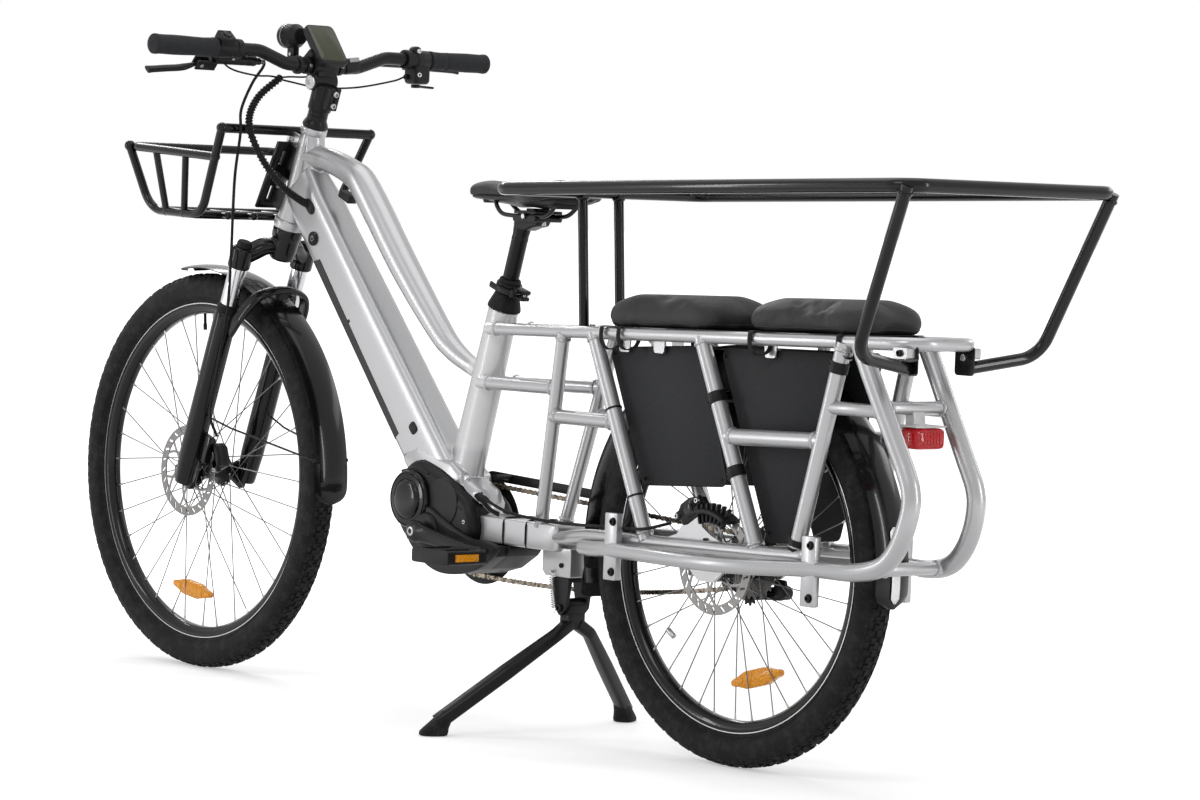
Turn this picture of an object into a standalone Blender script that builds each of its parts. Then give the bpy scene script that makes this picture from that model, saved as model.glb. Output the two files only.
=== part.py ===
"""Longtail electric bicycle: passenger rack with two pads, guard hoop, front basket, mid motor and geared hub.

Metres, +Z up. The bicycle faces -X, its rider's left is -Y. The origin is on the ground, midway along its length.
"""
import bpy
import bmesh
from math import atan2, cos, pi, radians, sin, sqrt, tan
from mathutils import Matrix, Vector

# Driving dimensions
WHEELBASE = 1.385
FRONT_RADIUS = 0.349
REAR_RADIUS = 0.314
FRONT_AXLE = Vector((-0.791, 0, FRONT_RADIUS))
REAR_AXLE = Vector((FRONT_AXLE.x + WHEELBASE, 0, REAR_RADIUS))
TYRE_RADIUS = 0.029
RIM_DEPTH = 0.071
RIM_HALF_WIDTH = 0.0135
ROTOR_RADIUS = 0.080
SPOKES = 36
GAP = 0.0003
STEER_ANGLE = radians(20)
HEAD_TOP = Vector((-0.512, 0, 0.962))
HEAD_LENGTH = 0.187
STEERER_RADIUS = 0.0143
FORK_LEG_Y = 0.067
FORK_LEG_AHEAD = 0.024
SEAT_ANGLE = radians(16.5)
SEAT_TOP = Vector((0.010, 0, 0.673))
SEATPOST_RADIUS = 0.0136
TUBE_DOWN = Vector((0.6665, 0, -0.7455))
TUBE_OUT = Vector((0.7455, 0, 0.6665))
DOWN_TUBE_HALF_WIDTH = 0.034
CRANK_AXIS = Vector((-0.090, 0, 0.304))
CRANK_LENGTH = 0.170
CRANK_DROOP = radians(8)
RING_TEETH = 38
SPROCKET_TEETH = 17
CHAIN_PITCH = 0.0127
CHAIN_Y = 0.0504
RAIL_RADIUS = 0.010
RAIL_HALF_WIDTH = 0.069
DECK_HEIGHT = 0.641
DECK_RISE = 0.0265
HOOP_RADIUS = 0.0105
HOOP_HALF_WIDTH = 0.216
HOOP_FRONT_X = 0.236
HOOP_REAR_X = 1.1303
HOOP_FRONT_Z = 0.869
HOOP_REAR_Z = 0.896
PAD_LENGTH = 0.268
PAD_WIDTH = 0.160
PAD_HEIGHT = 0.048
BAR_RADIUS = 0.0111
BAR_HALF_WIDTH = 0.355
KICK_PIVOT = Vector((0.207, 0, 0.205))
RING_RADIUS = CHAIN_PITCH * RING_TEETH / (2 * pi)
BAR_BORE = (BAR_RADIUS + 0.0004) / cos(pi / 10)
SPROCKET_RADIUS = CHAIN_PITCH * SPROCKET_TEETH / (2 * pi)

UP = Vector((0, 0, 1))
ACROSS = Vector((0, 1, 0))
STEER_UP = Vector((sin(STEER_ANGLE), 0, cos(STEER_ANGLE)))
STEER_AHEAD = Vector((-cos(STEER_ANGLE), 0, sin(STEER_ANGLE)))
SEAT_UP = Vector((sin(SEAT_ANGLE), 0, cos(SEAT_ANGLE)))
SEAT_BACK = Vector((cos(SEAT_ANGLE), 0, -sin(SEAT_ANGLE)))

FINISHES = {
    "silver_paint": ((0.62, 0.63, 0.65), 0.28, 0.85),
    "black_gloss": ((0.012, 0.012, 0.014), 0.22, 0.0),
    "black_satin": ((0.022, 0.022, 0.024), 0.48, 0.0),
    "rubber": ((0.025, 0.025, 0.026), 0.78, 0.0),
    "grip_rubber": ((0.045, 0.046, 0.050), 0.80, 0.0),
    "pad_cover": ((0.030, 0.031, 0.034), 0.62, 0.0),
    "panel": ((0.038, 0.039, 0.042), 0.60, 0.0),
    "steel": ((0.55, 0.55, 0.56), 0.30, 1.0),
    "chrome": ((0.80, 0.80, 0.82), 0.08, 1.0),
    "chain_steel": ((0.16, 0.13, 0.10), 0.42, 0.9),
    "grey_cover": ((0.20, 0.21, 0.22), 0.45, 0.3),
    "red_lens": ((0.62, 0.01, 0.02), 0.15, 0.0),
}


for stale in list(bpy.data.objects):
    bpy.data.objects.remove(stale, do_unlink=True)


# Mesh tools
def finish_material(name):
    """The Principled material of one finish, made once."""
    if name in bpy.data.materials:
        return bpy.data.materials[name]
    colour, roughness, metallic = FINISHES[name]
    made = bpy.data.materials.new(name)
    made.use_nodes = True
    shader = made.node_tree.nodes["Principled BSDF"]
    shader.inputs["Base Color"].default_value = (*colour, 1)
    shader.inputs["Roughness"].default_value = roughness
    shader.inputs["Metallic"].default_value = metallic
    return made


def as_object(name, mesh_build, finish="black_satin", sharp=35):
    """An object made from a bmesh, with its faces pointing out."""
    bmesh.ops.remove_doubles(mesh_build, verts=mesh_build.verts, dist=0.00002)
    bmesh.ops.recalc_face_normals(mesh_build, faces=mesh_build.faces)
    mesh = bpy.data.meshes.new(name)
    mesh_build.to_mesh(mesh)
    mesh_build.free()
    mesh.shade_smooth()
    mesh.set_sharp_from_angle(angle=radians(sharp))
    made = bpy.data.objects.new(name, mesh)
    bpy.context.scene.collection.objects.link(made)
    made.data.materials.append(finish_material(finish))
    return made


def skin(rings, closed=False):
    """A bmesh body through rings of equal length, capped at both ends unless closed."""
    build = bmesh.new()
    rows = [[build.verts.new(point) for point in ring] for ring in rings]
    count = len(rows[0])
    pairs = list(zip(rows, rows[1:]))
    if closed:
        pairs.append((rows[-1], rows[0]))
    for first, second in pairs:
        for i in range(count):
            j = (i + 1) % count
            build.faces.new((first[i], first[j], second[j], second[i]))
    if not closed:
        build.faces.new(rows[0])
        build.faces.new(rows[-1])
    return build


def oval(half_a, half_b, sides, power=2.0):
    """Points of an oval or, with a higher power, of a rounded rectangle."""
    points = []
    for i in range(sides):
        angle = 2 * pi * (i + 0.5) / sides
        c, s = cos(angle), sin(angle)
        reach = (abs(c) ** power + abs(s) ** power) ** (-1 / power)
        points.append((half_a * c * reach, half_b * s * reach))
    return points


def frames(points, reference, closed=False):
    """Tangent-following axes at each point: side lies along the reference as far as it can."""
    result = []
    last = len(points) - 1
    if abs((points[1] - points[0]).normalized().dot(reference)) > 0.95:
        reference = UP if abs(reference.z) < 0.5 else Vector((1, 0, 0))
    for i, point in enumerate(points):
        before = points[i - 1] if i or closed else points[0]
        after = points[(i + 1) % len(points)] if i < last or closed else points[last]
        along = (after - before).normalized()
        side = (reference - along * reference.dot(along)).normalized()
        result.append((point, side, along.cross(side)))
    return result


def sweep(points, section, reference=ACROSS, closed=False):
    """A body along points; section gives its outline at a share from 0 to 1 of the way."""
    points = [Vector(p) for p in points]
    rings = []
    for i, (centre, side, over) in enumerate(frames(points, reference, closed)):
        outline = section(i / (len(points) - 1)) if callable(section) else section
        rings.append([centre + side * a + over * b for a, b in outline])
    return skin(rings, closed)


def tube(points, radius, sides=10, reference=ACROSS, closed=False):
    """A round bar along points, with a radius or a pair of end radii."""
    if isinstance(radius, (int, float)):
        return sweep(points, oval(radius, radius, sides), reference, closed)
    start, end = radius
    return sweep(points, lambda share: oval(*[start + (end - start) * share] * 2, sides), reference, closed)


def rounded(points, radius, steps=4):
    """The corners of a path turned into arcs."""
    points = [Vector(p) for p in points]
    path = [points[0]]
    for before, corner, after in zip(points, points[1:], points[2:]):
        inward = (before - corner).normalized()
        outward = (after - corner).normalized()
        half = inward.angle(outward) / 2
        reach = min(radius / tan(half), (before - corner).length * 0.48, (after - corner).length * 0.48)
        turn = reach * tan(half)
        centre = corner + (inward + outward).normalized() * (turn / sin(half))
        start = corner + inward * reach - centre
        end = corner + outward * reach - centre
        count = max(1, round(steps * (pi - 2 * half) / (pi / 2)))
        for k in range(count + 1):
            path.append(centre + start.slerp(end, k / count) * turn)
    path.append(points[-1])
    return path


def smooth(points, steps=4):
    """A smooth curve through points, with a number of steps between each pair."""
    points = [Vector(p) for p in points]
    padded = [points[0] * 2 - points[1], *points, points[-1] * 2 - points[-2]]
    path = []
    for a, b, c, d in zip(padded, padded[1:], padded[2:], padded[3:]):
        for k in range(steps):
            t = k / steps
            path.append(0.5 * (2 * b + (c - a) * t + (2 * a - 5 * b + 4 * c - d) * t * t
                               + (3 * b - a - 3 * c + d) * t ** 3))
    path.append(points[-1])
    return path


def across_axis(axis):
    """Two directions square to an axis."""
    axis = axis.normalized()
    start = UP if abs(axis.z) < 0.9 else Vector((1, 0, 0))
    first = (start - axis * axis.dot(start)).normalized()
    return first, axis.cross(first)


def revolve(profile, origin, axis, steps=24, closed=False):
    """A turned body. The profile holds pairs of radius and place along the axis."""
    first, second = across_axis(axis)
    axis = axis.normalized()
    build = bmesh.new()
    columns = []
    for k in range(steps):
        angle = 2 * pi * k / steps
        ray = first * cos(angle) + second * sin(angle)
        columns.append([build.verts.new(origin + ray * r + axis * s) for r, s in profile])
    count = len(profile)
    spans = count if closed else count - 1
    for k in range(steps):
        here, there = columns[k], columns[(k + 1) % steps]
        for i in range(spans):
            j = (i + 1) % count
            build.faces.new((here[i], here[j], there[j], there[i]))
    if not closed:
        build.faces.new([column[0] for column in columns])
        build.faces.new([column[-1] for column in columns])
    return build


def prism(outline, low, high, direction=ACROSS, place=None):
    """An outline of x, z pairs carried across from low to high."""
    place = place or (lambda x, z: Vector((x, 0, z)))
    rings = [[place(x, z) + direction * reach for x, z in outline] for reach in (low, high)]
    return skin(rings)


def block(centre, size, turn=None):
    """A plain block with a centre, three sizes and a rotation."""
    build = bmesh.new()
    bmesh.ops.create_cube(build, size=1)
    matrix = Matrix.Translation(centre) @ (turn or Matrix()).to_4x4() @ Matrix.Diagonal((*size, 1))
    bmesh.ops.transform(build, matrix=matrix, verts=build.verts)
    return build


def circle(centre_x, centre_z, radius, steps=16, start=0.0, end=2 * pi):
    """Points of an arc, or of a whole circle without its repeated last point."""
    whole = abs(end - start - 2 * pi) < 0.001
    count = steps if whole else steps + 1
    angles = [start + (end - start) * k / steps for k in range(count)]
    return [(centre_x + radius * cos(a), centre_z + radius * sin(a)) for a in angles]


def settle(made):
    """Turns an object's modifiers into mesh."""
    graph = bpy.context.evaluated_depsgraph_get()
    mesh = bpy.data.meshes.new_from_object(made.evaluated_get(graph))
    made.modifiers.clear()
    made.data = mesh


def combine(made, tools, operation):
    """Joins tools to an object, or takes them away from it, with exact Booleans."""
    for tool in tools:
        change = made.modifiers.new(operation.title(), "BOOLEAN")
        change.operation = operation
        change.solver = "EXACT"
        change.object = tool
    settle(made)
    for tool in tools:
        bpy.data.objects.remove(tool, do_unlink=True)


def tidy(made, finish, sharp=35):
    """Drops slivers that a Boolean leaves, and gives the object its one finish."""
    build = bmesh.new()
    build.from_mesh(made.data)
    bmesh.ops.remove_doubles(build, verts=build.verts, dist=0.00003)
    bmesh.ops.dissolve_degenerate(build, edges=build.edges, dist=0.00002)
    build.to_mesh(made.data)
    build.free()
    made.data.materials.clear()
    made.data.materials.append(finish_material(finish))
    made.data.shade_smooth()
    made.data.set_sharp_from_angle(angle=radians(sharp))


def welded(name, pieces, finish, cuts=()):
    """One body from several overlapping ones, less the cuts."""
    objects = [as_object(f"{name}_piece_{i}", piece) for i, piece in enumerate(pieces)]
    made = objects[0]
    made.name = name
    if len(objects) > 1:
        combine(made, objects[1:], "UNION")
    tools = [as_object(f"{name}_cut_{i}", piece) for i, piece in enumerate(cuts)]
    if tools:
        combine(made, tools, "DIFFERENCE")
    tidy(made, finish)
    return made


def hang(made, pivot):
    """Moves an object's origin to its joint axis without moving its shape."""
    made.data.transform(Matrix.Translation(-pivot))
    made.location = pivot
    return made


def steer_point(up, ahead=0.0, y=0.0):
    """A point placed along the steering axis, ahead of it and across."""
    return HEAD_TOP + STEER_UP * up + STEER_AHEAD * ahead + ACROSS * y


def tube_point(down, out, y=0.0):
    """A point placed along the down tube's direction and out from its underside."""
    return TUBE_DOWN * down + TUBE_OUT * out + ACROSS * y


def deck(x):
    """Height of the rack's rails: the deck rises a little to the rear."""
    return DECK_HEIGHT + DECK_RISE * x


def hoop_height(x):
    """Height of the guard hoop, which rises to the rear like the deck."""
    share = (x - HOOP_FRONT_X) / (HOOP_REAR_X - HOOP_FRONT_X)
    return HOOP_FRONT_Z + (HOOP_REAR_Z - HOOP_FRONT_Z) * share


# Frame tubes, each also available a little larger as a cutter for its neighbours
def seat_tube(grow=0.0):
    low = Vector((-0.069, 0, 0.405)) - SEAT_UP * 0.020
    points = [SEAT_TOP, SEAT_TOP.lerp(low, 0.5), low]
    section = lambda share: oval(0.0225 + grow, 0.028 + 0.008 * share + grow, 12)
    return sweep(points, section)


def down_tube(grow=0.0):
    stations = ((-1.0, 0.139, 0.024), (-0.94, 0.138, 0.033), (-0.70, 0.130, 0.034), (-0.40, 0.120, 0.034))
    rings = []
    for down, low, half in stations:
        middle, tall = (0.222 + low) / 2, (0.222 - low) / 2
        outline = oval(half + grow, tall + grow, 16, 4.5)
        rings.append([tube_point(down, middle + b, a) for a, b in outline])
    return skin(rings)


def swan_tube(grow=0.0):
    points = ((-0.535, 0, 0.910), (-0.470, 0, 0.905), (-0.400, 0, 0.884), (-0.360, 0, 0.855), (-0.255, 0, 0.735),
              (-0.157, 0, 0.634), (-0.115, 0, 0.600), (-0.067, 0, 0.576), (-0.028, 0, 0.562))
    sizes = (0.0195, 0.0205, 0.0230, 0.0255, 0.0255, 0.0215, 0.0185, 0.0150, 0.0145)
    path = [Vector(p) for p in points]
    rings = []
    for (centre, side, over), size in zip(frames(path, ACROSS), sizes):
        rings.append([centre + side * a + over * b for a, b in oval(size + grow, size + grow, 12)])
    return skin(rings)


def monostay(grow=0.0):
    size = (0.205 + 2 * grow, 0.070 + 2 * grow, 0.043 + 2 * grow)
    return block(Vector((0.1025, 0, 0.3155)), size)


def rack_rails(grow=0.0):
    half = ((0.013, 0.032), (0.120, 0.0445), (0.230, 0.056), (0.310, 0.0645), (0.560, 0.068), (1.010, 0.069))
    left = [Vector((x, -y, deck(x))) for x, y in half]
    right = [Vector((p.x, -p.y, p.z)) for p in reversed(left)]
    bend = rounded([left[-2], left[-1], right[0], right[1]], 0.042, 3)
    return tube(left[:-1] + bend[1:-1] + right[1:], RAIL_RADIUS + grow, 8, UP)


STRUTS = (
    ((0.2265, 0.056, 0.6455), (0.153, 0.0253, 0.330), 0.0110),
    ((0.309, 0.0645, 0.649), (0.456, 0.070, 0.336), 0.0125),
    ((0.560, 0.068, 0.6555), (0.707, 0.073, 0.340), 0.0125),
    ((0.8715, 0.0705, 0.6635), (0.7925, 0.0765, 0.345), 0.0125),
)
STAYS = (
    ((0.195, 0.044, 0.511), (0.371, 0.0665, 0.513), 0.0115),
    ((0.628, 0.0700, 0.509), (0.834, 0.0735, 0.516), 0.0125),
    ((-0.012, 0.026, 0.553), (0.205, 0.047, 0.556), 0.0110),
)
CHAINSTAY = ((0.180, 0.020, 0.316), (0.225, 0.034, 0.319), (0.266, 0.050, 0.325), (0.336, 0.061, 0.332),
             (0.486, 0.071, 0.335), (0.708, 0.077, 0.340), (0.812, 0.081, 0.344))
SIDE_RAIL = ((0.300, 0.064, 0.312), (0.340, 0.076, 0.313), (0.400, 0.089, 0.317), (0.600, 0.128, 0.321),
             (0.720, 0.128, 0.323), (0.845, 0.096, 0.329), (0.915, 0.081, 0.330), (0.962, 0.0745, 0.340),
             (0.990, 0.0717, 0.362), (1.008, 0.0706, 0.395), (1.017, 0.0676, 0.440), (0.993, 0.0660, 0.500),
             (0.902, 0.0690, 0.663))


def mirrored(point, side):
    """A point of the left half, or its mirror on the right half for side 1."""
    return Vector((point[0], point[1] * side, point[2]))


def stay_tube(side, grow=0.0):
    return tube([mirrored(p, side) for p in CHAINSTAY], 0.011 + grow, 8, UP)


def lattice_bars(side, grow=0.0):
    bars = [tube([mirrored(a, side), mirrored(b, side)], r + grow, 8) for a, b, r in STRUTS + STAYS]
    return bars + [stay_tube(side, grow)]


def side_rail(side, grow=0.0):
    path = [mirrored(p, side) for p in SIDE_RAIL]
    begin, finish = 5, 7
    rings = []
    for i, (centre, across, over) in enumerate(frames(path, ACROSS)):
        share = min(1, max(0, (i - begin) / (finish - begin)))
        size = 0.0120 + 0.0025 * share + grow
        rings.append([centre + across * a + over * b for a, b in oval(size, size, 8)])
    return skin(rings)


def motor_outline(grow=0.0):
    """Side outline of the motor, pushed outwards by grow."""
    points = ((-0.191, 0.354), (-0.180, 0.386), (-0.160, 0.408), (-0.136, 0.416), (-0.091, 0.403), (-0.043, 0.381),
              (0.002, 0.353), (0.015, 0.320), (0.010, 0.292), (-0.010, 0.262), (-0.060, 0.246), (-0.110, 0.258),
              (-0.160, 0.285), (-0.186, 0.318))
    middle = Vector((-0.085, 0, 0.33))
    grown = []
    for x, z in points:
        away = (Vector((x, 0, z)) - middle).normalized() * grow
        grown.append((x + away.x, z + away.z))
    return grown


# Frame
def build_frame():
    """The painted frame: main tubes, rack rails, side lattices, side rails and cross bars."""
    head = revolve([(0.0225, 0), (0.0225, -0.012), (0.0205, -0.030), (0.0205, -0.140), (0.027, -0.178),
                    (0.027, -HEAD_LENGTH)], HEAD_TOP, STEER_UP, 14)
    shell_outline = [(-0.205, 0.420), (-0.150, 0.470), (-0.110, 0.500), (-0.048, 0.500), (-0.020, 0.440),
                     (0.008, 0.392), (0.045, 0.345), (0.045, 0.294), (-0.080, 0.294)]
    shell = prism(shell_outline, -0.0345, 0.0345)
    bracket = prism([(0.158, 0.3000), (0.234, 0.3000), (0.234, 0.262), (0.222, 0.240), (0.218, 0.203), (0.207, 0.192),
                     (0.196, 0.203), (0.190, 0.240), (0.158, 0.262)], -0.026, 0.026)
    stand_room = block(Vector((0.200, 0, 0.200)), (0.060, 0.0366, 0.060))
    pin_room = tube([KICK_PIVOT - ACROSS * 0.04, KICK_PIVOT + ACROSS * 0.04], 0.0061, 10)
    guard = prism([(-0.098, 0.3850), (-0.096, 0.3965), (-0.080, 0.4000), (0.170, 0.3875), (0.184, 0.380),
                   (0.170, 0.3775), (0.060, 0.3835), (-0.080, 0.3905)], 0.0630, 0.0665)
    guard_arm = tube([(-0.030, 0.0300, 0.3940), (-0.030, 0.064, 0.3940)], 0.0045, 6)
    gusset = prism([(-0.095, 0.540), (-0.030, 0.560), (-0.012, 0.600), (-0.110, 0.590)], -0.006, 0.006)
    bore = revolve([(0.0153, 0.02), (0.0153, -0.21)], HEAD_TOP, STEER_UP, 14)
    post_bore = revolve([(0.0142, 0.02), (0.0142, -0.262)], SEAT_TOP, SEAT_UP, 14)
    motor_room = prism(motor_outline(0.0006), -0.08, 0.08)
    cover_room = block(tube_point(-0.669, 0.10), (0.385, 0.09, 0.0825), turn_down())
    port = block(Vector((-0.4750, -0.034, 0.8250)), (0.026, 0.012, 0.018), turn_down())
    button_room = revolve([(0.0120, -0.042), (0.0120, -0.0305)], Vector((-0.461, 0, 0.7705)), ACROSS, 14)
    hole = revolve([(0.0085, -0.012), (0.0085, 0.02)], Vector((0.008, -0.0345, 0.372)), ACROSS, 12)
    tubes = [head, down_tube(), swan_tube(), seat_tube(), shell, monostay(), gusset, bracket, guard, guard_arm]
    welded("main_frame", tubes, "silver_paint",
           [bore, post_bore, motor_room, cover_room, port, button_room, hole, stand_room, pin_room])
    tabs = [block(Vector((0.991, 0.0680 * side, 0.6545)), (0.030, 0.018, 0.016)) for side in (-1, 1)]
    welded("rack_rails", [rack_rails(), *tabs], "silver_paint", [seat_tube(GAP)])
    for side, word in ((-1, "left"), (1, "right")):
        y = 0.0704 * side
        dropout = prism([(0.552, 0.342), (0.560, 0.300), (0.578, 0.286), (0.610, 0.286), (0.630, 0.300),
                         (0.645, 0.342)], y - 0.0030, y + 0.0030)
        axle_room = revolve([(0.0060, -0.02), (0.0060, 0.02)], Vector((REAR_AXLE.x, y, REAR_AXLE.z)), ACROSS, 16)
        extra = [dropout]
        if side < 0:
            extra.append(block(Vector((0.552, -0.0655, 0.356)), (0.050, 0.008, 0.030)))
        welded(f"side_lattice_{word}", lattice_bars(side) + extra, "silver_paint",
               [rack_rails(GAP), monostay(GAP), seat_tube(GAP), axle_room])
    loops = []
    cuts = [rack_rails(GAP)]
    for side in (-1, 1):
        loops.append(side_rail(side))
        for x, y, z in ((0.400, 0.0895, 0.3225), (0.845, 0.0965, 0.3255)):
            loops.append(block(mirrored((x, y, z), side), (0.028, 0.012, 0.104)))
        loops.append(tube([mirrored((0.842, 0.0735, 0.567), side), mirrored((0.956, 0.0685, 0.567), side)], 0.010, 8))
        cuts.append(stay_tube(side, GAP))
        cuts.append(tube([mirrored(p, side) for p in STRUTS[3][:2]], 0.0125 + GAP, 8))
    for x, z in ((0.951, 0.572), (0.955, 0.3365)):
        loops.append(tube([(x, -0.067, z), (x, 0.067, z)], 0.010, 8, UP))
    bracket = prism([(0.9480, 0.560), (0.9615, 0.560), (0.9615, 0.508), (0.974, 0.508), (0.974, 0.585), (0.948, 0.585)],
                    -0.012, 0.012)
    welded("rear_loops", [*loops, bracket], "silver_paint", cuts)


def turn_down():
    """Rotation whose x runs down the down tube and z out of it."""
    return Matrix((TUBE_DOWN, ACROSS, TUBE_OUT)).transposed()


def build_frame_covers():
    """Battery cover and power button."""
    cover = as_object("battery_cover", down_tube(-0.0004), "grey_cover")
    keep = as_object("keep", block(tube_point(-0.669, 0.10), (0.3844, 0.09, 0.0819), turn_down()))
    combine(cover, [keep], "INTERSECT")
    tidy(cover, "grey_cover")
    place = Vector((-0.461, -0.0340, 0.7705))
    button = revolve([(0.0113, 0.0018), (0.0113, -0.0022), (0.0095, -0.0032)], place, ACROSS, 14)
    hang(as_object("power_button", button, "black_satin"), place)


# Rack: hoop, pads, panels and rear lamp
def build_rack():
    """Guard hoop with its clamp, seat pads on boards, wheel panels and the rear lamp."""
    front, rear, half = HOOP_FRONT_X, HOOP_REAR_X, HOOP_HALF_WIDTH
    corners = [(0.60, -half), (front, -half), (front, half), (rear, half), (rear, -half), (0.60, -half)]
    path = rounded([Vector((x, y, hoop_height(x))) for x, y in corners], 0.034, 3)[:-1]
    pieces = [tube(path, HOOP_RADIUS, 8, UP, True)]
    for side in (-1, 1):
        y = 0.038 * side
        pieces.append(tube([(0.2535, y, 0.6560), (0.238, y, hoop_height(front))], 0.008, 8))
        legs = [(rear - 0.004, (half - 0.002) * side, hoop_height(rear)), (1.016, 0.190 * side, 0.652),
                (0.992, 0.060 * side, 0.632)]
        pieces.append(tube(rounded(legs, 0.045, 2), 0.0095, 8, UP))
    pieces.append(block(Vector((0.2545, 0, 0.6510)), (0.050, 0.090, 0.012)))
    cuts = [rack_rails(GAP)]
    cuts += [tube([mirrored(p, side) for p in STRUTS[0][:2]], 0.0110 + GAP, 8) for side in (-1, 1)]
    cuts += [block(Vector((0.991, 0.0680 * side, 0.6545)), (0.0306, 0.0186, 0.0166)) for side in (-1, 1)]
    welded("guard_hoop", pieces, "black_gloss", cuts)
    for word, x in (("front", 0.460), ("rear", 0.780)):
        build_pad(word, x)
    outlines = {"front": [(0.329, 0.628), (0.543, 0.642), (0.611, 0.430), (0.419, 0.418)],
                "rear": [(0.583, 0.641), (0.836, 0.646), (0.757, 0.358), (0.704, 0.353)]}
    for word, outline in outlines.items():
        flat = [(p.x, p.z) for p in corner_arcs(outline, 0.012)]
        for side, hand in ((-1, "left"), (1, "right")):
            y = 0.0485 * side
            as_object(f"wheel_panel_{word}_{hand}", prism(flat, y - 0.001, y + 0.001), "panel")
    lamp = sweep([(0.9744, 0, 0.529), (0.990, 0, 0.529), (0.996, 0, 0.529)],
                 lambda share: oval(0.030 - 0.006 * max(0, share - 0.5), 0.0155 - 0.006 * max(0, share - 0.5), 16, 3))
    as_object("tail_light", lamp, "red_lens")


def corner_arcs(outline, radius, steps=3):
    """A closed outline of x, z pairs with rounded corners."""
    points = [Vector((x, 0, z)) for x, z in outline]
    middle = (points[0] + points[-1]) / 2
    return rounded([middle, *points, middle], radius, steps)[:-1]


def build_pad(word, x):
    """A seat pad with a crowned top, drawn-in sides and a seam line, resting on the rails."""
    levels = ((0.0002, 0.945), (0.0100, 0.990), (0.0340, 0.995), (0.0405, 0.968), (0.0450, 0.950), (0.0495, 0.80),
              (0.0525, 0.35))
    half_x, half_y = PAD_LENGTH / 2, PAD_WIDTH / 2
    tilt = Matrix.Rotation(-atan2(DECK_RISE, 1), 3, "Y")
    base = Vector((x, 0, deck(x) + RAIL_RADIUS + GAP))
    rings = []
    for height, share in levels:
        ring = []
        for a, b in oval(half_x, half_y, 24, 6.0):
            pinch = 1 - 0.012 * cos(4 * atan2(b / half_y, a / half_x)) * (1 if height < 0.04 else 0)
            inset = (1 - share) * half_y
            reach = Vector((a, b, 0))
            reach.x *= (half_x - inset) / half_x * pinch
            reach.y *= (half_y - inset) / half_y * pinch
            ring.append(base + tilt @ (reach + UP * height))
        rings.append(ring)
    as_object(f"seat_pad_{word}", skin(rings), "pad_cover", 50)


def arch(centre, radius, start, end, half_width, thickness, steps=28, bow=0.006):
    """A mudguard: a curved strip with a bowed section around the wheel, from one angle to another."""
    rings = []
    across = (-1.0, -0.60, 0.60, 1.0)
    for k in range(steps + 1):
        angle = radians(start + (end - start) * k / steps)
        ray = Vector((cos(angle), 0, sin(angle)))
        drop = [bow * abs(v) ** 2.4 for v in across]
        outer = [centre + ray * (radius - d) + ACROSS * v * half_width for v, d in zip(across, drop)]
        inner = [centre + ray * (radius - d - thickness) + ACROSS * v * (half_width - thickness * abs(v))
                 for v, d in zip(across, drop)]
        rings.append(outer + inner[::-1])
    return skin(rings)


def build_fenders():
    """Rear mudguard with its stay and flap, and the front one with wire stays and flap."""
    stay_outline = [(0.897, 0.420), (0.905, 0.420), (0.9285, 0.309), (0.9240, 0.290), (0.9200, 0.290), (0.9200, 0.312)]
    stay = prism(stay_outline, -0.008, 0.008)
    flap = arch(REAR_AXLE, 0.3305, 189, 204, 0.033, 0.0026, 3, 0.004)
    welded("rear_fender", [arch(REAR_AXLE, 0.3315, -7, 192, 0.034, 0.0018, 16), flap, stay], "black_gloss",
           [tube([(0.955, -0.067, 0.3365), (0.955, 0.067, 0.3365)], 0.010 + GAP, 10, UP)])
    pieces = [arch(FRONT_AXLE, 0.3655, 2, 101, 0.035, 0.0018, 9),
              arch(FRONT_AXLE, 0.3645, -5, 6, 0.034, 0.0026, 2, 0.004)]
    for side in (-1, 1):
        boss = steer_point(-0.545, -0.0005, 0.067 * side)
        pieces.append(tube([boss, (-0.646, 0.058 * side, 0.434), (-0.4360, 0.0338 * side, 0.3925)], 0.0018, 4, UP))
    welded("front_fender", pieces, "black_gloss", [fork_leg(-1, GAP), fork_leg(1, GAP)])


# Wheels
def tyre(name, centre, radius):
    half = ((0.0523, 0.0128), (0.0330, 0.0282), (0.0065, 0.0205))
    profile = [(radius - d, -s) for d, s in half] + [(radius, 0)] + [(radius - d, s) for d, s in reversed(half)]
    hang(as_object(name, revolve(profile, centre, ACROSS, 32, True), "rubber", 50), centre)


def rim(centre, radius):
    inner, outer = radius - RIM_DEPTH, radius - 0.0526
    width = RIM_HALF_WIDTH
    profile = [(outer, -width), (inner, -0.0080), (inner, 0.0080), (outer, width)]
    return revolve(profile, centre, ACROSS, 32, True)


def spokes(centre, radius, flanges, flange_radius):
    """All the spokes of a wheel, laced three cross, leading and trailing ones side by side."""
    build = bmesh.new()
    for k in range(SPOKES):
        side = k % 2
        pull = 1 if (k // 2) % 2 else -1
        at_rim = 2 * pi * k / SPOKES
        at_hub = at_rim - pull * radians(58)
        y = flanges[side] + 0.0022 * pull
        start = centre + Vector((cos(at_hub), 0, sin(at_hub))) * (flange_radius - 0.004) + ACROSS * y
        end = centre + Vector((cos(at_rim), 0, sin(at_rim))) * (radius - RIM_DEPTH + 0.004)
        along = (end - start).normalized()
        first, second = across_axis(along)
        rows = [[build.verts.new(p + first * a + second * b) for a, b in oval(0.0011, 0.0011, 3)] for p in (start, end)]
        for i in range(3):
            j = (i + 1) % 3
            build.faces.new((rows[0][i], rows[0][j], rows[1][j], rows[1][i]))
        build.faces.new(rows[0])
        build.faces.new(rows[1])
    return build


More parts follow.
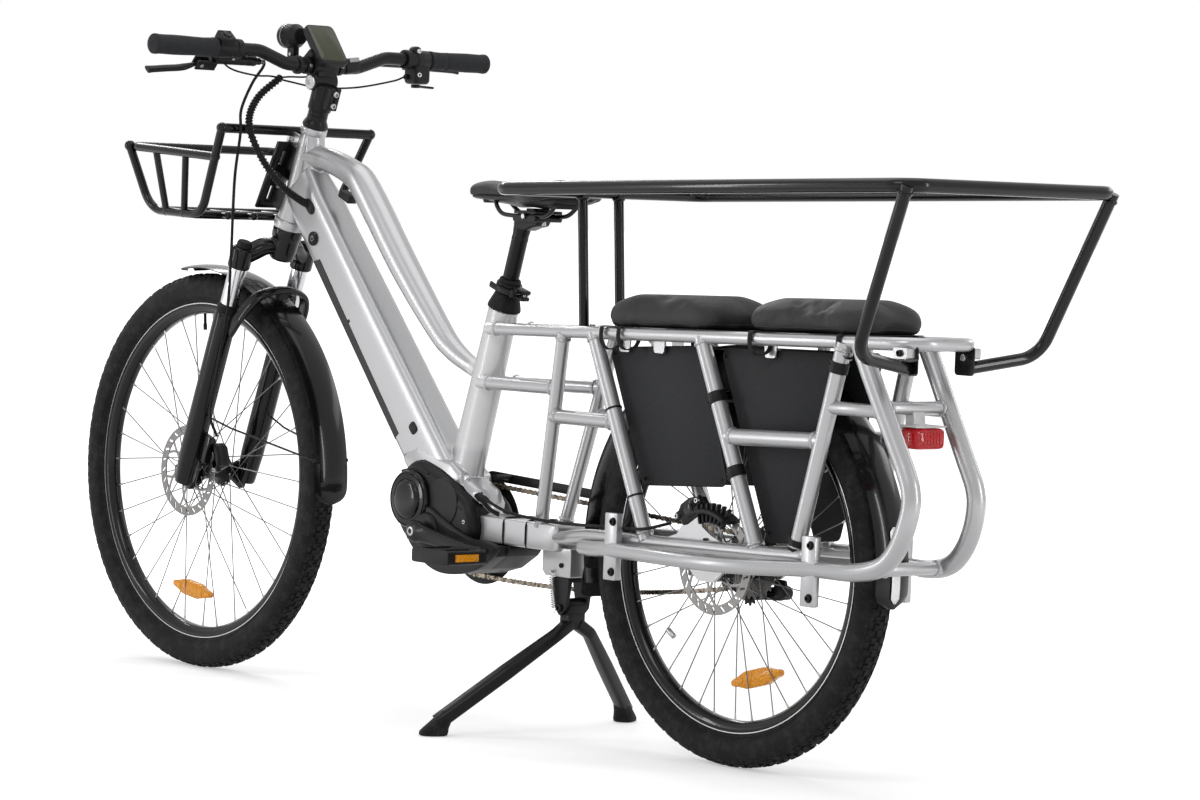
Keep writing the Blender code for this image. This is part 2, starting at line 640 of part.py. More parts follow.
def rotor(name, centre, y):
    """A brake disc with six windows between its arms."""
    disc = revolve([(0.0225, -0.0009), (ROTOR_RADIUS, -0.0009), (ROTOR_RADIUS, 0.0009), (0.0225, 0.0009)],
                   centre + ACROSS * y, ACROSS, 16, True)
    cuts = []
    for k in range(6):
        base = 2 * pi * k / 6
        outer = [(0.063, base + radians(8)), (0.063, base + radians(52)), (0.034, base + radians(34))]
        cuts.append(prism([(centre.x + r * cos(a), centre.z + r * sin(a)) for r, a in outer], y - 0.01, y + 0.01))
    hang(welded(name, [disc], "steel", cuts), centre)


def build_wheels():
    """Tyres, rims, laced hubs and brake discs, each turning on its axle."""
    tyre("front_tyre", FRONT_AXLE, FRONT_RADIUS)
    front_hub = [(0.0052, -0.0625), (0.0052, -0.0500), (0.0100, -0.0496), (0.0200, -0.0433),
                 (0.0200, -0.0310), (0.0290, -0.0290), (0.0290, -0.0190), (0.0150, -0.0120), (0.0150, 0.0250),
                 (0.0290, 0.0280), (0.0290, 0.0380), (0.0110, 0.0496), (0.0052, 0.0500), (0.0052, 0.0625)]
    hub = revolve(front_hub, FRONT_AXLE, ACROSS, 8)
    hang(welded("front_wheel", [hub, spokes(FRONT_AXLE, FRONT_RADIUS, (-0.024, 0.033), 0.029),
                                rim(FRONT_AXLE, FRONT_RADIUS)], "black_satin"), FRONT_AXLE)
    rotor("front_rotor", FRONT_AXLE, -0.0420)
    tyre("rear_tyre", REAR_AXLE, REAR_RADIUS)
    rear_hub = [(0.0056, -0.0800), (0.0056, -0.0672), (0.0100, -0.0670), (0.0200, -0.0553), (0.0200, -0.0360),
                (0.0290, -0.0340), (0.0290, -0.0240), (0.0170, -0.0170), (0.0170, 0.0080), (0.0290, 0.0110),
                (0.0290, 0.0210), (0.0150, 0.0225), (0.0150, 0.0630), (0.0100, 0.0670), (0.0056, 0.0672),
                (0.0056, 0.0800)]
    hub = revolve(rear_hub, REAR_AXLE, ACROSS, 8)
    hang(welded("rear_wheel", [hub, spokes(REAR_AXLE, REAR_RADIUS, (-0.029, 0.016), 0.029),
                               rim(REAR_AXLE, REAR_RADIUS)], "black_satin"), REAR_AXLE)
    rotor("rear_rotor", REAR_AXLE, -0.0540)
    profile = [(0.0158, 0.0250)]
    for y, r in ((0.0264, 0.0560), (0.0324, 0.0485), (0.0390, 0.0420), (0.0504, 0.0296), (0.0580, 0.0250)):
        profile += [(r, y - 0.001), (r, y + 0.001), (0.0215, y + 0.0020)]
    profile.append((0.0158, 0.0620))
    hang(as_object("cassette", revolve(profile, REAR_AXLE, ACROSS, 12, True), "steel", 30), REAR_AXLE)


# Drive
def belt_path(wheels, arc_step=radians(20)):
    """A closed loop round toothed wheels. Each is x, z, radius and 1 for inside the loop or -1 for outside."""
    touches = []
    for (ax, az, ar, a_side), (bx, bz, br, b_side) in zip(wheels, wheels[1:] + wheels[:1]):
        gap = Vector((bx - ax, bz - az))
        along = gap.normalized()
        lean = (a_side * ar - b_side * br) / gap.length
        normal = along * lean + Vector((-along.y, along.x)) * sqrt(1 - lean * lean)
        touches.append((Vector((ax, az)) + normal * a_side * ar, Vector((bx, bz)) + normal * b_side * br))
    path = []
    for k, (x, z, radius, side) in enumerate(wheels):
        arrive, leave = touches[k - 1][1], touches[k][0]
        start = atan2(arrive.y - z, arrive.x - x)
        end = atan2(leave.y - z, leave.x - x)
        turn = (start - end) % (2 * pi) if side > 0 else (end - start) % (2 * pi)
        count = max(2, round(turn / arc_step))
        for i in range(count + 1):
            angle = start - side * turn * i / count
            path.append(Vector((x + radius * cos(angle), CHAIN_Y, z + radius * sin(angle))))
    return path


GUIDE_PULLEY = (0.5637, 0.2605, 0.0202)
TENSION_PULLEY = (0.5110, 0.2830, 0.0202)


def chain_path():
    """The chain's loop with the slack of its lower run."""
    wheels = [(CRANK_AXIS.x, CRANK_AXIS.z, RING_RADIUS, 1), (REAR_AXLE.x, REAR_AXLE.z, SPROCKET_RADIUS, 1),
              (*GUIDE_PULLEY, -1), (*TENSION_PULLEY, 1)]
    path = belt_path(wheels)
    final = path[-1]
    first = path[0]
    slack = []
    for k in range(1, 8):
        t = k / 8
        point = final.lerp(first, t)
        slack.append(point - UP * 0.060 * t * (1 - t))
    return path + slack


def build_drive():
    """Motor, cranks, ring, chain, guard and derailleur."""
    body = prism(motor_outline(), -0.0560, 0.0400)
    shaft_room = revolve([(0.0125, -0.09), (0.0125, 0.09)], CRANK_AXIS, ACROSS, 12)
    boss = revolve([(0.027, -0.0700), (0.030, -0.0660), (0.030, -0.050)], CRANK_AXIS, ACROSS, 16)
    cap = revolve([(0.048, -0.0540), (0.048, -0.0660), (0.045, -0.0705), (0.020, -0.0740)],
                  Vector((-0.140, 0, 0.352)), ACROSS, 18)
    welded("motor", [body, cap, boss], "black_satin", [shaft_room])
    skid = [(-0.151, 0.299), (-0.131, 0.276), (-0.098, 0.251), (-0.056, 0.238), (-0.004, 0.240), (0.041, 0.252),
            (0.080, 0.276), (0.094, 0.2925), (0.0155, 0.2925), (0.008, 0.284), (-0.010, 0.2600), (-0.060, 0.2440),
            (-0.110, 0.2563), (-0.1455, 0.2770)]
    plate = prism(skid, -0.0345, 0.0345)
    rim_plate = prism([(-0.151, 0.299), (-0.131, 0.276), (-0.098, 0.251), (-0.056, 0.238), (-0.004, 0.240),
                       (0.041, 0.252), (0.080, 0.276), (0.094, 0.2925), (0.040, 0.2925), (0.010, 0.2700),
                       (-0.020, 0.2640), (-0.060, 0.2660), (-0.100, 0.2790), (-0.130, 0.2960)], -0.0620, -0.0566)
    bridge = prism([(-0.004, 0.2405), (0.041, 0.252), (0.080, 0.276), (0.0825, 0.2925), (0.030, 0.2925),
                    (0.0175, 0.2760)], -0.0580, -0.030)
    welded("motor_skid_cover", [plate, rim_plate, bridge], "grey_cover",
           [revolve([(0.0305, -0.08), (0.0305, -0.04)], CRANK_AXIS, ACROSS, 16),
            revolve([(0.0488, -0.08), (0.0488, -0.04)], Vector((-0.140, 0, 0.352)), ACROSS, 18)])
    spindle = revolve([(0.0120, -0.0780), (0.0120, 0.0790)], CRANK_AXIS, ACROSS, 12)
    rear_end = CRANK_AXIS + Vector((cos(CRANK_DROOP), 0, -sin(CRANK_DROOP))) * CRANK_LENGTH
    front_end = CRANK_AXIS * 2 - rear_end
    left = [crank_arm(rear_end, -0.0785, -0.0985)]
    right = [crank_arm(front_end, 0.0785, 0.0985), spindle]
    spider = prism(circle(CRANK_AXIS.x, CRANK_AXIS.z, 0.026, 10), 0.0560, 0.0790)
    right.append(spider)
    for k in range(5):
        angle = 2 * pi * k / 5 + 0.3
        tip = CRANK_AXIS + Vector((cos(angle), 0, sin(angle))) * 0.060
        near = CRANK_AXIS + Vector((cos(angle), 0, sin(angle))) * 0.018
        right.append(tube([near + ACROSS * 0.0590, tip + ACROSS * 0.0570], 0.0030, 5))
    left_cut = [revolve([(0.0123, -0.0783), (0.0123, -0.07)], CRANK_AXIS, ACROSS, 12)]
    hang(welded("crank_arm_left", left, "black_satin", left_cut), CRANK_AXIS)
    right.append(revolve([(0.0540, CHAIN_Y - 0.0014), (0.0708, CHAIN_Y - 0.0014), (0.0708, CHAIN_Y + 0.0014),
                          (0.0640, CHAIN_Y + 0.0014), (0.0920, 0.0588), (0.0900, 0.0616), (0.0540, 0.0616)],
                         CRANK_AXIS, ACROSS, 20, True))
    hang(welded("crank_arm_right", right, "black_satin"), CRANK_AXIS)
    build_pedals(rear_end, front_end)
    links = [(0.0030, 0.0041), (-0.0030, 0.0041), (-0.0030, -0.0041), (0.0030, -0.0041)]
    as_object("chain", sweep(chain_path(), links, ACROSS, True), "chain_steel")
    build_derailleur()


def crank_arm(end, near, far):
    """One crank arm from the crank axis to a pedal, leaning outwards."""
    side = 1 if near > 0 else -1
    along = (end - CRANK_AXIS).normalized()
    square = along.cross(ACROSS)
    rings = []
    for share, half, depth in ((-0.090, 0.013, 0.008), (0.0, 0.018, 0.010), (0.12, 0.0135, 0.008),
                               (0.85, 0.011, 0.0065), (1.0, 0.013, 0.0065), (1.06, 0.008, 0.0055)):
        lean = near + side * depth + (far - near) * 0.55 * min(1, max(0, share))
        centre = CRANK_AXIS + along * CRANK_LENGTH * share + ACROSS * lean
        rings.append([centre + square * a + ACROSS * b for a, b in oval(half, depth, 12, 3)])
    return skin(rings)


def build_pedals(rear_end, front_end):
    """Two platform pedals, each free on its pin."""
    for end, side, word in ((rear_end, -1, "left"), (front_end, 1, "right")):
        pin = tube([end + ACROSS * side * 0.1030, end + ACROSS * side * 0.185], 0.0052, 8)
        frame_outline = corner_arcs([(-0.046, -0.0115), (0.046, -0.0115), (0.046, 0.0115), (-0.046, 0.0115)], 0.006, 2)
        body = prism([(end.x + p.x, end.z + p.z) for p in frame_outline], 0.112 * side, 0.192 * side)
        windows = []
        for dx in (-0.0235, 0.0235):
            windows.append(block(end + Vector((dx, side * 0.152, 0)), (0.025, 0.058, 0.05)))
        hang(welded(f"pedal_{word}", [body, pin], "black_satin", windows), end)


def build_derailleur():
    """Rear derailleur: hanger and body, swinging cage and two pulleys."""
    guide = Vector((GUIDE_PULLEY[0], CHAIN_Y, GUIDE_PULLEY[1]))
    tension = Vector((TENSION_PULLEY[0], CHAIN_Y, TENSION_PULLEY[1]))
    hanger = prism([(0.600, 0.2855), (0.622, 0.2855), (0.628, 0.262), (0.612, 0.254), (0.598, 0.268)], 0.0675, 0.0733)
    knuckle = tube([(0.613, 0.0700, 0.265), (0.613, 0.0850, 0.265)], 0.011, 12)
    links = block(Vector((0.590, 0.0775, 0.262)), (0.056, 0.012, 0.016))
    swivel = tube([(guide.x, 0.0630, guide.z), (guide.x, 0.0830, guide.z)], 0.011, 12)
    welded("derailleur_body", [hanger, knuckle, links, swivel], "black_satin",
           [prism([(0.552, 0.3430), (0.560, 0.2997), (0.578, 0.2857), (0.6103, 0.2857), (0.6303, 0.2997),
                   (0.6453, 0.3430)], 0.0670, 0.0740)])
    outline = [(guide.x, guide.z), (tension.x, tension.z)]
    plates = []
    for y in (CHAIN_Y - 0.0052, CHAIN_Y + 0.0052):
        plates.append(capsule(outline[0], outline[1], 0.0115, y - 0.0008, y + 0.0008))
    for x, z in outline:
        plates.append(tube([(x, CHAIN_Y - 0.0055, z), (x, CHAIN_Y + 0.0055, z)], 0.0030, 8))
    cage_stub = tube([(guide.x, CHAIN_Y + 0.005, guide.z), (guide.x, 0.0626, guide.z)], 0.0070, 10)
    hang(welded("derailleur_cage", [*plates, cage_stub], "black_satin"), guide)
    for name, centre in (("guide_pulley", guide), ("tension_pulley", tension)):
        wheel = revolve([(0.0034, -0.0020), (0.0154, -0.0020), (0.0154, 0.0020), (0.0034, 0.0020)],
                        centre, ACROSS, 12, True)
        hang(as_object(name, wheel, "black_satin"), centre)


def capsule(first, second, radius, low, high):
    """A plate with round ends between two points."""
    gap = Vector((second[0] - first[0], second[1] - first[1]))
    turn = atan2(gap.y, gap.x)
    outline = circle(first[0], first[1], radius, 6, turn + pi / 2, turn + 3 * pi / 2)
    outline += circle(second[0], second[1], radius, 6, turn - pi / 2, turn + pi / 2)
    return prism(outline, low, high)


# Brakes and stand
def build_brakes():
    """Disc brake callipers, each with a slot that its disc runs through."""
    centre = steer_point(-0.6120, -0.0190, -0.0425)
    for name, middle, axle, y, pivot in (("front_caliper", centre, FRONT_AXLE, -0.0420, None),
                                         ("rear_caliper", Vector((0.5460, -0.0550, 0.3900)), REAR_AXLE, -0.0540, None)):
        away = (middle - axle)
        away.y = 0
        away.normalize()
        turn = Matrix((away.cross(ACROSS) * -1, ACROSS, away)).transposed()
        body = block(middle, (0.046, 0.026, 0.034), turn)
        mount = block(middle + away * 0.004 + ACROSS * -0.009, (0.060, 0.008, 0.014), turn)
        slot = revolve([(0.05, -0.0016), (ROTOR_RADIUS + 0.002, -0.0016), (ROTOR_RADIUS + 0.002, 0.0016),
                        (0.05, 0.0016)], axle + ACROSS * y, ACROSS, 32)
        cuts = [slot]
        if name == "front_caliper":
            cuts.append(fork_leg(-1, GAP))
        else:
            cuts.append(stay_tube(-1, GAP))
            cuts.append(block(Vector((0.552, -0.0655, 0.356)), (0.0506, 0.0086, 0.0306)))
        welded(name, [body, mount], "black_satin", cuts)


def build_stand():
    """Twin-leg stand turning on one pin in the bracket under the frame."""
    pieces = [tube([KICK_PIVOT - ACROSS * 0.0270, KICK_PIVOT + ACROSS * 0.0270], 0.0056, 10),
              tube([KICK_PIVOT - ACROSS * 0.0180, KICK_PIVOT + ACROSS * 0.0180], 0.0150, 12),
              block(KICK_PIVOT + Vector((0.002, 0, -0.020)), (0.022, 0.034, 0.024))]
    for side in (-1, 1):
        points = [KICK_PIVOT + Vector((0.003, 0.008 * side, -0.026)), (0.2115, 0.034 * side, 0.163),
                  (0.121, 0.199 * side, 0.0205)]
        pieces.append(tube(rounded(points, 0.02, 2), 0.0085, 8, Vector((1, 0, 0))))
        foot = revolve([(0.012, 0.0), (0.019, 0.002), (0.019, 0.009), (0.011, 0.024)],
                       Vector((0.1190, 0.2020 * side, 0.0)), UP, 8)
        pieces.append(foot)
    hang(welded("stand_legs", pieces, "black_satin"), KICK_PIVOT)


# Fork and steering
def fork_leg(side, grow=0.0):
    """One lower leg of the fork."""
    y = FORK_LEG_Y * side
    start = steer_point(-0.365, FORK_LEG_AHEAD, y)
    return revolve([(0.0180 + grow, 0.008), (0.0205 + grow, 0.0), (0.0205 + grow, -0.26), (0.0175 + grow, -0.315)],
                   start, STEER_UP, 10)


def build_fork():
    """Suspension fork: steerer, crown and slim tubes above, legs with a brace below."""
    crown_rings = []
    for y, low, high, back, ahead in ((-0.0905, -0.270, -0.242, 0.012, 0.036), (-0.086, -0.277, -0.236, 0.003, 0.045),
                                      (-0.050, -0.277, -0.234, 0.002, 0.047), (-0.030, -0.248, -0.215, -0.012, 0.046),
                                      (0.030, -0.248, -0.215, -0.012, 0.046), (0.050, -0.277, -0.234, 0.002, 0.047),
                                      (0.086, -0.277, -0.236, 0.003, 0.045), (0.0905, -0.270, -0.242, 0.012, 0.036)):
        middle = steer_point((low + high) / 2, (back + ahead) / 2, y)
        crown_rings.append([middle + STEER_AHEAD * a + STEER_UP * b
                            for a, b in oval((ahead - back) / 2, (high - low) / 2, 10, 4)])
    steerer = revolve([(STEERER_RADIUS, 0.0745), (STEERER_RADIUS, -0.205)], HEAD_TOP, STEER_UP, 12)
    race = revolve([(0.0265, -0.1873), (0.0265, -0.206), (0.0215, -0.222)], HEAD_TOP, STEER_UP, 16)
    upper = [skin(crown_rings), steerer, race]
    for side in (-1, 1):
        upper.append(revolve([(0.0158, -0.250), (0.0158, -0.560)],
                             HEAD_TOP + STEER_AHEAD * FORK_LEG_AHEAD + ACROSS * FORK_LEG_Y * side, STEER_UP, 12))
    welded("fork_upper", upper, "black_gloss")
    lower = []
    cuts = []
    for side in (-1, 1):
        lower.append(fork_leg(side))
        base = HEAD_TOP + STEER_AHEAD * FORK_LEG_AHEAD + ACROSS * FORK_LEG_Y * side
        cuts.append(revolve([(0.0163, -0.30), (0.0163, -0.640)], base, STEER_UP, 12))
        inner, outer = 0.0503 * side, 0.0600 * side
        axle = steer_axle()
        ends = [(axle[0] - 0.014, axle[1] + 0.012), (axle[0] + 0.004, axle[1] + 0.017), (axle[0] + 0.030, 0.028),
                (axle[0] + 0.034, 0.010), (axle[0] - 0.020, 0.012)]
        lower.append(prism(ends, min(inner, outer), max(inner, outer), ACROSS, lambda s, t: steer_point(s, t)))
        cuts.append(tube([FRONT_AXLE + ACROSS * 0.03 * side, FRONT_AXLE + ACROSS * 0.07 * side], 0.0057, 12))
    arc = [steer_point(-0.385, 0.006, -0.067), steer_point(-0.345, -0.014, -0.066), steer_point(-0.302, -0.024, -0.046),
           steer_point(-0.287, -0.025, 0.0), steer_point(-0.302, -0.024, 0.046), steer_point(-0.345, -0.014, 0.066),
           steer_point(-0.385, 0.006, 0.067)]
    lower.append(sweep(arc, oval(0.0065, 0.0045, 6, 3), STEER_AHEAD))
    boss = block(steer_point(-0.603, 0.000, -0.0605), (0.030, 0.010, 0.050),
                 Matrix((STEER_AHEAD, ACROSS, STEER_UP)).transposed())
    lower.append(boss)
    welded("fork_lowers", lower, "black_gloss", cuts)


def steer_axle():
    """Place of the front axle along and ahead of the steering axis."""
    gap = FRONT_AXLE - HEAD_TOP
    return gap.dot(STEER_UP), gap.dot(STEER_AHEAD)


def build_cockpit():
    """Headset, stem, bar, grips, levers, control pods, display and lamp."""
    cone = revolve([(0.0220, 0.0004), (0.0215, 0.0060), (0.0175, 0.0130), (0.0175, 0.0310)], HEAD_TOP, STEER_UP, 12)
    sleeve = revolve([(0.0190, 0.0300), (0.0205, 0.0320), (0.0205, 0.0740), (0.0180, 0.0770)], HEAD_TOP, STEER_UP, 12)
    pinch = block(Vector((-0.4690, 0, 1.0105)), (0.018, 0.022, 0.040), Matrix.Rotation(STEER_ANGLE, 3, "Y"))
    knuckle = tube([(-0.497, -0.0235, 1.040), (-0.497, 0.0235, 1.040)], 0.0165, 12)
    neck = block(Vector((-0.4975, 0, 1.053)), (0.030, 0.036, 0.030))
    clamp = tube([(-0.498, -0.0250, 1.0655), (-0.498, 0.0250, 1.0655)], 0.0185, 12)
    steerer_room = revolve([(STEERER_RADIUS + GAP, -0.02), (STEERER_RADIUS + GAP, 0.0750)], HEAD_TOP, STEER_UP, 12)
    bar_room = tube([(-0.498, -0.03, 1.0655), (-0.498, 0.03, 1.0655)], BAR_BORE + 0.0012, 10)
    welded("stem", [cone, sleeve, pinch, knuckle, neck, clamp], "black_satin", [steerer_room, bar_room])
    bar = handlebar_path()
    rings = []
    for centre, across, over in frames(bar, Vector((1, 0, 0))):
        size = BAR_RADIUS + (0.0012 if abs(centre.y) < 0.058 else 0)
        rings.append([centre + across * a + over * b for a, b in oval(size, size, 10)])
    as_object("handlebar", skin(rings), "black_satin")
    for side, word in ((-1, "left"), (1, "right")):
        grip = tube([(-0.4940, 0.2300 * side, 1.0860), (-0.4925, 0.3575 * side, 1.0860)], 0.0168, 12)
        room = tube([(-0.4955, 0.15 * side, 1.0860), (-0.49252, 0.3554 * side, 1.0860)], BAR_BORE, 10)
        welded(f"grip_{word}", [grip], "grip_rubber", [room])
        build_lever(side, word)
    normal = Vector((sin(radians(38)), 0, cos(radians(38))))
    top = Vector((-0.4860, -0.2145, 1.1000)) + normal * 0.010
    button = revolve([(0.0067, -0.0010), (0.0067, 0.0012), (0.0055, 0.0020)], top, normal, 12)
    hang(as_object("assist_button", button, "grey_cover"), top)
    pivot = Vector((-0.5060, 0.2130, 1.0435))
    disc = tube([pivot, pivot - UP * 0.006], 0.0080, 12)
    paddle = sweep([pivot - UP * 0.003 + Vector((0.002, 0, 0)), pivot + Vector((-0.002, 0.020, -0.0035)),
                    pivot + Vector((0.004, 0.036, -0.0045))], oval(0.0060, 0.0024, 8, 3), Vector((1, 0, 0)))
    hang(welded("shift_trigger", [disc, paddle], "black_satin"), pivot)
    build_display()


def handlebar_path():
    ends = [(-0.4925, -BAR_HALF_WIDTH, 1.0860), (-0.4962, -0.135, 1.0860), (-0.4980, -0.075, 1.0655),
            (-0.4980, 0.075, 1.0655), (-0.4962, 0.135, 1.0860), (-0.4925, BAR_HALF_WIDTH, 1.0860)]
    path = rounded(ends, 0.06, 5)
    middle = len(path) // 2
    extra = [Vector((-0.4980, y, 1.0655)) for y in (-0.062, -0.056, 0.056, 0.062)]
    return path[:middle] + extra + path[middle:]


LEVERS = {-1: (Vector((-0.5240, -0.2380, 1.0600)), Vector((-0.5345, -0.3380, 1.0440)), Vector((-0.74, 0, 0.67))),
          1: (Vector((-0.5310, 0.2380, 1.0780)), Vector((-0.5440, 0.3380, 1.0740)), Vector((0.168, 0, -0.986)))}


def build_lever(side, word):
    """A brake lever: bar clamp with its master cylinder, and the blade on a pin."""
    pivot, tip, axis = LEVERS[side]
    axis = axis.normalized()
    bar = Vector((-0.4957, 0, 1.0860))
    ring = tube([bar + ACROSS * 0.1760 * side, bar + ACROSS * 0.2285 * side], 0.0168, 10)
    room = tube([(-0.4966, 0.10 * side, 1.0860), (-0.4931, 0.30 * side, 1.0860)], BAR_BORE, 10)
    forward = (pivot - bar)
    forward.y = 0
    forward.normalize()
    root = bar + forward * 0.026
    cylinder = tube([root + ACROSS * 0.120 * side, root + ACROSS * 0.215 * side + forward * 0.002], 0.0088, 10)
    joint = tube([root + ACROSS * 0.178 * side - forward * 0.014, root + ACROSS * 0.186 * side], 0.0065, 8)
    turn = Matrix((axis.cross(ACROSS), ACROSS, axis)).transposed()
    head = block(pivot - ACROSS * 0.010 * side, (0.018, 0.040, 0.0165), turn)
    slot = block(pivot + ACROSS * 0.002 * side, (0.040, 0.034, 0.0094), turn)
    pieces = [ring, cylinder, joint, head]
    cuts = [room, slot]
    if side < 0:
        face = Vector((-0.4860, -0.2145, 1.1000))
        normal = Vector((sin(radians(38)), 0, cos(radians(38))))
        pieces.append(block(face, (0.026, 0.027, 0.020), Matrix.Rotation(radians(38), 3, "Y")))
        cuts.append(revolve([(0.0071, 0.002), (0.0071, -0.0030)], face + normal * 0.010, normal, 12))
    else:
        pieces.append(block(Vector((-0.5020, 0.2130, 1.0590)), (0.034, 0.030, 0.030)))
    welded(f"brake_perch_{word}", pieces, "black_satin", cuts)
    path = smooth([pivot, pivot.lerp(tip, 0.3) + forward * 0.006, pivot.lerp(tip, 0.65) + forward * 0.003, tip], 2)
    count = len(path) - 1
    rings = []
    for i, (centre, across, over) in enumerate(frames(path, axis)):
        width = 0.0028 + 0.0038 * min(1, max(0, (i / count - 0.12) * 5))
        rings.append([centre + across * a + over * b for a, b in oval(width, 0.0031 + 0.0012 * min(1, i / 2), 8, 3)])
    hang(as_object(f"brake_lever_{word}", skin(rings), "black_satin"), pivot)


def build_display():
    """The display over the bar, and the lamp on its bracket ahead of it."""
    normal = Vector((0.786, 0, 0.619))
    rise = Vector((-0.619, 0, 0.786))
    turn = Matrix((normal, ACROSS, rise)).transposed()
    centre = Vector((-0.4905, 0, 1.0990))
    outline = oval(0.0300, 0.0420, 16, 5)
    rings = []
    for depth, share in ((-0.007, 0.94), (-0.004, 1.0), (0.004, 1.0), (0.007, 0.93)):
        rings.append([centre + normal * depth + ACROSS * a * share + rise * b * share for a, b in outline])
    case = skin(rings)
    arms = []
    for y in (-0.0345, 0.0345):
        arms.append(tube([(-0.498, y - 0.0045, 1.0655), (-0.498, y + 0.0045, 1.0655)], 0.0150, 8))
        arms.append(block(Vector((-0.4935, y * 0.87, 1.0810)), (0.022, 0.0085, 0.014), turn))
    room = tube([(-0.498, -0.06, 1.0655), (-0.498, 0.06, 1.0655)], BAR_BORE + 0.0012, 10)
    welded("display", [case, *arms], "black_satin", [room])
    lamp = revolve([(0.0145, 0.0), (0.0200, 0.012), (0.0212, 0.040), (0.0200, 0.0440)],
                   Vector((-0.5330, -0.020, 1.1160)), Vector((-1, 0, 0)), 12)
    foot = block(Vector((-0.5545, -0.020, 1.0900)), (0.018, 0.012, 0.016))
    arm = [Vector((-0.5545, -0.020, 1.0790)), Vector((-0.5330, -0.030, 1.0680)), Vector((-0.5100, -0.0520, 1.0655))]
    plate = block(Vector((-0.5545, -0.020, 1.0800)), (0.018, 0.012, 0.0090))
    loop = tube([(-0.498, -0.0560, 1.0655), (-0.498, -0.0480, 1.0655)], 0.0160, 10)
    room = tube([(-0.498, -0.06, 1.0655), (-0.498, -0.040, 1.0655)], BAR_BORE + 0.0012, 10)
    welded("headlight", [lamp, foot, sweep(arm, oval(0.004, 0.0035, 8)), plate, loop], "black_satin", [room])


# Seat
def build_seat():
    """Seatpost, collar with its boot and lever, saddle and its rails."""
    post_top = SEAT_TOP + SEAT_UP * 0.146
    post = revolve([(SEATPOST_RADIUS, -0.175), (SEATPOST_RADIUS, 0.152)], SEAT_TOP, SEAT_UP, 14)
    head = block(post_top + Vector((0.036, 0, 0.004)), (0.052, 0.024, 0.024))
    yoke = block(post_top + Vector((0.014, 0, 0.002)), (0.040, 0.022, 0.018))
    rails = [tube(smooth([(0.155, 0.020 * s, 0.838), (0.105, 0.022 * s, 0.8260), (0.060, 0.022 * s, 0.8255),
                          (0.010, 0.018 * s, 0.837), (-0.040, 0.007 * s, 0.8490)], 1), 0.0036, 5) for s in (-1, 1)]
    tie_front = tube([(-0.036, -0.010, 0.8480), (-0.036, 0.010, 0.8480)], 0.0045, 6)
    tie_rear = tube([(0.150, -0.024, 0.8365), (0.150, 0.024, 0.8365)], 0.0045, 6)
    clamp = block(Vector((0.088, 0, 0.8235)), (0.040, 0.058, 0.016))
    hang(welded("seatpost", [post, yoke, head, clamp, *rails, tie_front, tie_rear], "black_satin"), SEAT_TOP)
    stations = ((-0.0780, 0.006, 0.8580, 0.8690), (-0.0700, 0.016, 0.8530, 0.8755), (-0.0400, 0.0220, 0.8545, 0.8800),
                (0.0100, 0.0290, 0.8545, 0.8790), (0.0600, 0.0430, 0.8530, 0.8770), (0.1000, 0.0620, 0.8510, 0.8785),
                (0.1350, 0.0750, 0.8490, 0.8825), (0.1620, 0.0730, 0.8500, 0.8860), (0.1760, 0.0520, 0.8550, 0.8840),
                (0.1800, 0.0200, 0.8620, 0.8790))
    rings = []
    for x, half, low, high in stations:
        ring = []
        for a, b in oval(half, 1, 16, 2.6):
            droop = 0.010 * (abs(a) / half) ** 2 * min(1, half / 0.05)
            z = (low + high) / 2 + b * (high - low) / 2 - (droop if b > 0 else droop * 0.6)
            ring.append(Vector((x, a, z)))
        rings.append(ring)
    hang(as_object("saddle", skin(rings), "pad_cover", 60), SEAT_TOP)
    collar = [[SEAT_TOP + SEAT_UP * s + SEAT_BACK * a + ACROSS * b for a, b in oval(r + 0.003, r, 12)]
              for s, r in ((0.0004, 0.0250), (0.016, 0.0250), (0.018, 0.0215), (0.040, 0.0160))]
    bore = revolve([(0.0141, -0.02), (0.0141, 0.06)], SEAT_TOP, SEAT_UP, 14)
    ear = block(SEAT_TOP + SEAT_UP * 0.009 + SEAT_BACK * 0.031, (0.014, 0.020, 0.013),
                Matrix.Rotation(SEAT_ANGLE, 3, "Y"))
    welded("seat_collar", [skin(collar), ear], "black_satin", [bore])
    pivot = SEAT_TOP + SEAT_UP * 0.009 + SEAT_BACK * 0.0330 + ACROSS * -0.0165
    cam = tube([pivot + SEAT_UP * 0.0062, pivot - SEAT_UP * 0.0062], 0.0058, 12)
    arm = sweep(smooth([pivot + ACROSS * -0.003, pivot + Vector((-0.010, -0.008, 0.004)),
                        pivot + Vector((-0.034, -0.0185, 0.008)), pivot + Vector((-0.056, -0.0185, 0.012))], 2),
                oval(0.0026, 0.0048, 8, 3), ACROSS)
    hang(welded("seat_clamp_lever", [cam, arm], "black_satin"), pivot)


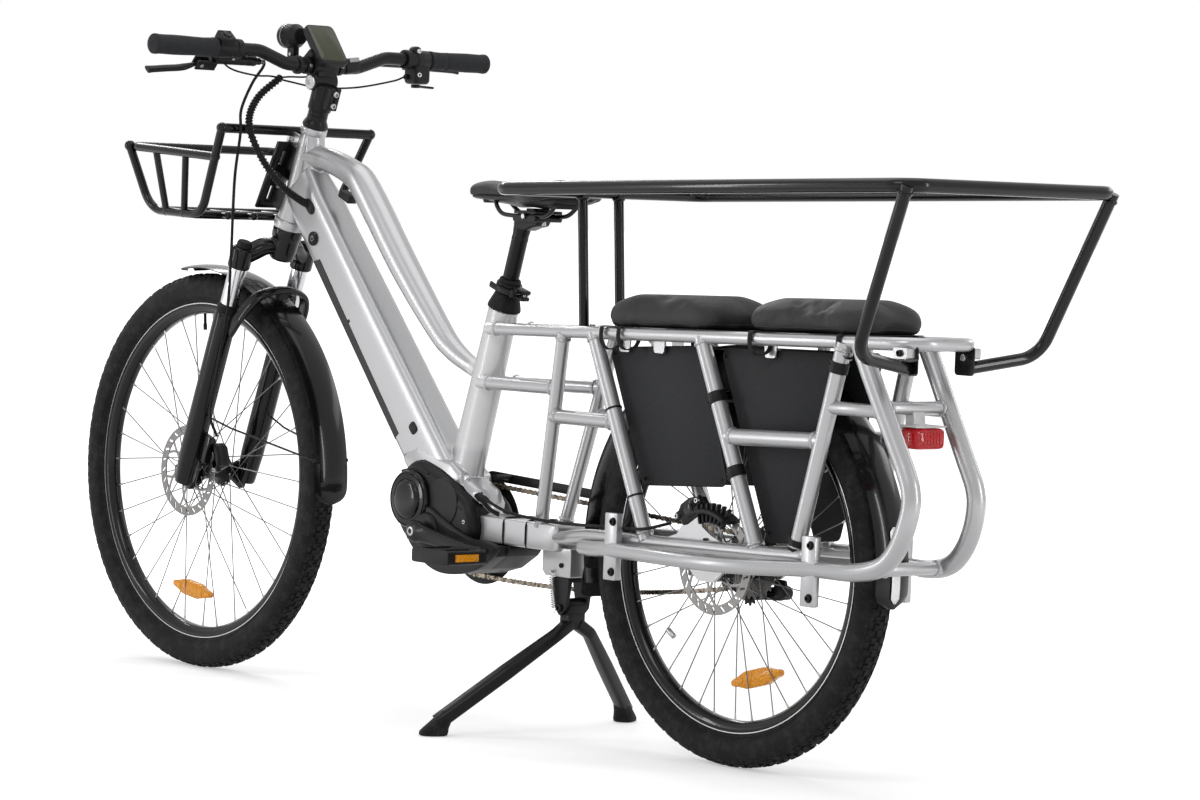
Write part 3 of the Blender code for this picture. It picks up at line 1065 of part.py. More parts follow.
# Basket
def build_basket():
    """Wire basket on the frame's nose and the plate that carries it."""
    back = (-0.562, 0.160, 0.953)
    low_back = (-0.640, 0.140, 0.803)
    low_front = (-0.794, 0.138, 0.808)
    top_front = (-0.829, 0.162, 0.918)
    pieces = []
    rim_path = [mirrored(back, -1), mirrored(top_front, -1), mirrored(top_front, 1), mirrored(back, 1)]
    rim_path = [rim_path[0].lerp(rim_path[3], 0.5), *rim_path, rim_path[0].lerp(rim_path[3], 0.5)]
    pieces.append(tube(rounded(rim_path, 0.03, 2)[:-1], 0.0085, 6, UP, True))
    for side in (-1, 1):
        loop = [mirrored(p, side) for p in (back, low_back, low_front, top_front)]
        pieces.append(tube(rounded(loop, 0.03, 2), 0.0076, 5, ACROSS))
        for share in (0.36, 0.70):
            a = mirrored(back, side).lerp(mirrored(low_back, side), share)
            b = mirrored(top_front, side).lerp(mirrored(low_front, side), share)
            pieces.append(tube([a, b], 0.0050, 5, UP))
    for share in (0.36, 0.70, 1.0):
        radius = 0.0070 if share == 1 else 0.0050
        for top, low in ((top_front, low_front), (back, low_back)):
            a = mirrored(top, -1).lerp(mirrored(low, -1), share)
            b = mirrored(top, 1).lerp(mirrored(low, 1), share)
            pieces.append(tube([a, b], radius, 5, UP))
    for y in (-0.084, -0.028, 0.028, 0.084):
        pieces.append(tube([(-0.640, y, 0.803), (-0.794, y, 0.808)], 0.0050, 5))
    pieces += [plate_body(), *basket_arms()]
    welded("basket", pieces, "black_gloss", [revolve([(0.0228, 0.02), (0.0228, -0.21)], HEAD_TOP, STEER_UP, 20)])


def plate_body():
    """The upright plate behind the basket."""
    centre = Vector((-0.5860, 0, 0.8770))
    lean = Matrix.Rotation(radians(27.5), 3, "Y")
    return block(centre, (0.006, 0.088, 0.128), lean)


def basket_arms():
    """Two arms that tie the basket plate to the head tube."""
    arms = []
    turn = Matrix((STEER_AHEAD, ACROSS, STEER_UP)).transposed()
    for s in (-0.035, -0.118):
        arms.append(block(steer_point(s, 0.029), (0.030, 0.030, 0.024), turn))
    return arms


# Cables
def build_cables():
    """Hoses and the cable bundle along their whole routes."""
    bundle = [(-0.5400, -0.055, 1.0440), (-0.5480, -0.098, 1.005), (-0.5440, -0.116, 0.960), (-0.5280, -0.098, 0.903),
              (-0.5080, -0.068, 0.858), (-0.4900, -0.0485, 0.8380), (-0.4770, -0.0325, 0.8265)]
    as_object("cable_bundle", tube(smooth(bundle, 2), 0.0055, 6, Vector((1, 0, 0))), "black_satin")
    front = [(-0.5165, -0.1185, 1.0700), (-0.5190, -0.1080, 1.0680), (-0.5300, -0.1020, 1.058),
             (-0.5400, -0.1160, 1.030), (-0.5465, -0.1320, 0.985), (-0.5465, -0.1320, 0.945),
             (-0.5770, -0.1180, 0.875), (-0.5960, -0.1060, 0.800), (-0.6050, -0.1000, 0.740),
             (-0.6160, -0.0960, 0.640), (-0.6430, -0.0925, 0.540), (-0.6700, -0.0860, 0.460),
             (-0.6780, -0.0640, 0.4180)]
    as_object("front_brake_hose", tube(smooth(front, 2), 0.0025, 4, Vector((1, 0, 0))), "black_satin")
    rear = [(0.0100, -0.0380, 0.3720), (0.0300, -0.0470, 0.3680), (0.0900, -0.0460, 0.3500),
            (0.1700, -0.0480, 0.3440), (0.2400, -0.0560, 0.3440), (0.3300, -0.0720, 0.3480),
            (0.3980, -0.0770, 0.3510), (0.4150, -0.0795, 0.3520), (0.4340, -0.0876, 0.3528),
            (0.4700, -0.0860, 0.3560), (0.5120, -0.0720, 0.3680)]
    as_object("rear_brake_hose", tube(smooth(rear, 2), 0.0025, 4, UP), "black_satin")


build_frame()
build_frame_covers()
build_rack()
build_fenders()
build_wheels()
build_drive()
build_brakes()
build_stand()
build_fork()
build_cockpit()
build_seat()
build_basket()
build_cables()
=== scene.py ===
"""Looks of the longtail electric bicycle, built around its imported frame. Metres, +Z up, facing -X."""

import random
from math import atan2, cos, pi, radians, sin, sqrt, tan

import bmesh
import bpy
from mathutils import Matrix, Vector
from mathutils.bvhtree import BVHTree
from mathutils.interpolate import poly_3d_calc


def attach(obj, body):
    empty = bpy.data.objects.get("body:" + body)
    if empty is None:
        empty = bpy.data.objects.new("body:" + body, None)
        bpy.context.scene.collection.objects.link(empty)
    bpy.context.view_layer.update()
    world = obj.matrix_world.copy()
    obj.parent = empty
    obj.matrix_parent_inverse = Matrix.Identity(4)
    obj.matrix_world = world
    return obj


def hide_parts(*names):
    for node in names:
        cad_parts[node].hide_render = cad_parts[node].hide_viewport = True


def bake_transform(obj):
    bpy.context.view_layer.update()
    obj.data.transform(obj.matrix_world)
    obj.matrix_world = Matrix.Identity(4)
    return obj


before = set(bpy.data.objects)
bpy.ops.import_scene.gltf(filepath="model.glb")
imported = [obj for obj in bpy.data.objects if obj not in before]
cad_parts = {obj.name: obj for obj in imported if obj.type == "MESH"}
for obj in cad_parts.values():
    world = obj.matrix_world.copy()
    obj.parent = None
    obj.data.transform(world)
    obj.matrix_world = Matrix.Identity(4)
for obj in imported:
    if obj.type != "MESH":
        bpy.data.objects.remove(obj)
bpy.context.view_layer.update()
random.seed(7)

UP = Vector((0, 0, 1))
ACROSS = Vector((0, 1, 0))
AHEAD = Vector((-1, 0, 0))
FRONT_AXLE = Vector((-0.791, 0, 0.349))
REAR_AXLE = Vector((0.594, 0, 0.314))
HEAD_TOP = Vector((-0.512, 0, 0.962))
STEER_UP = Vector((sin(radians(20)), 0, cos(radians(20))))
STEER_AHEAD = Vector((-cos(radians(20)), 0, sin(radians(20))))
SEAT_TOP = Vector((0.01, 0, 0.673))
SEAT_UP = Vector((sin(radians(16.5)), 0, cos(radians(16.5))))
SEAT_BACK = Vector((cos(radians(16.5)), 0, -sin(radians(16.5))))
TUBE_DOWN = Vector((0.6665, 0, -0.7455))
TUBE_OUT = Vector((0.7455, 0, 0.6665))
CRANK = Vector((-0.09, 0, 0.304))
CHAIN_Y = 0.0504
KICK_PIVOT = Vector((0.207, 0, 0.205))
BAR_MIDDLE = Vector((-0.498, 0, 1.0655))
GRIP_LINE = Vector((-0.4955, 0, 1.086))
LEVER_LINE = Vector((-0.4957, 0, 1.086))
BACK = Vector((1, 0, 0))
SIDES = ((-1, "left"), (1, "right"))


# Shader maths
class Value:
    """One socket of a finish. Arithmetic on it adds Math nodes."""

    def __init__(self, finish, socket):
        self.finish = finish
        self.socket = socket

    def maths(self, operation, *others):
        inputs = dict(enumerate((self, *others)))
        return self.finish.node("ShaderNodeMath", {"operation": operation}, inputs)

    def __add__(self, other):
        return self.maths("ADD", other)

    def __sub__(self, other):
        return self.maths("SUBTRACT", other)

    def __mul__(self, other):
        return self.maths("MULTIPLY", other)

    def __truediv__(self, other):
        return self.maths("DIVIDE", other)

    def __pow__(self, other):
        return self.maths("POWER", other)

    def __mod__(self, other):
        return self.maths("FLOORED_MODULO", other)

    def __lt__(self, other):
        return self.maths("LESS_THAN", other)

    def __gt__(self, other):
        return self.maths("GREATER_THAN", other)

    def __rsub__(self, other):
        return self * -1.0 + other

    __radd__ = __add__
    __rmul__ = __mul__

    def wave(self):
        return self.maths("SINE")

    def size(self):
        return self.maths("ABSOLUTE")

    def between(self, low, high):
        """0 below low and 1 above high."""
        return self.finish.node("ShaderNodeMapRange", {"interpolation_type": "SMOOTHSTEP"},
                {"Value": self, "From Min": low, "From Max": high})


class Finish:
    """The procedural material of one surface, worked out from the piece's own coordinates."""

    def __init__(self, name, colour, roughness, metallic=0.0, slot=None, **constants):
        self.material = bpy.data.materials.new(name)
        self.material.use_nodes = True
        self.tree = self.material.node_tree
        self.shader = self.tree.nodes["Principled BSDF"]
        self.colour = colour
        self.slot = slot
        self.set("Base Color", colour)
        self.set("Roughness", roughness)
        self.set("Metallic", metallic)
        for key, value in constants.items():
            self.set(key.replace("_", " ").title().replace("Ior", "IOR"), value)
        self.place = self.node("ShaderNodeTexCoord", output="Object")

    def feed(self, socket, value):
        if isinstance(value, Value):
            self.tree.links.new(value.socket, socket)
        elif isinstance(value, (tuple, list)) and len(value) == 3 and len(socket.default_value) == 4:
            socket.default_value = (*value, 1)
        else:
            socket.default_value = value

    def node(self, kind, settings=None, inputs=None, output=0):
        """A node with its settings made first and then its sockets fed."""
        made = self.tree.nodes.new(kind)
        for key, value in (settings or {}).items():
            if key == "stops":
                for place, shade in value[2:]:
                    made.color_ramp.elements.new(place)
                for element, (place, shade) in zip(made.color_ramp.elements, value):
                    element.position = place
                    element.color = (*shade, 1) if isinstance(shade, tuple) else (shade, shade, shade, 1)
            else:
                setattr(made, key, value)
        for key, value in (inputs or {}).items():
            self.feed(made.inputs[key], value)
        return Value(self, made.outputs[output])

    def set(self, socket, value):
        self.feed(self.shader.inputs[socket], value)
        return self

    def axis(self, name):
        return self.node("ShaderNodeSeparateXYZ", None, {0: self.place}, output=name)

    def noise(self, scale, detail=2.0, rough=0.5, where=None):
        return self.node("ShaderNodeTexNoise", None, {"Vector": where or self.place, "Scale": scale,
                "Detail": detail, "Roughness": rough})

    def cells(self, scale, where=None):
        return self.node("ShaderNodeTexVoronoi", None, {"Vector": where or self.place, "Scale": scale})

    def stretched(self, scale):
        return self.node("ShaderNodeMapping", None, {"Vector": self.place, "Scale": scale})

    def mix(self, factor, first, second):
        return self.node("ShaderNodeMix", {"data_type": "RGBA"}, {0: factor, 6: first, 7: second}, output=2)

    def relief(self, height, distance, strength=1.0):
        bump = self.node("ShaderNodeBump", None, {"Height": height, "Distance": distance,
                "Strength": strength})
        return self.set("Normal", bump)

    def shade(self, amount):
        return tuple(min(1.0, c * amount) for c in self.colour)


def silver_paint():
    """Metallic lacquer: fine flakes under a clear coat; the seat tube carries a painted highlight, paler and
    less metallic, for the light that falls on it.
    """
    paint = Finish("silver_paint", (0.415, 0.416, 0.424), 0.34, 0.55, slot="silver_paint", coat_weight=0.3,
            coat_roughness=0.1)
    flakes = paint.noise(2400, 1.0)
    cloud = paint.noise(11, 2.0)
    height = paint.axis("Z")
    back = paint.axis("X")
    from_post = (back - (height - SEAT_TOP.z) * tan(radians(16.5)) - SEAT_TOP.x).size()
    # Painted highlight: the seat tube above the junction is painted paler for the light that falls on it.
    seat_tube_highlight = (1 - from_post.between(0.036, 0.048)) * height.between(0.432, 0.452)
    body = paint.mix(flakes, paint.shade(0.92), paint.shade(1.08))
    body = paint.mix(seat_tube_highlight * 0.85, body, (0.7, 0.7, 0.71))
    paint.set("Base Color", paint.mix(cloud * 0.12, body, paint.shade(0.8)))
    paint.set("Roughness", flakes * 0.06 + cloud * 0.06 + 0.26)
    # The painted highlight also makes the seat tube less metallic.
    paint.set("Metallic", 0.58 - seat_tube_highlight * 0.45)
    return paint.relief(paint.noise(260, 2.0), 0.000012)


def powder_coat(name, colour, roughness, peel, slot, gloss):
    """Black coat on tubes, with the slight peel of baked powder."""
    coat = Finish(name, colour, roughness, slot=slot, coat_weight=gloss, coat_roughness=0.06,
            specular_ior_level=0.13)
    cloud = coat.noise(26, 3.0)
    grain = coat.noise(peel, 2.0)
    coat.set("Base Color", coat.mix(cloud, coat.shade(0.75), coat.shade(1.7)))
    coat.set("Roughness", cloud * 0.12 + grain * 0.08 + (roughness - 0.09))
    return coat.relief(grain, 0.00003)


def moulded(name, colour, roughness, grain, slot=None, depth=0.0001, metallic=0.0):
    """Moulded or cast surface with a fine even grain and handling marks."""
    skin_of = Finish(name, colour, roughness, metallic, slot=slot, specular_ior_level=0.17)
    fine = skin_of.cells(grain)
    cloud = skin_of.noise(34, 4.0, 0.6)
    scuff = skin_of.noise(3.0, 3.0, 0.7, skin_of.stretched((30, 90, 30))).between(0.56, 0.74)
    colour_of = skin_of.mix(cloud, skin_of.shade(0.72), skin_of.shade(1.35))
    skin_of.set("Base Color", skin_of.mix(scuff * 0.22, colour_of, tuple(c + 0.02 for c in colour)))
    skin_of.set("Roughness", cloud * 0.14 + scuff * 0.08 + (roughness - 0.08))
    return skin_of.relief(fine + cloud * 0.4, depth)


def tyre_rubber():
    """Tyre rubber: dusty between the knobs, slightly shiny on their tops."""
    rubber = Finish("tyre_rubber", (0.02, 0.02, 0.021), 0.72, slot="rubber", specular_ior_level=0.16)
    dust = rubber.noise(60, 5.0, 0.65)
    grain = rubber.noise(900, 2.0)
    rubber.set("Base Color", rubber.mix(dust.between(0.42, 0.72), (0.008, 0.008, 0.009),
            (0.028, 0.028, 0.029)))
    rubber.set("Roughness", dust * 0.22 + 0.6)
    return rubber.relief(grain + dust * 0.6, 0.00022)


def brushed(name, colour, roughness, streaks, slot="steel"):
    """Bare metal with fine machining marks along one direction."""
    metal = Finish(name, colour, roughness, 1.0, slot=slot)
    lines = metal.noise(1.0, 3.0, 0.6, metal.stretched(streaks))
    cloud = metal.noise(40, 2.0)
    metal.set("Base Color", metal.mix(lines, metal.shade(0.72), metal.shade(1.18)))
    metal.set("Roughness", lines * 0.22 + cloud * 0.08 + (roughness - 0.12))
    return metal.relief(lines, 0.00005)


def oiled_chain():
    """Steel links, brown-grey with oil that has caught dust."""
    steel = Finish("oiled_chain", (0.1, 0.082, 0.062), 0.4, 0.85, slot="chain_steel")
    grime = steel.noise(180, 4.0, 0.6)
    steel.set("Base Color", steel.mix(grime.between(0.4, 0.66), (0.34, 0.29, 0.23), (0.045, 0.036, 0.028)))
    steel.set("Roughness", grime * 0.3 + 0.26)
    steel.set("Metallic", 1 - grime * 0.5)
    return steel.relief(grime, 0.0001)


def pad_vinyl():
    """Soft vinyl with a fine leather grain and a dull sheen."""
    vinyl = Finish("pad_vinyl", (0.026, 0.026, 0.028), 0.56, slot="pad_cover", specular_ior_level=0.3)
    pores = vinyl.cells(620)
    creases = vinyl.noise(55, 4.0, 0.6)
    vinyl.set("Base Color", vinyl.mix(creases, (0.01, 0.01, 0.011), (0.02, 0.02, 0.022)))
    vinyl.set("Roughness", creases * 0.16 + pores * 0.1 + 0.42)
    return vinyl.relief(pores * 0.7 + creases, 0.00022)


def panel_board():
    """Dark grey plastic board with a haircell texture."""
    board = Finish("panel_board", (0.022, 0.0225, 0.024), 0.62, slot="panel", specular_ior_level=0.2)
    hair = board.cells(420)
    cloud = board.noise(14, 5.0, 0.6)
    board.set("Base Color", board.mix(cloud, (0.017, 0.0175, 0.019), (0.027, 0.0275, 0.03)))
    board.set("Roughness", hair * 0.16 + cloud * 0.1 + 0.5)
    return board.relief(hair, 0.00016)


def grip_rubber():
    """Grip rubber with rows of small raised diamonds round the bar."""
    rubber = Finish("grip_rubber", (0.046, 0.047, 0.05), 0.78, slot="grip_rubber", specular_ior_level=0.16)
    x, y, z = (rubber.axis(n) for n in "XYZ")
    round_bar = (z - 1.086).maths("ARCTAN2", x + 0.4945)
    weave = (y * 900 + round_bar * 11).wave() * (y * 900 - round_bar * 11).wave()
    dust = rubber.noise(130, 4.0, 0.6)
    rubber.set("Base Color", rubber.mix(dust, (0.018, 0.0185, 0.02), (0.036, 0.037, 0.04)))
    rubber.set("Roughness", dust * 0.2 + 0.66)
    return rubber.relief(weave.between(0.0, 0.5) + dust * 0.3, 0.0004)


def reflector(name, colour, glow):
    """Reflector plastic: clear skin over rows of small prisms, with a painted glow from its emission."""
    lens = Finish(name, colour, 0.14, slot="red_lens" if name == "red_lens" else None, coat_weight=0.4,
            coat_roughness=0.05, specular_ior_level=0.12, emission_strength=glow)
    prisms = lens.cells(330)
    lens.set("Base Color", lens.mix(prisms.between(0.1, 0.6), lens.shade(1.0), lens.shade(0.62)))
    # Painted glow: the emission makes the lens look lit, brighter on some prisms than others.
    lens.set("Emission Color", lens.mix(prisms, lens.shade(0.9), lens.shade(0.4)))
    lens.set("Roughness", prisms * 0.2 + 0.1)
    return lens.relief(prisms, 0.0004)


def smooth_plain(name, colour, roughness, metallic=0.0, slot=None, **constants):
    """A plain moulded or plated surface with only faint clouding."""
    plain = Finish(name, colour, roughness, metallic, slot=slot, **constants)
    cloud = plain.noise(48, 3.0)
    plain.set("Base Color", plain.mix(cloud, plain.shade(0.86), plain.shade(1.12)))
    plain.set("Roughness", cloud * 0.1 + max(0.0, roughness - 0.05))
    return plain.relief(cloud, 0.00004)


SILVER = silver_paint()
GLOSS = powder_coat("black_gloss", (0.004, 0.004, 0.0045), 0.2, 420, "black_gloss", 0.24)
SATIN = powder_coat("black_satin", (0.007, 0.007, 0.0078), 0.36, 700, "black_satin", 0.08)
CAST = moulded("cast_black", (0.0085, 0.0085, 0.0095), 0.38, 900, "black_satin")
PLASTIC = moulded("black_plastic", (0.008, 0.008, 0.0088), 0.44, 1100, "black_plastic")
GREY = moulded("grey_cover", (0.02, 0.0205, 0.022), 0.44, 1000, "grey_cover", metallic=0.25)
STRIP = moulded("battery_cover", (0.036, 0.037, 0.036), 0.5, 1100, "grey_cover")
RUBBER = tyre_rubber()
STEEL = brushed("brushed_steel", (0.4, 0.395, 0.385), 0.3, (180, 1500, 180))
DISC = brushed("disc_steel", (0.2, 0.195, 0.19), 0.36, (180, 1500, 180))
COG = brushed("sprocket_steel", (0.075, 0.073, 0.07), 0.38, (180, 1500, 180))
SPOKE = brushed("spoke_steel", (0.16, 0.16, 0.165), 0.34, (400, 400, 400))
CHROME = brushed("polished_tube", (0.66, 0.66, 0.68), 0.16, (900, 900, 40))
ALLOY = brushed("bare_alloy", (0.52, 0.52, 0.53), 0.34, (500, 90, 500))
CHAIN = oiled_chain()
VINYL = pad_vinyl()
BOARD = panel_board()
GRIP = grip_rubber()
# Both lenses carry a painted glow through their emission strength.
AMBER = reflector("amber_lens", (0.92, 0.35, 0.01), 0.24)
RED = reflector("red_lens", (0.6, 0.003, 0.008), 0.14)
WHITE = smooth_plain("white_housing", (0.6, 0.6, 0.6), 0.38)
SCREEN = smooth_plain("display_glass", (0.04, 0.044, 0.02), 0.12, coat_weight=0.3, coat_roughness=0.04,
        specular_ior_level=0.2)
LIGHT_GREY = smooth_plain("light_grey_plastic", (0.3, 0.31, 0.32), 0.42, 0.2)
CLEAR = smooth_plain("lamp_glass", (0.5, 0.51, 0.52), 0.07, 0.5, coat_weight=1.0, coat_roughness=0.02)


# Mesh tools
def skin(rings, closed=False):
    """A body through rings of equal length, capped at both ends unless closed."""
    build = bmesh.new()
    rows = [[build.verts.new(point) for point in ring] for ring in rings]
    pairs = list(zip(rows, rows[1:])) + ([(rows[-1], rows[0])] if closed else [])
    for first, second in pairs:
        for i in range(len(first)):
            j = (i + 1) % len(first)
            build.faces.new((first[i], first[j], second[j], second[i]))
    if not closed:
        build.faces.new(rows[0])
        build.faces.new(rows[-1])
    return build


def oval(half_a, half_b, sides, power=2.0):
    """Points of a superellipse, a round or a squarish ring."""
    points = []
    for i in range(sides):
        angle = 2 * pi * (i + 0.5) / sides
        c, s = cos(angle), sin(angle)
        reach = (abs(c) ** power + abs(s) ** power) ** (-1 / power)
        points.append((half_a * c * reach, half_b * s * reach))
    return points


def frames(points, reference, closed=False):
    """The middle and two cross directions at each point of a path."""
    result = []
    last = len(points) - 1
    if abs((points[1] - points[0]).normalized().dot(reference)) > 0.95:
        reference = UP if abs(reference.z) < 0.5 else BACK
    for i, point in enumerate(points):
        before = points[i - 1] if i or closed else points[0]
        after = points[(i + 1) % len(points)] if i < last or closed else points[last]
        along = (after - before).normalized()
        side = (reference - along * reference.dot(along)).normalized()
        result.append((point, side, along.cross(side)))
    return result


def sweep(points, section, reference=ACROSS, closed=False):
    """A body along points. A section is an outline, or gives one at a share of the way."""
    points = [Vector(p) for p in points]
    rings = []
    for i, (centre, side, over) in enumerate(frames(points, reference, closed)):
        outline = section(i / (len(points) - 1)) if callable(section) else section
        rings.append([centre + side * a + over * b for a, b in outline])
    return skin(rings, closed)


def tube(points, radius, sides=20, reference=ACROSS, closed=False):
    """A round bar with a radius, or a pair of end radii."""
    start, end = radius if isinstance(radius, tuple) else (radius, radius)
    return sweep(points, lambda share: oval(*[start + (end - start) * share] * 2, sides), reference, closed)


def rounded(points, radius, steps=6):
    """The corners of a path turned into arcs."""
    points = [Vector(p) for p in points]
    path = [points[0]]
    for before, corner, after in zip(points, points[1:], points[2:]):
        inward = (before - corner).normalized()
        outward = (after - corner).normalized()
        half = inward.angle(outward) / 2
        reach = min(radius / tan(half), (before - corner).length * 0.48, (after - corner).length * 0.48)
        turn = reach * tan(half)
        centre = corner + (inward + outward).normalized() * (turn / sin(half))
        start = corner + inward * reach - centre
        end = corner + outward * reach - centre
        count = max(2, round(steps * (pi - 2 * half) / (pi / 2)))
        for k in range(count + 1):
            path.append(centre + start.slerp(end, k / count) * turn)
    path.append(points[-1])
    return path


def smooth(points, steps=8):
    """A smooth curve through points."""
    points = [Vector(p) for p in points]
    padded = [points[0] * 2 - points[1], *points, points[-1] * 2 - points[-2]]
    path = []
    for a, b, c, d in zip(padded, padded[1:], padded[2:], padded[3:]):
        for k in range(steps):
            t = k / steps
            path.append(0.5 * (2 * b + (c - a) * t + (2 * a - 5 * b + 4 * c - d) * t * t
                    + (3 * b - a - 3 * c + d) * t ** 3))
    path.append(points[-1])
    return path


def across_axis(axis):
    """A direction at right angles to an axis."""
    axis = axis.normalized()
    start = UP if abs(axis.z) < 0.9 else BACK
    first = (start - axis * axis.dot(start)).normalized()
    return first, axis.cross(first)


def turned(profile, origin, axis=ACROSS, steps=48, closed=False):
    """A turned body from pairs of radius and place along the axis."""
    first, second = across_axis(axis)
    axis = axis.normalized()
    build = bmesh.new()
    columns = []
    for k in range(steps):
        angle = 2 * pi * k / steps
        ray = first * cos(angle) + second * sin(angle)
        columns.append([build.verts.new(Vector(origin) + ray * r + axis * s) for r, s in profile])
    spans = len(profile) - (0 if closed else 1)
    for k in range(steps):
        here, there = columns[k], columns[(k + 1) % steps]
        for i in range(spans):
            j = (i + 1) % len(profile)
            build.faces.new((here[i], here[j], there[j], there[i]))
    if not closed:
        build.faces.new([column[0] for column in columns])
        build.faces.new([column[-1] for column in columns])
    return build


def prism(outline, low, high, direction=ACROSS, place=None):
    """An outline of x, z pairs carried across from low to high."""
    place = place or (lambda x, z: Vector((x, 0, z)))
    return skin([[place(x, z) + direction * reach for x, z in outline] for reach in (low, high)])


def layered(outline, middle, layers):
    """An outline drawn in towards its middle by a distance at each y: a soft-edged casting."""
    rings = []
    for y, inset in layers:
        ring = []
        for x, z in outline:
            away = Vector((x - middle[0], z - middle[1]))
            away *= max(0.05, 1 - inset / away.length)
            ring.append(Vector((middle[0] + away.x, y, middle[1] + away.y)))
        rings.append(ring)
    return skin(rings)


def block(centre, size, turn=None):
    """A box by its middle and size."""
    build = bmesh.new()
    bmesh.ops.create_cube(build, size=1)
    matrix = Matrix.Translation(centre) @ (turn or Matrix()).to_4x4() @ Matrix.Diagonal((*size, 1))
    bmesh.ops.transform(build, matrix=matrix, verts=build.verts)
    return build


def corner_arcs(outline, radius, steps=5):
    """A closed outline of x, z pairs with rounded corners."""
    points = [Vector((x, 0, z)) for x, z in outline]
    middle = (points[0] + points[-1]) / 2
    return [(p.x, p.z) for p in rounded([middle, *points, middle], radius, steps)[:-1]]


def circle(x, z, radius, steps=32, start=0.0, end=2 * pi):
    """Points of an arc or a whole circle in x and z."""
    whole = abs(end - start - 2 * pi) < 0.001
    count = steps if whole else steps + 1
    return [(x + radius * cos(start + (end - start) * k / steps),
            z + radius * sin(start + (end - start) * k / steps)) for k in range(count)]


def capsule(first, second, radius, low, high, steps=12):
    """A plate with round ends between two x, z points."""
    turn = atan2(second[1] - first[1], second[0] - first[0])
    outline = circle(*first, radius, steps, turn + pi / 2, turn + 3 * pi / 2)
    return prism(outline + circle(*second, radius, steps, turn - pi / 2, turn + pi / 2), low, high)


def bolt(at, axis, radius=0.0042, height=0.004):
    """A socket bolt head standing on a face."""
    profile = [(radius, -0.002), (radius, height * 0.8), (radius * 0.86, height), (radius * 0.55, height),
            (radius * 0.5, height * 0.35)]
    return turned(profile, at, Vector(axis), 18)


def band(at, along, radius, width, thick=0.0012, sides=24):
    """A band round a tube."""
    profile = [(radius - 0.001, -width / 2), (radius + thick, -width / 2), (radius + thick * 1.15, 0),
            (radius + thick, width / 2), (radius - 0.001, width / 2)]
    return turned(profile, Vector(at), Vector(along), sides, True)


def weld(at, along, radius, sides=24):
    """A bead of weld round the foot of a tube."""
    profile = [(radius - 0.001, -0.0032), (radius + 0.0012, -0.0026), (radius + 0.0024, 0),
            (radius + 0.0012, 0.0026), (radius - 0.001, 0.0032)]
    bead = turned(profile, Vector(at), Vector(along), sides * 2, True)
    for vert in bead.verts:
        away = vert.co - Vector(at)
        vert.co += away.normalized() * (0.0003 * sin(atan2(away.z, away.x + away.y) * 26))
    return bead


def ball(centre, radius, scale=(1, 1, 1)):
    """A ball, or an ellipsoid with a scale."""
    build = bmesh.new()
    bmesh.ops.create_uvsphere(build, u_segments=20, v_segments=12, radius=1)
    matrix = Matrix.Translation(centre) @ Matrix.Diagonal((*[radius * s for s in scale], 1))
    bmesh.ops.transform(build, matrix=matrix, verts=build.verts)
    return build


def rectangle(left, low, right, high, *rounding):
    """The outline of a rectangle with round corners."""
    return corner_arcs([(left, low), (right, low), (right, high), (left, high)], *rounding)


def placed(name, data):
    """A new object of the scene."""
    made = bpy.data.objects.new(name, data)
    bpy.context.scene.collection.objects.link(made)
    return made


def dress(made, finish):
    """Gives a piece one finish."""
    made.data.materials.clear()
    made.data.materials.append(finish.material)


def melt(made, voxel):
    """Makes one even skin of a piece."""
    remesh = made.modifiers.new("Remesh", "REMESH")
    remesh.mode = "VOXEL"
    remesh.voxel_size = voxel


def relax(made, factor, rounds):
    """Evens out a skin and turns the modifiers into mesh."""
    smoothing = made.modifiers.new("Smooth", "SMOOTH")
    smoothing.factor = factor
    smoothing.iterations = rounds
    settle(made)


def piece(name, builds, finish, body, replaces=(), sharp=38, bevel=0.0, segments=2, cuts=()):
    """One visible piece from its bodies: shaded, given its finish, and riding on a CAD body."""
    builds = builds if isinstance(builds, list) else [builds]
    mesh = bpy.data.meshes.new(name)
    whole = bmesh.new()
    for build in builds:
        bmesh.ops.remove_doubles(build, verts=build.verts, dist=0.00001)
        bmesh.ops.recalc_face_normals(build, faces=build.faces)
        part = bpy.data.meshes.new("part")
        build.to_mesh(part)
        build.free()
        whole.from_mesh(part)
        bpy.data.meshes.remove(part)
    whole.to_mesh(mesh)
    whole.free()
    made = placed(name, mesh)
    if cuts:
        carve(made, cuts)
    if bevel:
        edge = made.modifiers.new("Bevel", "BEVEL")
        edge.width = bevel
        edge.segments = segments
        edge.limit_method = "ANGLE"
        edge.angle_limit = radians(32)
        edge.use_clamp_overlap = True
        settle(made)
    made.data.shade_smooth()
    made.data.set_sharp_from_angle(angle=radians(sharp))
    dress(made, finish)
    if body:
        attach(made, body)
    if replaces:
        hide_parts(*([replaces] if isinstance(replaces, str) else replaces))
    return made


def settle(made):
    """Turns modifiers into mesh."""
    graph = bpy.context.evaluated_depsgraph_get()
    mesh = bpy.data.meshes.new_from_object(made.evaluated_get(graph))
    made.modifiers.clear()
    made.data = mesh


def carve(made, cuts, operation="DIFFERENCE"):
    """Takes bodies away from a piece."""
    for build in cuts:
        bmesh.ops.recalc_face_normals(build, faces=build.faces)
        mesh = bpy.data.meshes.new("cut")
        build.to_mesh(mesh)
        build.free()
        tool = placed("cut", mesh)
        change = made.modifiers.new("Cut", "BOOLEAN")
        change.operation = operation
        change.solver = "EXACT"
        change.object = tool
        settle(made)
        bpy.data.objects.remove(tool)


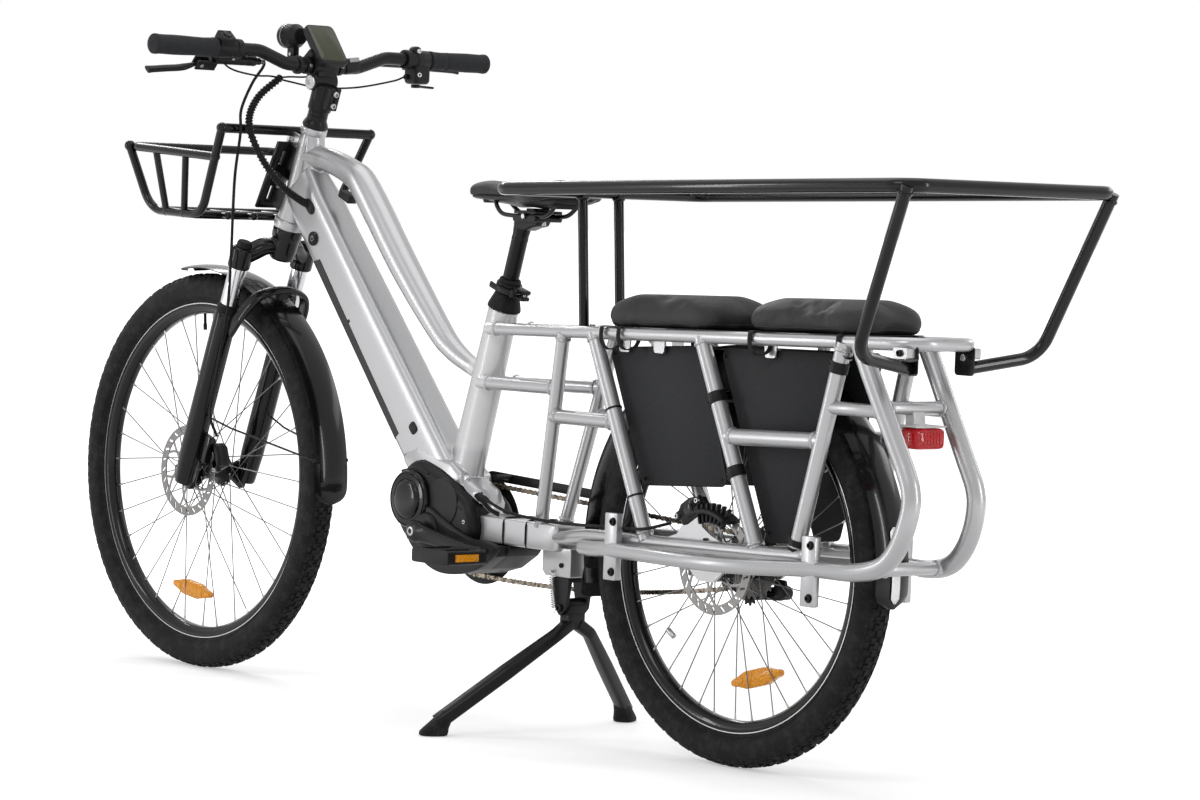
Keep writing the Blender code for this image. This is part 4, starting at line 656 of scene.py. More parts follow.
class Drawn:
    """The faces of a piece as drawn, before it is melted: their places and their true normals."""

    def __init__(self, mesh):
        mesh.shade_smooth()
        mesh.set_sharp_from_angle(angle=radians(50))
        self.places = [vert.co.copy() for vert in mesh.vertices]
        self.faces = [tuple(face.vertices) for face in mesh.polygons]
        self.normals = [[mesh.corner_normals[i].vector.copy() for i in face.loop_indices]
                for face in mesh.polygons]
        self.tree = BVHTree.FromPolygons(self.places, self.faces)

    def pull(self, mesh, reach=0.0012):
        for vert in mesh.vertices:
            near, _, _, gap = self.tree.find_nearest(vert.co, reach)
            if near:
                vert.co = vert.co.lerp(near, max(0.0, min(1.0, (reach - gap) / (reach * 0.5))))

    def shade(self, mesh):
        """Gives the melted skin the normals of the drawn faces wherever it still lies on them."""
        true = {}
        for vert in mesh.vertices:
            near, _, index, _ = self.tree.find_nearest(vert.co, 0.0005)
            if near and index is not None:
                shares = poly_3d_calc([self.places[i] for i in self.faces[index]], near)
                normal = Vector()
                for share, part in zip(shares, self.normals[index]):
                    normal += part * share
                if normal.length > 0.5:
                    true[vert.index] = normal.normalized()
        found = [corner.vector.copy() for corner in mesh.corner_normals]
        for face in mesh.polygons:
            for i, vertex in zip(face.loop_indices, face.vertices):
                if vertex in true and true[vertex].dot(found[i]) > 0.86:
                    found[i] = true[vertex]
        mesh.normals_split_custom_set(found)


def fused(made, voxel, rounds, keep=0.5):
    """Melts overlapping bodies into one skin with soft joints, as in a smoothed weld."""
    drawn = Drawn(made.data)
    melt(made, voxel)
    relax(made, keep, rounds)
    drawn.pull(made.data)
    made.data.shade_smooth()
    return drawn


def steer_point(up, ahead=0.0, y=0.0):
    """A point by its height along the steering axis, how far ahead of it and how far across."""
    return HEAD_TOP + STEER_UP * up + STEER_AHEAD * ahead + ACROSS * y


def tube_point(down, out, y=0.0):
    """A point by its distance down the down tube, out of it and across."""
    return TUBE_DOWN * down + TUBE_OUT * out + ACROSS * y


def deck(x):
    """Height of the rack's rails at a place along the bicycle."""
    return 0.641 + 0.0265 * x


def mirrored(point, side):
    """The point on one side of the bicycle or the other."""
    return Vector((point[0], point[1] * side, point[2]))


STEER_TURN = Matrix((STEER_AHEAD, ACROSS, STEER_UP)).transposed()
SEAT_TURN = Matrix((SEAT_BACK, ACROSS, SEAT_UP)).transposed()


# Camera, floor and light
def build_camera():
    """The photographer's view."""
    lens = bpy.data.cameras.new("camera")
    lens.sensor_width = 36
    lens.lens = 125.43
    lens.clip_end = 200
    camera = bpy.data.objects.new("camera", lens)
    right, up, back = (0.6595, 0.7507, 0.0383), (-0.0633, 0.0046, 0.998), (0.749, -0.6606, 0.0506)
    camera.matrix_world = (Matrix.Translation((5.2195, -4.378, 0.875))
            @ Matrix((right, up, back)).transposed().to_quaternion().to_matrix().to_4x4())
    bpy.context.scene.collection.objects.link(camera)
    bpy.context.scene.camera = camera
    bpy.context.scene.view_settings.view_transform = "Standard"


def add_maths(tree, operation, first, second, clamp=False):
    """A Math node of the studio between two sockets."""
    node = tree.nodes.new("ShaderNodeMath")
    node.operation = operation
    node.use_clamp = clamp
    tree.links.new(first, node.inputs[0])
    tree.links.new(second, node.inputs[1])
    return node.outputs[0]


def build_world():
    """Even light on the bicycle, and plain white where it is looked at, mirrored or seen through glass."""
    world = bpy.data.worlds.new("studio")
    bpy.context.scene.world = world
    world.use_nodes = True
    tree = world.node_tree
    background = tree.nodes["Background"]
    background.inputs["Color"].default_value = (1, 1, 1, 1)
    rays = tree.nodes.new("ShaderNodeLightPath").outputs
    seen = add_maths(tree, "ADD", rays["Is Camera Ray"], rays["Is Transmission Ray"])
    clear = add_maths(tree, "ADD", seen, rays["Is Glossy Ray"], True)
    strength = tree.nodes.new("ShaderNodeMix")
    tree.links.new(clear, strength.inputs[0])
    strength.inputs[2].default_value = 0.42
    strength.inputs[3].default_value = 1.0
    tree.links.new(strength.outputs[0], background.inputs["Strength"])


def build_floor():
    """A white sweep that keeps the bicycle's shadow near the wheels and turns plain white farther off."""
    floor_mesh = bpy.data.meshes.new("floor")
    reach = 60
    floor_mesh.from_pydata([(-reach, -reach, -0.0008), (reach, -reach, -0.0008), (reach, reach, -0.0008),
            (-reach, reach, -0.0008)], [], [(0, 1, 2, 3)])
    floor = placed("floor", floor_mesh)
    paper = bpy.data.materials.new("white_sweep")
    paper.use_nodes = True
    tree = paper.node_tree
    nodes, links = tree.nodes, tree.links
    nodes.remove(nodes["Principled BSDF"])
    output = nodes["Material Output"]
    cloth = nodes.new("ShaderNodeBsdfDiffuse")
    cloth.inputs["Color"].default_value = (0.8, 0.8, 0.8, 1)
    glow = nodes.new("ShaderNodeEmission")
    rays = nodes.new("ShaderNodeLightPath").outputs
    seen = add_maths(tree, "MAXIMUM", rays["Is Camera Ray"], rays["Is Glossy Ray"])
    place = nodes.new("ShaderNodeNewGeometry")
    reach_out = nodes.new("ShaderNodeVectorMath")
    reach_out.operation = "LENGTH"
    links.new(place.outputs["Position"], reach_out.inputs[0])
    fade = nodes.new("ShaderNodeMapRange")
    fade.interpolation_type = "SMOOTHSTEP"
    links.new(reach_out.outputs["Value"], fade.inputs["Value"])
    for name, value in (("From Min", 1.2), ("From Max", 2.6), ("To Min", 0.42), ("To Max", 1.0)):
        fade.inputs[name].default_value = value
    links.new(add_maths(tree, "MULTIPLY", seen, fade.outputs["Result"]), glow.inputs["Strength"])
    both = nodes.new("ShaderNodeAddShader")
    links.new(cloth.outputs[0], both.inputs[0])
    links.new(glow.outputs[0], both.inputs[1])
    links.new(both.outputs[0], output.inputs["Surface"])
    floor_mesh.materials.append(paper)


def build_lamps():
    """Soft lamps round the bicycle, with narrow ones for the highlights on black pieces."""
    lamps = (("key", (1.2, -3.6, 3.4), (2.0, 1.2), 40), ("top", (0.0, 0.2, 3.6), (3.6, 2.4), 34),
            ("front_strip", (-3.4, 0.8, 2.9), (2.6, 0.3), 40), ("left_strip", (-2.6, -3.4, 1.3), (0.26, 2.4),
            34), ("right_strip", (3.9, 1.4, 1.4), (0.24, 2.2), 28), ("rim", (0.6, 4.0, 2.2), (3.0, 0.8), 16))
    for name, at, size, power in lamps:
        light = bpy.data.lights.new(name, "AREA")
        light.shape = "RECTANGLE"
        light.size, light.size_y = size
        light.energy = power
        lamp = bpy.data.objects.new(name, light)
        lamp.location = at
        lamp.rotation_mode = "QUATERNION"
        lamp.rotation_quaternion = (Vector((0, 0, 0.5)) - Vector(at)).to_track_quat("-Z", "Y")
        bpy.context.scene.collection.objects.link(lamp)


# Frame
def down_tube_body(grow=0.0, sides=64, stations=None):
    """The down tube's skin, grown by a little for a strip that lies on it."""
    rings = []
    for down, low, half in stations or ((-1.0, 0.139, 0.024), (-0.94, 0.138, 0.033), (-0.7, 0.13, 0.034),
            (-0.345, 0.119, 0.034)):
        middle, tall = (0.222 + low) / 2, (0.222 - low) / 2
        rings.append([tube_point(down, middle + b, a) for a, b in oval(half + grow, tall + grow, sides, 4.5)])
    return skin(rings)


MOTOR_OUTLINE = ((-0.191, 0.354), (-0.18, 0.386), (-0.16, 0.408), (-0.136, 0.416), (-0.091, 0.403),
        (-0.043, 0.381), (0.002, 0.353), (0.015, 0.32), (0.01, 0.292), (-0.01, 0.262), (-0.06, 0.246),
        (-0.11, 0.258), (-0.16, 0.285), (-0.186, 0.318))
SWAN = ((-0.535, 0, 0.91), (-0.47, 0, 0.905), (-0.4, 0, 0.884), (-0.36, 0, 0.855), (-0.255, 0, 0.735),
        (-0.157, 0, 0.634), (-0.115, 0, 0.6), (-0.067, 0, 0.576), (-0.028, 0, 0.562))
SWAN_SIZES = (0.0195, 0.0205, 0.023, 0.0255, 0.0255, 0.0215, 0.0185, 0.015, 0.0145)


def motor_shape(grow):
    """The motor's outline in x and z, grown by a little."""
    middle = Vector((-0.085, 0.33))
    grown = []
    for x, z in MOTOR_OUTLINE:
        away = (Vector((x, z)) - middle).normalized() * grow
        grown.append((x + away.x, z + away.y))
    return grown


def battery_strip():
    """The long battery cover wrapped round the down tube's lower edge, with slanted ends."""
    rings = []
    for k in range(33):
        share = k / 32
        down = -0.8574 + (0.8574 - 0.4825) * share
        low = 0.139 + (down + 1.0) * (0.138 - 0.139) / 0.06 if down < -0.94 else (0.138 + (down + 0.94)
                * (0.13 - 0.138) / 0.24 if down < -0.7 else 0.13 + (down + 0.7) * (0.119 - 0.13) / 0.355)
        middle, tall = (0.222 + low) / 2, (0.222 - low) / 2
        edge = 0.161 + (0.147 - 0.161) * share - middle
        high = (1 - (abs(edge) / (tall + 0.0005)) ** 4.5) ** (1 / 4.5)
        stop = atan2(edge, high * 0.0345)
        ring = []
        for grow in (0.0005, -0.002):
            row = []
            for i in range(41):
                angle = stop + (-pi - 2 * stop) * i / 40
                c, z = cos(angle), sin(angle)
                reach = ((abs(c) / (0.034 + grow)) ** 4.5 + (abs(z) / (tall + grow)) ** 4.5) ** (-1 / 4.5)
                slant = (z * reach + tall) * 0.55
                row.append(tube_point(down + slant * (1 if share < 0.5 else 0.3), middle + z * reach,
                        c * reach))
            ring += row if grow > 0 else row[::-1]
        rings.append(ring)
    return skin(rings)


def build_main_frame():
    """Head, down, swan and seat tubes melted into the motor's shell, with the battery strip let in."""
    head = turned([(0.0205, -0.004), (0.0205, -0.03), (0.0205, -0.14), (0.025, -0.178), (0.026, -0.184)],
            HEAD_TOP, STEER_UP, 96)
    low = Vector((-0.069, 0, 0.405)) - SEAT_UP * 0.02
    seat = sweep([SEAT_TOP, SEAT_TOP.lerp(low, 0.5), low], lambda share: oval(0.0225, 0.028 + 0.008 * share,
            96), ACROSS)
    path = smooth(SWAN, 5)
    sizes = smooth([(size, 0, 0) for size in SWAN_SIZES], 5)
    rings = []
    for (centre, side, over), size in zip(frames(path, ACROSS), sizes):
        rings.append([centre + side * a + over * b for a, b in oval(size.x, size.x, 96)])
    swan = skin(rings)
    shell = layered(corner_arcs([(-0.205, 0.42), (-0.165, 0.438), (-0.11, 0.424), (-0.072, 0.418),
            (-0.044, 0.4), (-0.036, 0.36), (-0.036, 0.294), (-0.08, 0.294)], 0.01), (-0.06, 0.36),
            [(-0.0345, 0.008), (-0.0325, 0.003), (-0.028, 0), (0.028, 0), (0.0325, 0.003), (0.0345, 0.008)])
    drum = layered(corner_arcs([(-0.15, 0.4), (-0.06, 0.4), (-0.03, 0.392), (-0.004, 0.378), (0.01, 0.356),
            (0.0127, 0.335), (0.0127, 0.296), (-0.15, 0.296)], 0.006), (-0.07, 0.348),
            [(-0.0345, 0.026), (-0.033, 0.02), (-0.03, 0.014), (-0.025, 0.008), (-0.018, 0.0032),
            (-0.0045, 0), (0.0045, 0), (0.018, 0.0032), (0.025, 0.008), (0.03, 0.014), (0.033, 0.02),
            (0.0345, 0.026)])
    stay = layered(rectangle(-0.03, 0.337, 0.205, 0.294, 0.007), (0.1025, 0.3155),
            [(-0.035, 0.004), (-0.0335, 0.001), (-0.03, 0), (0.03, 0), (0.0335, 0.001), (0.035, 0.004)])
    crown = sweep(smooth([steer_point(-0.01, -0.004), steer_point(-0.04, -0.016),
            steer_point(-0.085, -0.024)], 4), oval(0.0185, 0.015, 28), ACROSS)
    made = piece("main_frame_tubes", [head, seat, swan, shell, drum, stay, crown, down_tube_body()], SILVER,
            None)
    drawn = fused(made, 0.0026, 7)
    carve(made, [prism(motor_shape(0.0012), -0.08, 0.08), block((0.2, 0, 0.2), (0.06, 0.0366, 0.06))])
    dress(made, SILVER)
    made.data.shade_smooth()
    made.data.set_sharp_from_angle(angle=radians(50))
    drawn.shade(made.data)
    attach(made, "frame")
    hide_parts("main_frame")

    collars = [turned([(0.02, 0), (0.0225, -0.0008), (0.0232, -0.003), (0.0232, -0.01), (0.0222, -0.0125),
            (0.02, -0.014)], HEAD_TOP, STEER_UP, 56),
            turned([(0.0255, -0.17), (0.0272, -0.1722), (0.0276, -0.176), (0.0276, -0.1845), (0.0268, -0.187),
            (0.02, -0.187)], HEAD_TOP, STEER_UP, 56)]
    bracket = prism(corner_arcs([(0.16, 0.301), (0.229, 0.301), (0.229, 0.254), (0.168, 0.254),
            (0.16, 0.262)], 0.003), -0.026, 0.026)
    yoke = prism(corner_arcs([(0.184, 0.2535), (0.227, 0.2535), (0.224, 0.232), (0.219, 0.203),
            (0.207, 0.191), (0.195, 0.203), (0.188, 0.232)], 0.005), -0.0255, 0.0255)
    piece("stand_yoke", [yoke, block((0.205, 0, 0.25), (0.036, 0.04, 0.006))], CAST, "frame", bevel=0.0012,
            segments=3, cuts=[block((0.2, 0, 0.17), (0.11, 0.0366, 0.154))])
    piece("stand_bracket", [bracket, *collars], SILVER, "frame", bevel=0.0014, segments=3,
            cuts=[block((0.2, 0, 0.18), (0.11, 0.0366, 0.135))])
    piece("battery_strip", battery_strip(), STRIP, "frame", "battery_cover", sharp=30)

    guard = prism(corner_arcs([(-0.098, 0.38), (-0.096, 0.3975), (-0.08, 0.401), (0.17, 0.39), (0.184, 0.382),
            (0.17, 0.3745), (0.06, 0.3795), (-0.08, 0.385)], 0.0015, 3), 0.063, 0.0665)
    arm = tube([(-0.03, 0.03, 0.394), (-0.03, 0.064, 0.394)], 0.0045, 14)
    piece("chain_guard", [guard, arm, bolt((-0.03, 0.0665, 0.394), ACROSS, 0.004, 0.003)], PLASTIC, "frame",
            bevel=0.0006)


def build_frame_details():
    """Cable port, power button, charging cover, shell opening, ties and small bolts."""
    side = -0.034
    port = sweep([Vector((-0.475, side + 0.004, 0.825)), Vector((-0.475, side - 0.0014, 0.825))],
            oval(0.0155, 0.0085, 28, 2.6), TUBE_DOWN)
    lip = sweep([Vector((-0.475, side - 0.0012, 0.825)), Vector((-0.475, side - 0.003, 0.825))],
            lambda share: oval(0.014 - 0.002 * share, 0.007 - 0.0015 * share, 28, 2.4), TUBE_DOWN)
    piece("cable_port", [port, lip], PLASTIC, "frame", bevel=0.0005)
    place = Vector((-0.461, side, 0.7705))
    ring = turned([(0.0118, 0.003), (0.0124, -0.0006), (0.0122, -0.0016), (0.011, -0.002), (0.0108, 0.001)],
            place, ACROSS, 40, True)
    piece("power_button_ring", ring, GLOSS, "frame")
    cap = turned([(0.0104, 0.0015), (0.0104, -0.002), (0.0098, -0.003), (0.008, -0.0026), (0.0074, -0.0022)],
            place, ACROSS, 40)
    mark = [turned([(0.0042, -0.002), (0.0042, -0.003), (0.0034, -0.003), (0.0034, -0.002)], place, ACROSS,
            32, True)]
    piece("power_button_cap", [cap], PLASTIC, "frame_button", "power_button")
    piece("power_button_mark", mark + [block(place + Vector((0, -0.0026, 0.0034)), (0.0009, 0.0009, 0.0036))],
            LIGHT_GREY, "frame_button")
    charge = sweep([Vector((-0.171, side + 0.002, 0.4665)), Vector((-0.171, side - 0.0016, 0.4665))],
            oval(0.01, 0.0085, 24, 4), TUBE_DOWN)
    plug = sweep([Vector((-0.355, side + 0.002, 0.635)), Vector((-0.355, side - 0.0006, 0.635))],
            oval(0.0032, 0.0032, 16), TUBE_DOWN)
    piece("charging_cover", [charge, plug], PLASTIC, "frame", bevel=0.0006)
    mouth = sweep([Vector((0.001, -0.024, 0.364)), Vector((0.0042, -0.0272, 0.364))],
            oval(0.013, 0.006, 28, 2.4), Vector((0.62, 0.62, -0.36)))
    guide = block((-0.413, 0, 0.844), (0.03, 0.018, 0.012), Matrix.Rotation(radians(24), 3, "Y"))
    piece("cable_mouth", [mouth, guide], PLASTIC, "frame", bevel=0.0005)
    lead = [(-0.002, -0.023, 0.368), (0.0075, -0.032, 0.364), (0.02, -0.035, 0.356), (0.034, -0.033, 0.346),
            (0.052, -0.03, 0.34)]
    piece("motor_leads", [tube(smooth([Vector(p) + Vector((0, 0.0008 * k, 0.0036 * k)) for p in lead], 6),
            0.002, 10) for k in (0, 1)], RUBBER, "frame")
    ties = []
    for x in (0.072, 0.128):
        ring = [Vector((x, a, 0.3155 + b)) for a, b in oval(0.0358, 0.0223, 40, 7)]
        ties.append(sweep(ring, oval(0.0008, 0.0022, 8, 3), BACK, True))
    top, foot = Vector((0.309, -0.0645, 0.649)), Vector((0.456, -0.07, 0.336))
    for share in (0.37, 0.79):
        ties.append(band(top.lerp(foot, share), foot - top, 0.0127, 0.003, 0.0009))
    piece("cable_ties", ties, PLASTIC, "frame")
    bolts = [bolt((0.207, -0.0262, 0.205), -ACROSS, 0.0062, 0.004),
            bolt((0.207, 0.0262, 0.205), ACROSS, 0.0062, 0.004), bolt((0.208, -0.0262, 0.273), -ACROSS, 0.004,
            0.003)]
    piece("bracket_bolts", bolts, PLASTIC, "frame")


# Rack
STRUTS = (((0.2265, 0.056, 0.6455), (0.153, 0.0253, 0.33), 0.011),
        ((0.309, 0.0645, 0.649), (0.456, 0.07, 0.336), 0.0125), ((0.56, 0.068, 0.6555), (0.707, 0.073, 0.34),
        0.0125), ((0.8715, 0.0705, 0.6635), (0.7925, 0.0765, 0.345), 0.0125))
STAYS = (((0.195, 0.044, 0.511), (0.371, 0.0665, 0.513), 0.0115),
        ((0.628, 0.07, 0.509), (0.834, 0.0735, 0.516), 0.0125),
        ((-0.012, 0.026, 0.553), (0.205, 0.047, 0.556), 0.011))
CHAINSTAY = ((0.18, 0.02, 0.316), (0.225, 0.034, 0.319), (0.266, 0.05, 0.325), (0.336, 0.061, 0.332),
        (0.486, 0.071, 0.335), (0.708, 0.077, 0.34), (0.812, 0.081, 0.344))
SIDE_RAIL = ((0.3, 0.064, 0.312), (0.34, 0.076, 0.313), (0.4, 0.089, 0.317), (0.6, 0.128, 0.321),
        (0.72, 0.128, 0.323), (0.845, 0.096, 0.329), (0.915, 0.081, 0.33), (0.962, 0.0745, 0.34),
        (0.99, 0.0717, 0.362), (1.008, 0.0706, 0.395), (1.017, 0.0682, 0.432), (1.014, 0.0668, 0.458),
        (1.004, 0.0662, 0.48), (0.993, 0.066, 0.5), (0.957, 0.0677, 0.5637), (0.927, 0.069, 0.6175),
        (0.902, 0.069, 0.663))


def build_rails():
    """The rack's two long rails and their cross bend, with the tabs under them."""
    half = ((0.013, 0.032), (0.12, 0.0445), (0.23, 0.056), (0.31, 0.0645), (0.56, 0.068), (1.01, 0.069))
    left = [Vector((x, -y, deck(x))) for x, y in half]
    right = [mirrored(p, -1) for p in reversed(left)]
    bend = rounded([left[-2], left[-1], right[0], right[1]], 0.042, 8)
    body = smooth(left[:-1], 3)[:-1]
    body += [left[-2]] + bend[1:-1] + [right[1]] + smooth(right[1:], 3)[1:]
    rails = [tube(body, 0.01, 22, UP)]
    for side in (-1, 1):
        end = mirrored(left[0], -side)
        rails.append(ball(end, 0.01, (1, 1, 1)))
        rails.append(weld(end + Vector((0.0245, 0.004 * side, 0.001)), Vector((1, 0.12 * side, 0)), 0.01))
        rails.append(prism(rectangle(0.977, 0.6465, 1.005, 0.6625, 0.003), 0.068 * side - 0.009,
                0.068 * side + 0.009))
        for x in (0.372, 0.452, 0.7, 0.86):
            y = 0.0555 * side
            rails.append(prism(corner_arcs([(x - 0.014, deck(x) - 0.004), (x + 0.014, deck(x) - 0.004),
                    (x + 0.011, deck(x) - 0.028), (x - 0.011, deck(x) - 0.028)], 0.004, 3), y - 0.0012,
                    y + 0.0012))
    piece("rack_rail_tubes", rails, SILVER, "frame", "rack_rails", sharp=50)


def build_lattices():
    """The struts, stays and chainstay of each side, and the clamps of the wheel panels."""
    for side, word in SIDES:
        bars = []
        for k, (a, b, r) in enumerate(STRUTS + STAYS):
            a, b = mirrored(a, side), mirrored(b, side)
            bars.append(tube([a, a.lerp(b, 0.5), b], r, 24))
            along = (b - a).normalized()
            bars.append(weld(a + along * (0.0105 if k < 4 else 0.013 if k < 6 else 0.027), along, r))
            bars.append(weld(b - along * 0.0125, along, r))
        path = smooth([mirrored(p, side) for p in CHAINSTAY], 4)
        bars.append(tube(path, 0.011, 24, UP))
        bars.append(ball(mirrored(CHAINSTAY[-1], side), 0.011))
        y = 0.0704 * side
        bars.append(prism(corner_arcs([(0.552, 0.342), (0.56, 0.3), (0.578, 0.286), (0.61, 0.286),
                (0.63, 0.3), (0.645, 0.342)], 0.006), y - 0.003, y + 0.003))
        if side < 0:
            bars.append(prism(corner_arcs([(0.474, 0.338), (0.52, 0.352), (0.552, 0.398), (0.568, 0.398),
                    (0.575, 0.368), (0.596, 0.356), (0.64, 0.34)], 0.005), -0.0665, -0.0625))
        piece(f"side_lattice_tubes_{word}", bars, SILVER, "frame", f"side_lattice_{word}", sharp=50)
        straps = []
        for (top, foot, r), share in ((STRUTS[2], 0.285), (STRUTS[2], 0.63), (STRUTS[3], 0.115),
                (STRUTS[3], 0.955)):
            top, foot = mirrored(top, side), mirrored(foot, side)
            at = top.lerp(foot, share)
            along = (foot - top).normalized()
            straps.append(band(at, along, r, 0.017, 0.0018))
            back = along.cross(ACROSS).normalized()
            back = back if back.x < 0 else -back
            straps.append(block(at + back * 0.017 - ACROSS * side * 0.004, (0.01, 0.01, 0.013),
                    Matrix((back, ACROSS, back.cross(ACROSS))).transposed()))
            straps.append(bolt(at + back * 0.017 + ACROSS * side * 0.0005, ACROSS * side, 0.0036, 0.0028))
        piece(f"panel_clamps_{word}", straps, PLASTIC, "frame", bevel=0.0005)


def build_tail():
    """The side rails with their plates, which turn up into the tail loops, and the lamp bracket."""
    loops, bolts = [], []
    for side in (-1, 1):
        path = smooth([mirrored(p, side) for p in SIDE_RAIL], 5)
        rings = []
        for centre, across, over in frames(path, ACROSS):
            size = 0.012 + 0.0025 * min(1, max(0, (centre.x - 0.845) / 0.1 + (0 if centre.z < 0.36 else 1)))
            rings.append([centre + across * a + over * b for a, b in oval(size, size, 24)])
        loops.append(skin(rings))
        for x, y, z in ((0.4, 0.0895, 0.3225), (0.845, 0.0965, 0.3255)):
            outline = rectangle(x - 0.014, z - 0.052, x + 0.014, z + 0.052, 0.0025, 3)
            loops.append(prism(outline, y * side - 0.006, y * side + 0.006))
            for lift in (0.039, -0.039):
                bolts.append(bolt((x + 0.005, (y + 0.006) * side, z + lift), ACROSS * side, 0.0052, 0.0044))
                bolts.append(turned([(0.0068, 0), (0.0068, 0.0009), (0.004, 0.0009)],
                        (x + 0.005, (y + 0.006) * side, z + lift), ACROSS * side, 20))
        loops.append(tube([mirrored((0.842, 0.0735, 0.567), side), mirrored((0.956, 0.0685, 0.567), side)],
                0.01, 22))
        loops.append(weld(mirrored((0.945, 0.069, 0.567), side), BACK, 0.01))
    for x, z in ((0.951, 0.572), (0.955, 0.3365)):
        loops.append(tube([(x, -0.067, z), (x, 0.067, z)], 0.01, 22, UP))
        loops += [weld((x, y, z), ACROSS, 0.01) for y in (-0.0535, 0.0535)]
    piece("rear_loop_tubes", loops, SILVER, "frame", "rear_loops", sharp=50, bevel=0.0006)
    bolts += [bolt((0.991, 0.0773 * s, 0.6545), ACROSS * s, 0.005, 0.004) for s in (-1, 1)]
    bolts.append(bolt((0.5629, -0.0668, 0.3878), -ACROSS, 0.0048, 0.004))
    bolts.append(bolt((0.5862, -0.0668, 0.3469), -ACROSS, 0.0048, 0.004))
    piece("rack_bolts", bolts, PLASTIC, "frame")
    bracket = prism(corner_arcs([(0.944, 0.58), (0.944, 0.5455), (0.986, 0.5455), (0.986, 0.548),
            (0.962, 0.55), (0.958, 0.58)], 0.001, 3), -0.012, 0.012)
    plate = sweep([(0.95, 0, 0.5468), (0.9855, 0, 0.5468)], oval(0.032, 0.0016, 32, 8))
    back = block((0.9535, 0, 0.53), (0.004, 0.06, 0.031))
    piece("lamp_bracket", [bracket, plate, back], WHITE, "frame", bevel=0.0008)


def hoop_height(x):
    """Height of the guard hoop, which rises to the rear."""
    return 0.869 + 0.027 * (x - 0.236) / (1.1303 - 0.236)


def build_hoop():
    """The guard hoop, its posts and legs, and what clamps them."""
    front, rear, half = 0.236, 1.1303, 0.216
    corners = [(0.6, -half), (front, -half), (front, half), (rear, half), (rear, -half), (0.6, -half)]
    path = rounded([Vector((x, y, hoop_height(x))) for x, y in corners], 0.034, 9)[:-1]
    pieces = [tube(path, 0.0105, 22, UP, True)]
    small = []
    for side in (-1, 1):
        y = 0.038 * side
        pieces.append(tube([(0.2535, y, 0.656), (0.238, y, hoop_height(front))], 0.008, 20))
        pieces.append(weld((0.2386, y, hoop_height(front) - 0.0108), Vector((-0.07, 0, 1)), 0.008))
        legs = [(rear - 0.004, (half - 0.002) * side, hoop_height(rear)), (1.016, 0.19 * side, 0.652),
                (0.992, 0.06 * side, 0.632)]
        pieces.append(tube(rounded(legs, 0.045, 9), 0.0095, 20, UP))
        legs_along = (Vector(legs[1]) - Vector(legs[0])).normalized()
        pieces.append(weld(Vector(legs[0]) + legs_along * 0.0115, legs_along, 0.0095))
        pieces.append(prism(rectangle(0.972, 0.622, 1.01, 0.6655, 0.006, 4), 0.0585 * side - 0.0012,
                0.0585 * side + 0.0012))
        small.append(bolt((0.991, 0.057 * side, 0.648), -ACROSS * side, 0.005, 0.004))
        small.append(bolt((0.262, 0.028 * side, 0.657), UP, 0.0045, 0.0035))
    pieces.append(prism(rectangle(0.2295, 0.645, 0.2795, 0.657, 0.002, 3), -0.045, 0.045))
    piece("guard_hoop_tubes", pieces, GLOSS, "frame", "guard_hoop", sharp=50)
    piece("hoop_bolts", small, STEEL, "frame")


def pad_form(x, half_x, half_y, height, sides=72):
    """The cut foam of a seat pad before its cover is stretched over it."""
    levels = ((0.0008, 0.945), (0.006, 0.985), (0.015, 1.0), (0.024, 0.99), (0.032, 0.955), (0.039, 0.88),
            (0.044, 0.77), (0.0472, 0.6), (0.049, 0.3))
    tilt = Matrix.Rotation(-atan2(0.0265, 1), 3, "Y")
    base = Vector((x, 0, deck(x) + 0.0103))
    rings = []
    for level, share in levels:
        ring = []
        for a, b in oval(half_x, half_y, sides, 5.0):
            pinch = 1 - 0.014 * cos(4 * atan2(b / half_y, a / half_x))
            inset = (1 - share) * half_y
            ring.append(base + tilt @ Vector((a * (half_x - inset) / half_x * pinch,
                    b * (half_y - inset) / half_y * pinch, level * height / 0.0525)))
        rings.append(ring)
    return skin(rings), base, tilt


def puff(made, pressure, cap, floor_at, normal):
    """Blows a cover up a little with cloth, no further than the cap, and flat where it rests."""
    start = [v.co.copy() for v in made.data.vertices]
    cloth = made.modifiers.new("Cloth", "CLOTH")
    cloth.settings.use_pressure = True
    cloth.settings.uniform_pressure_force = pressure
    cloth.settings.effector_weights.gravity = 0
    cloth.settings.quality = 4
    cloth.point_cache.frame_end = 20
    scene = bpy.context.scene
    for step in range(1, 21):
        scene.frame_set(step)
    settle(made)
    scene.frame_set(1)
    for vert, before in zip(made.data.vertices, start):
        shift = vert.co - before
        if shift.length > cap:
            shift *= cap / shift.length
        vert.co = before + shift
        depth = (vert.co - floor_at).dot(normal)
        if depth < 0.0006:
            vert.co += normal * (0.0006 - depth)


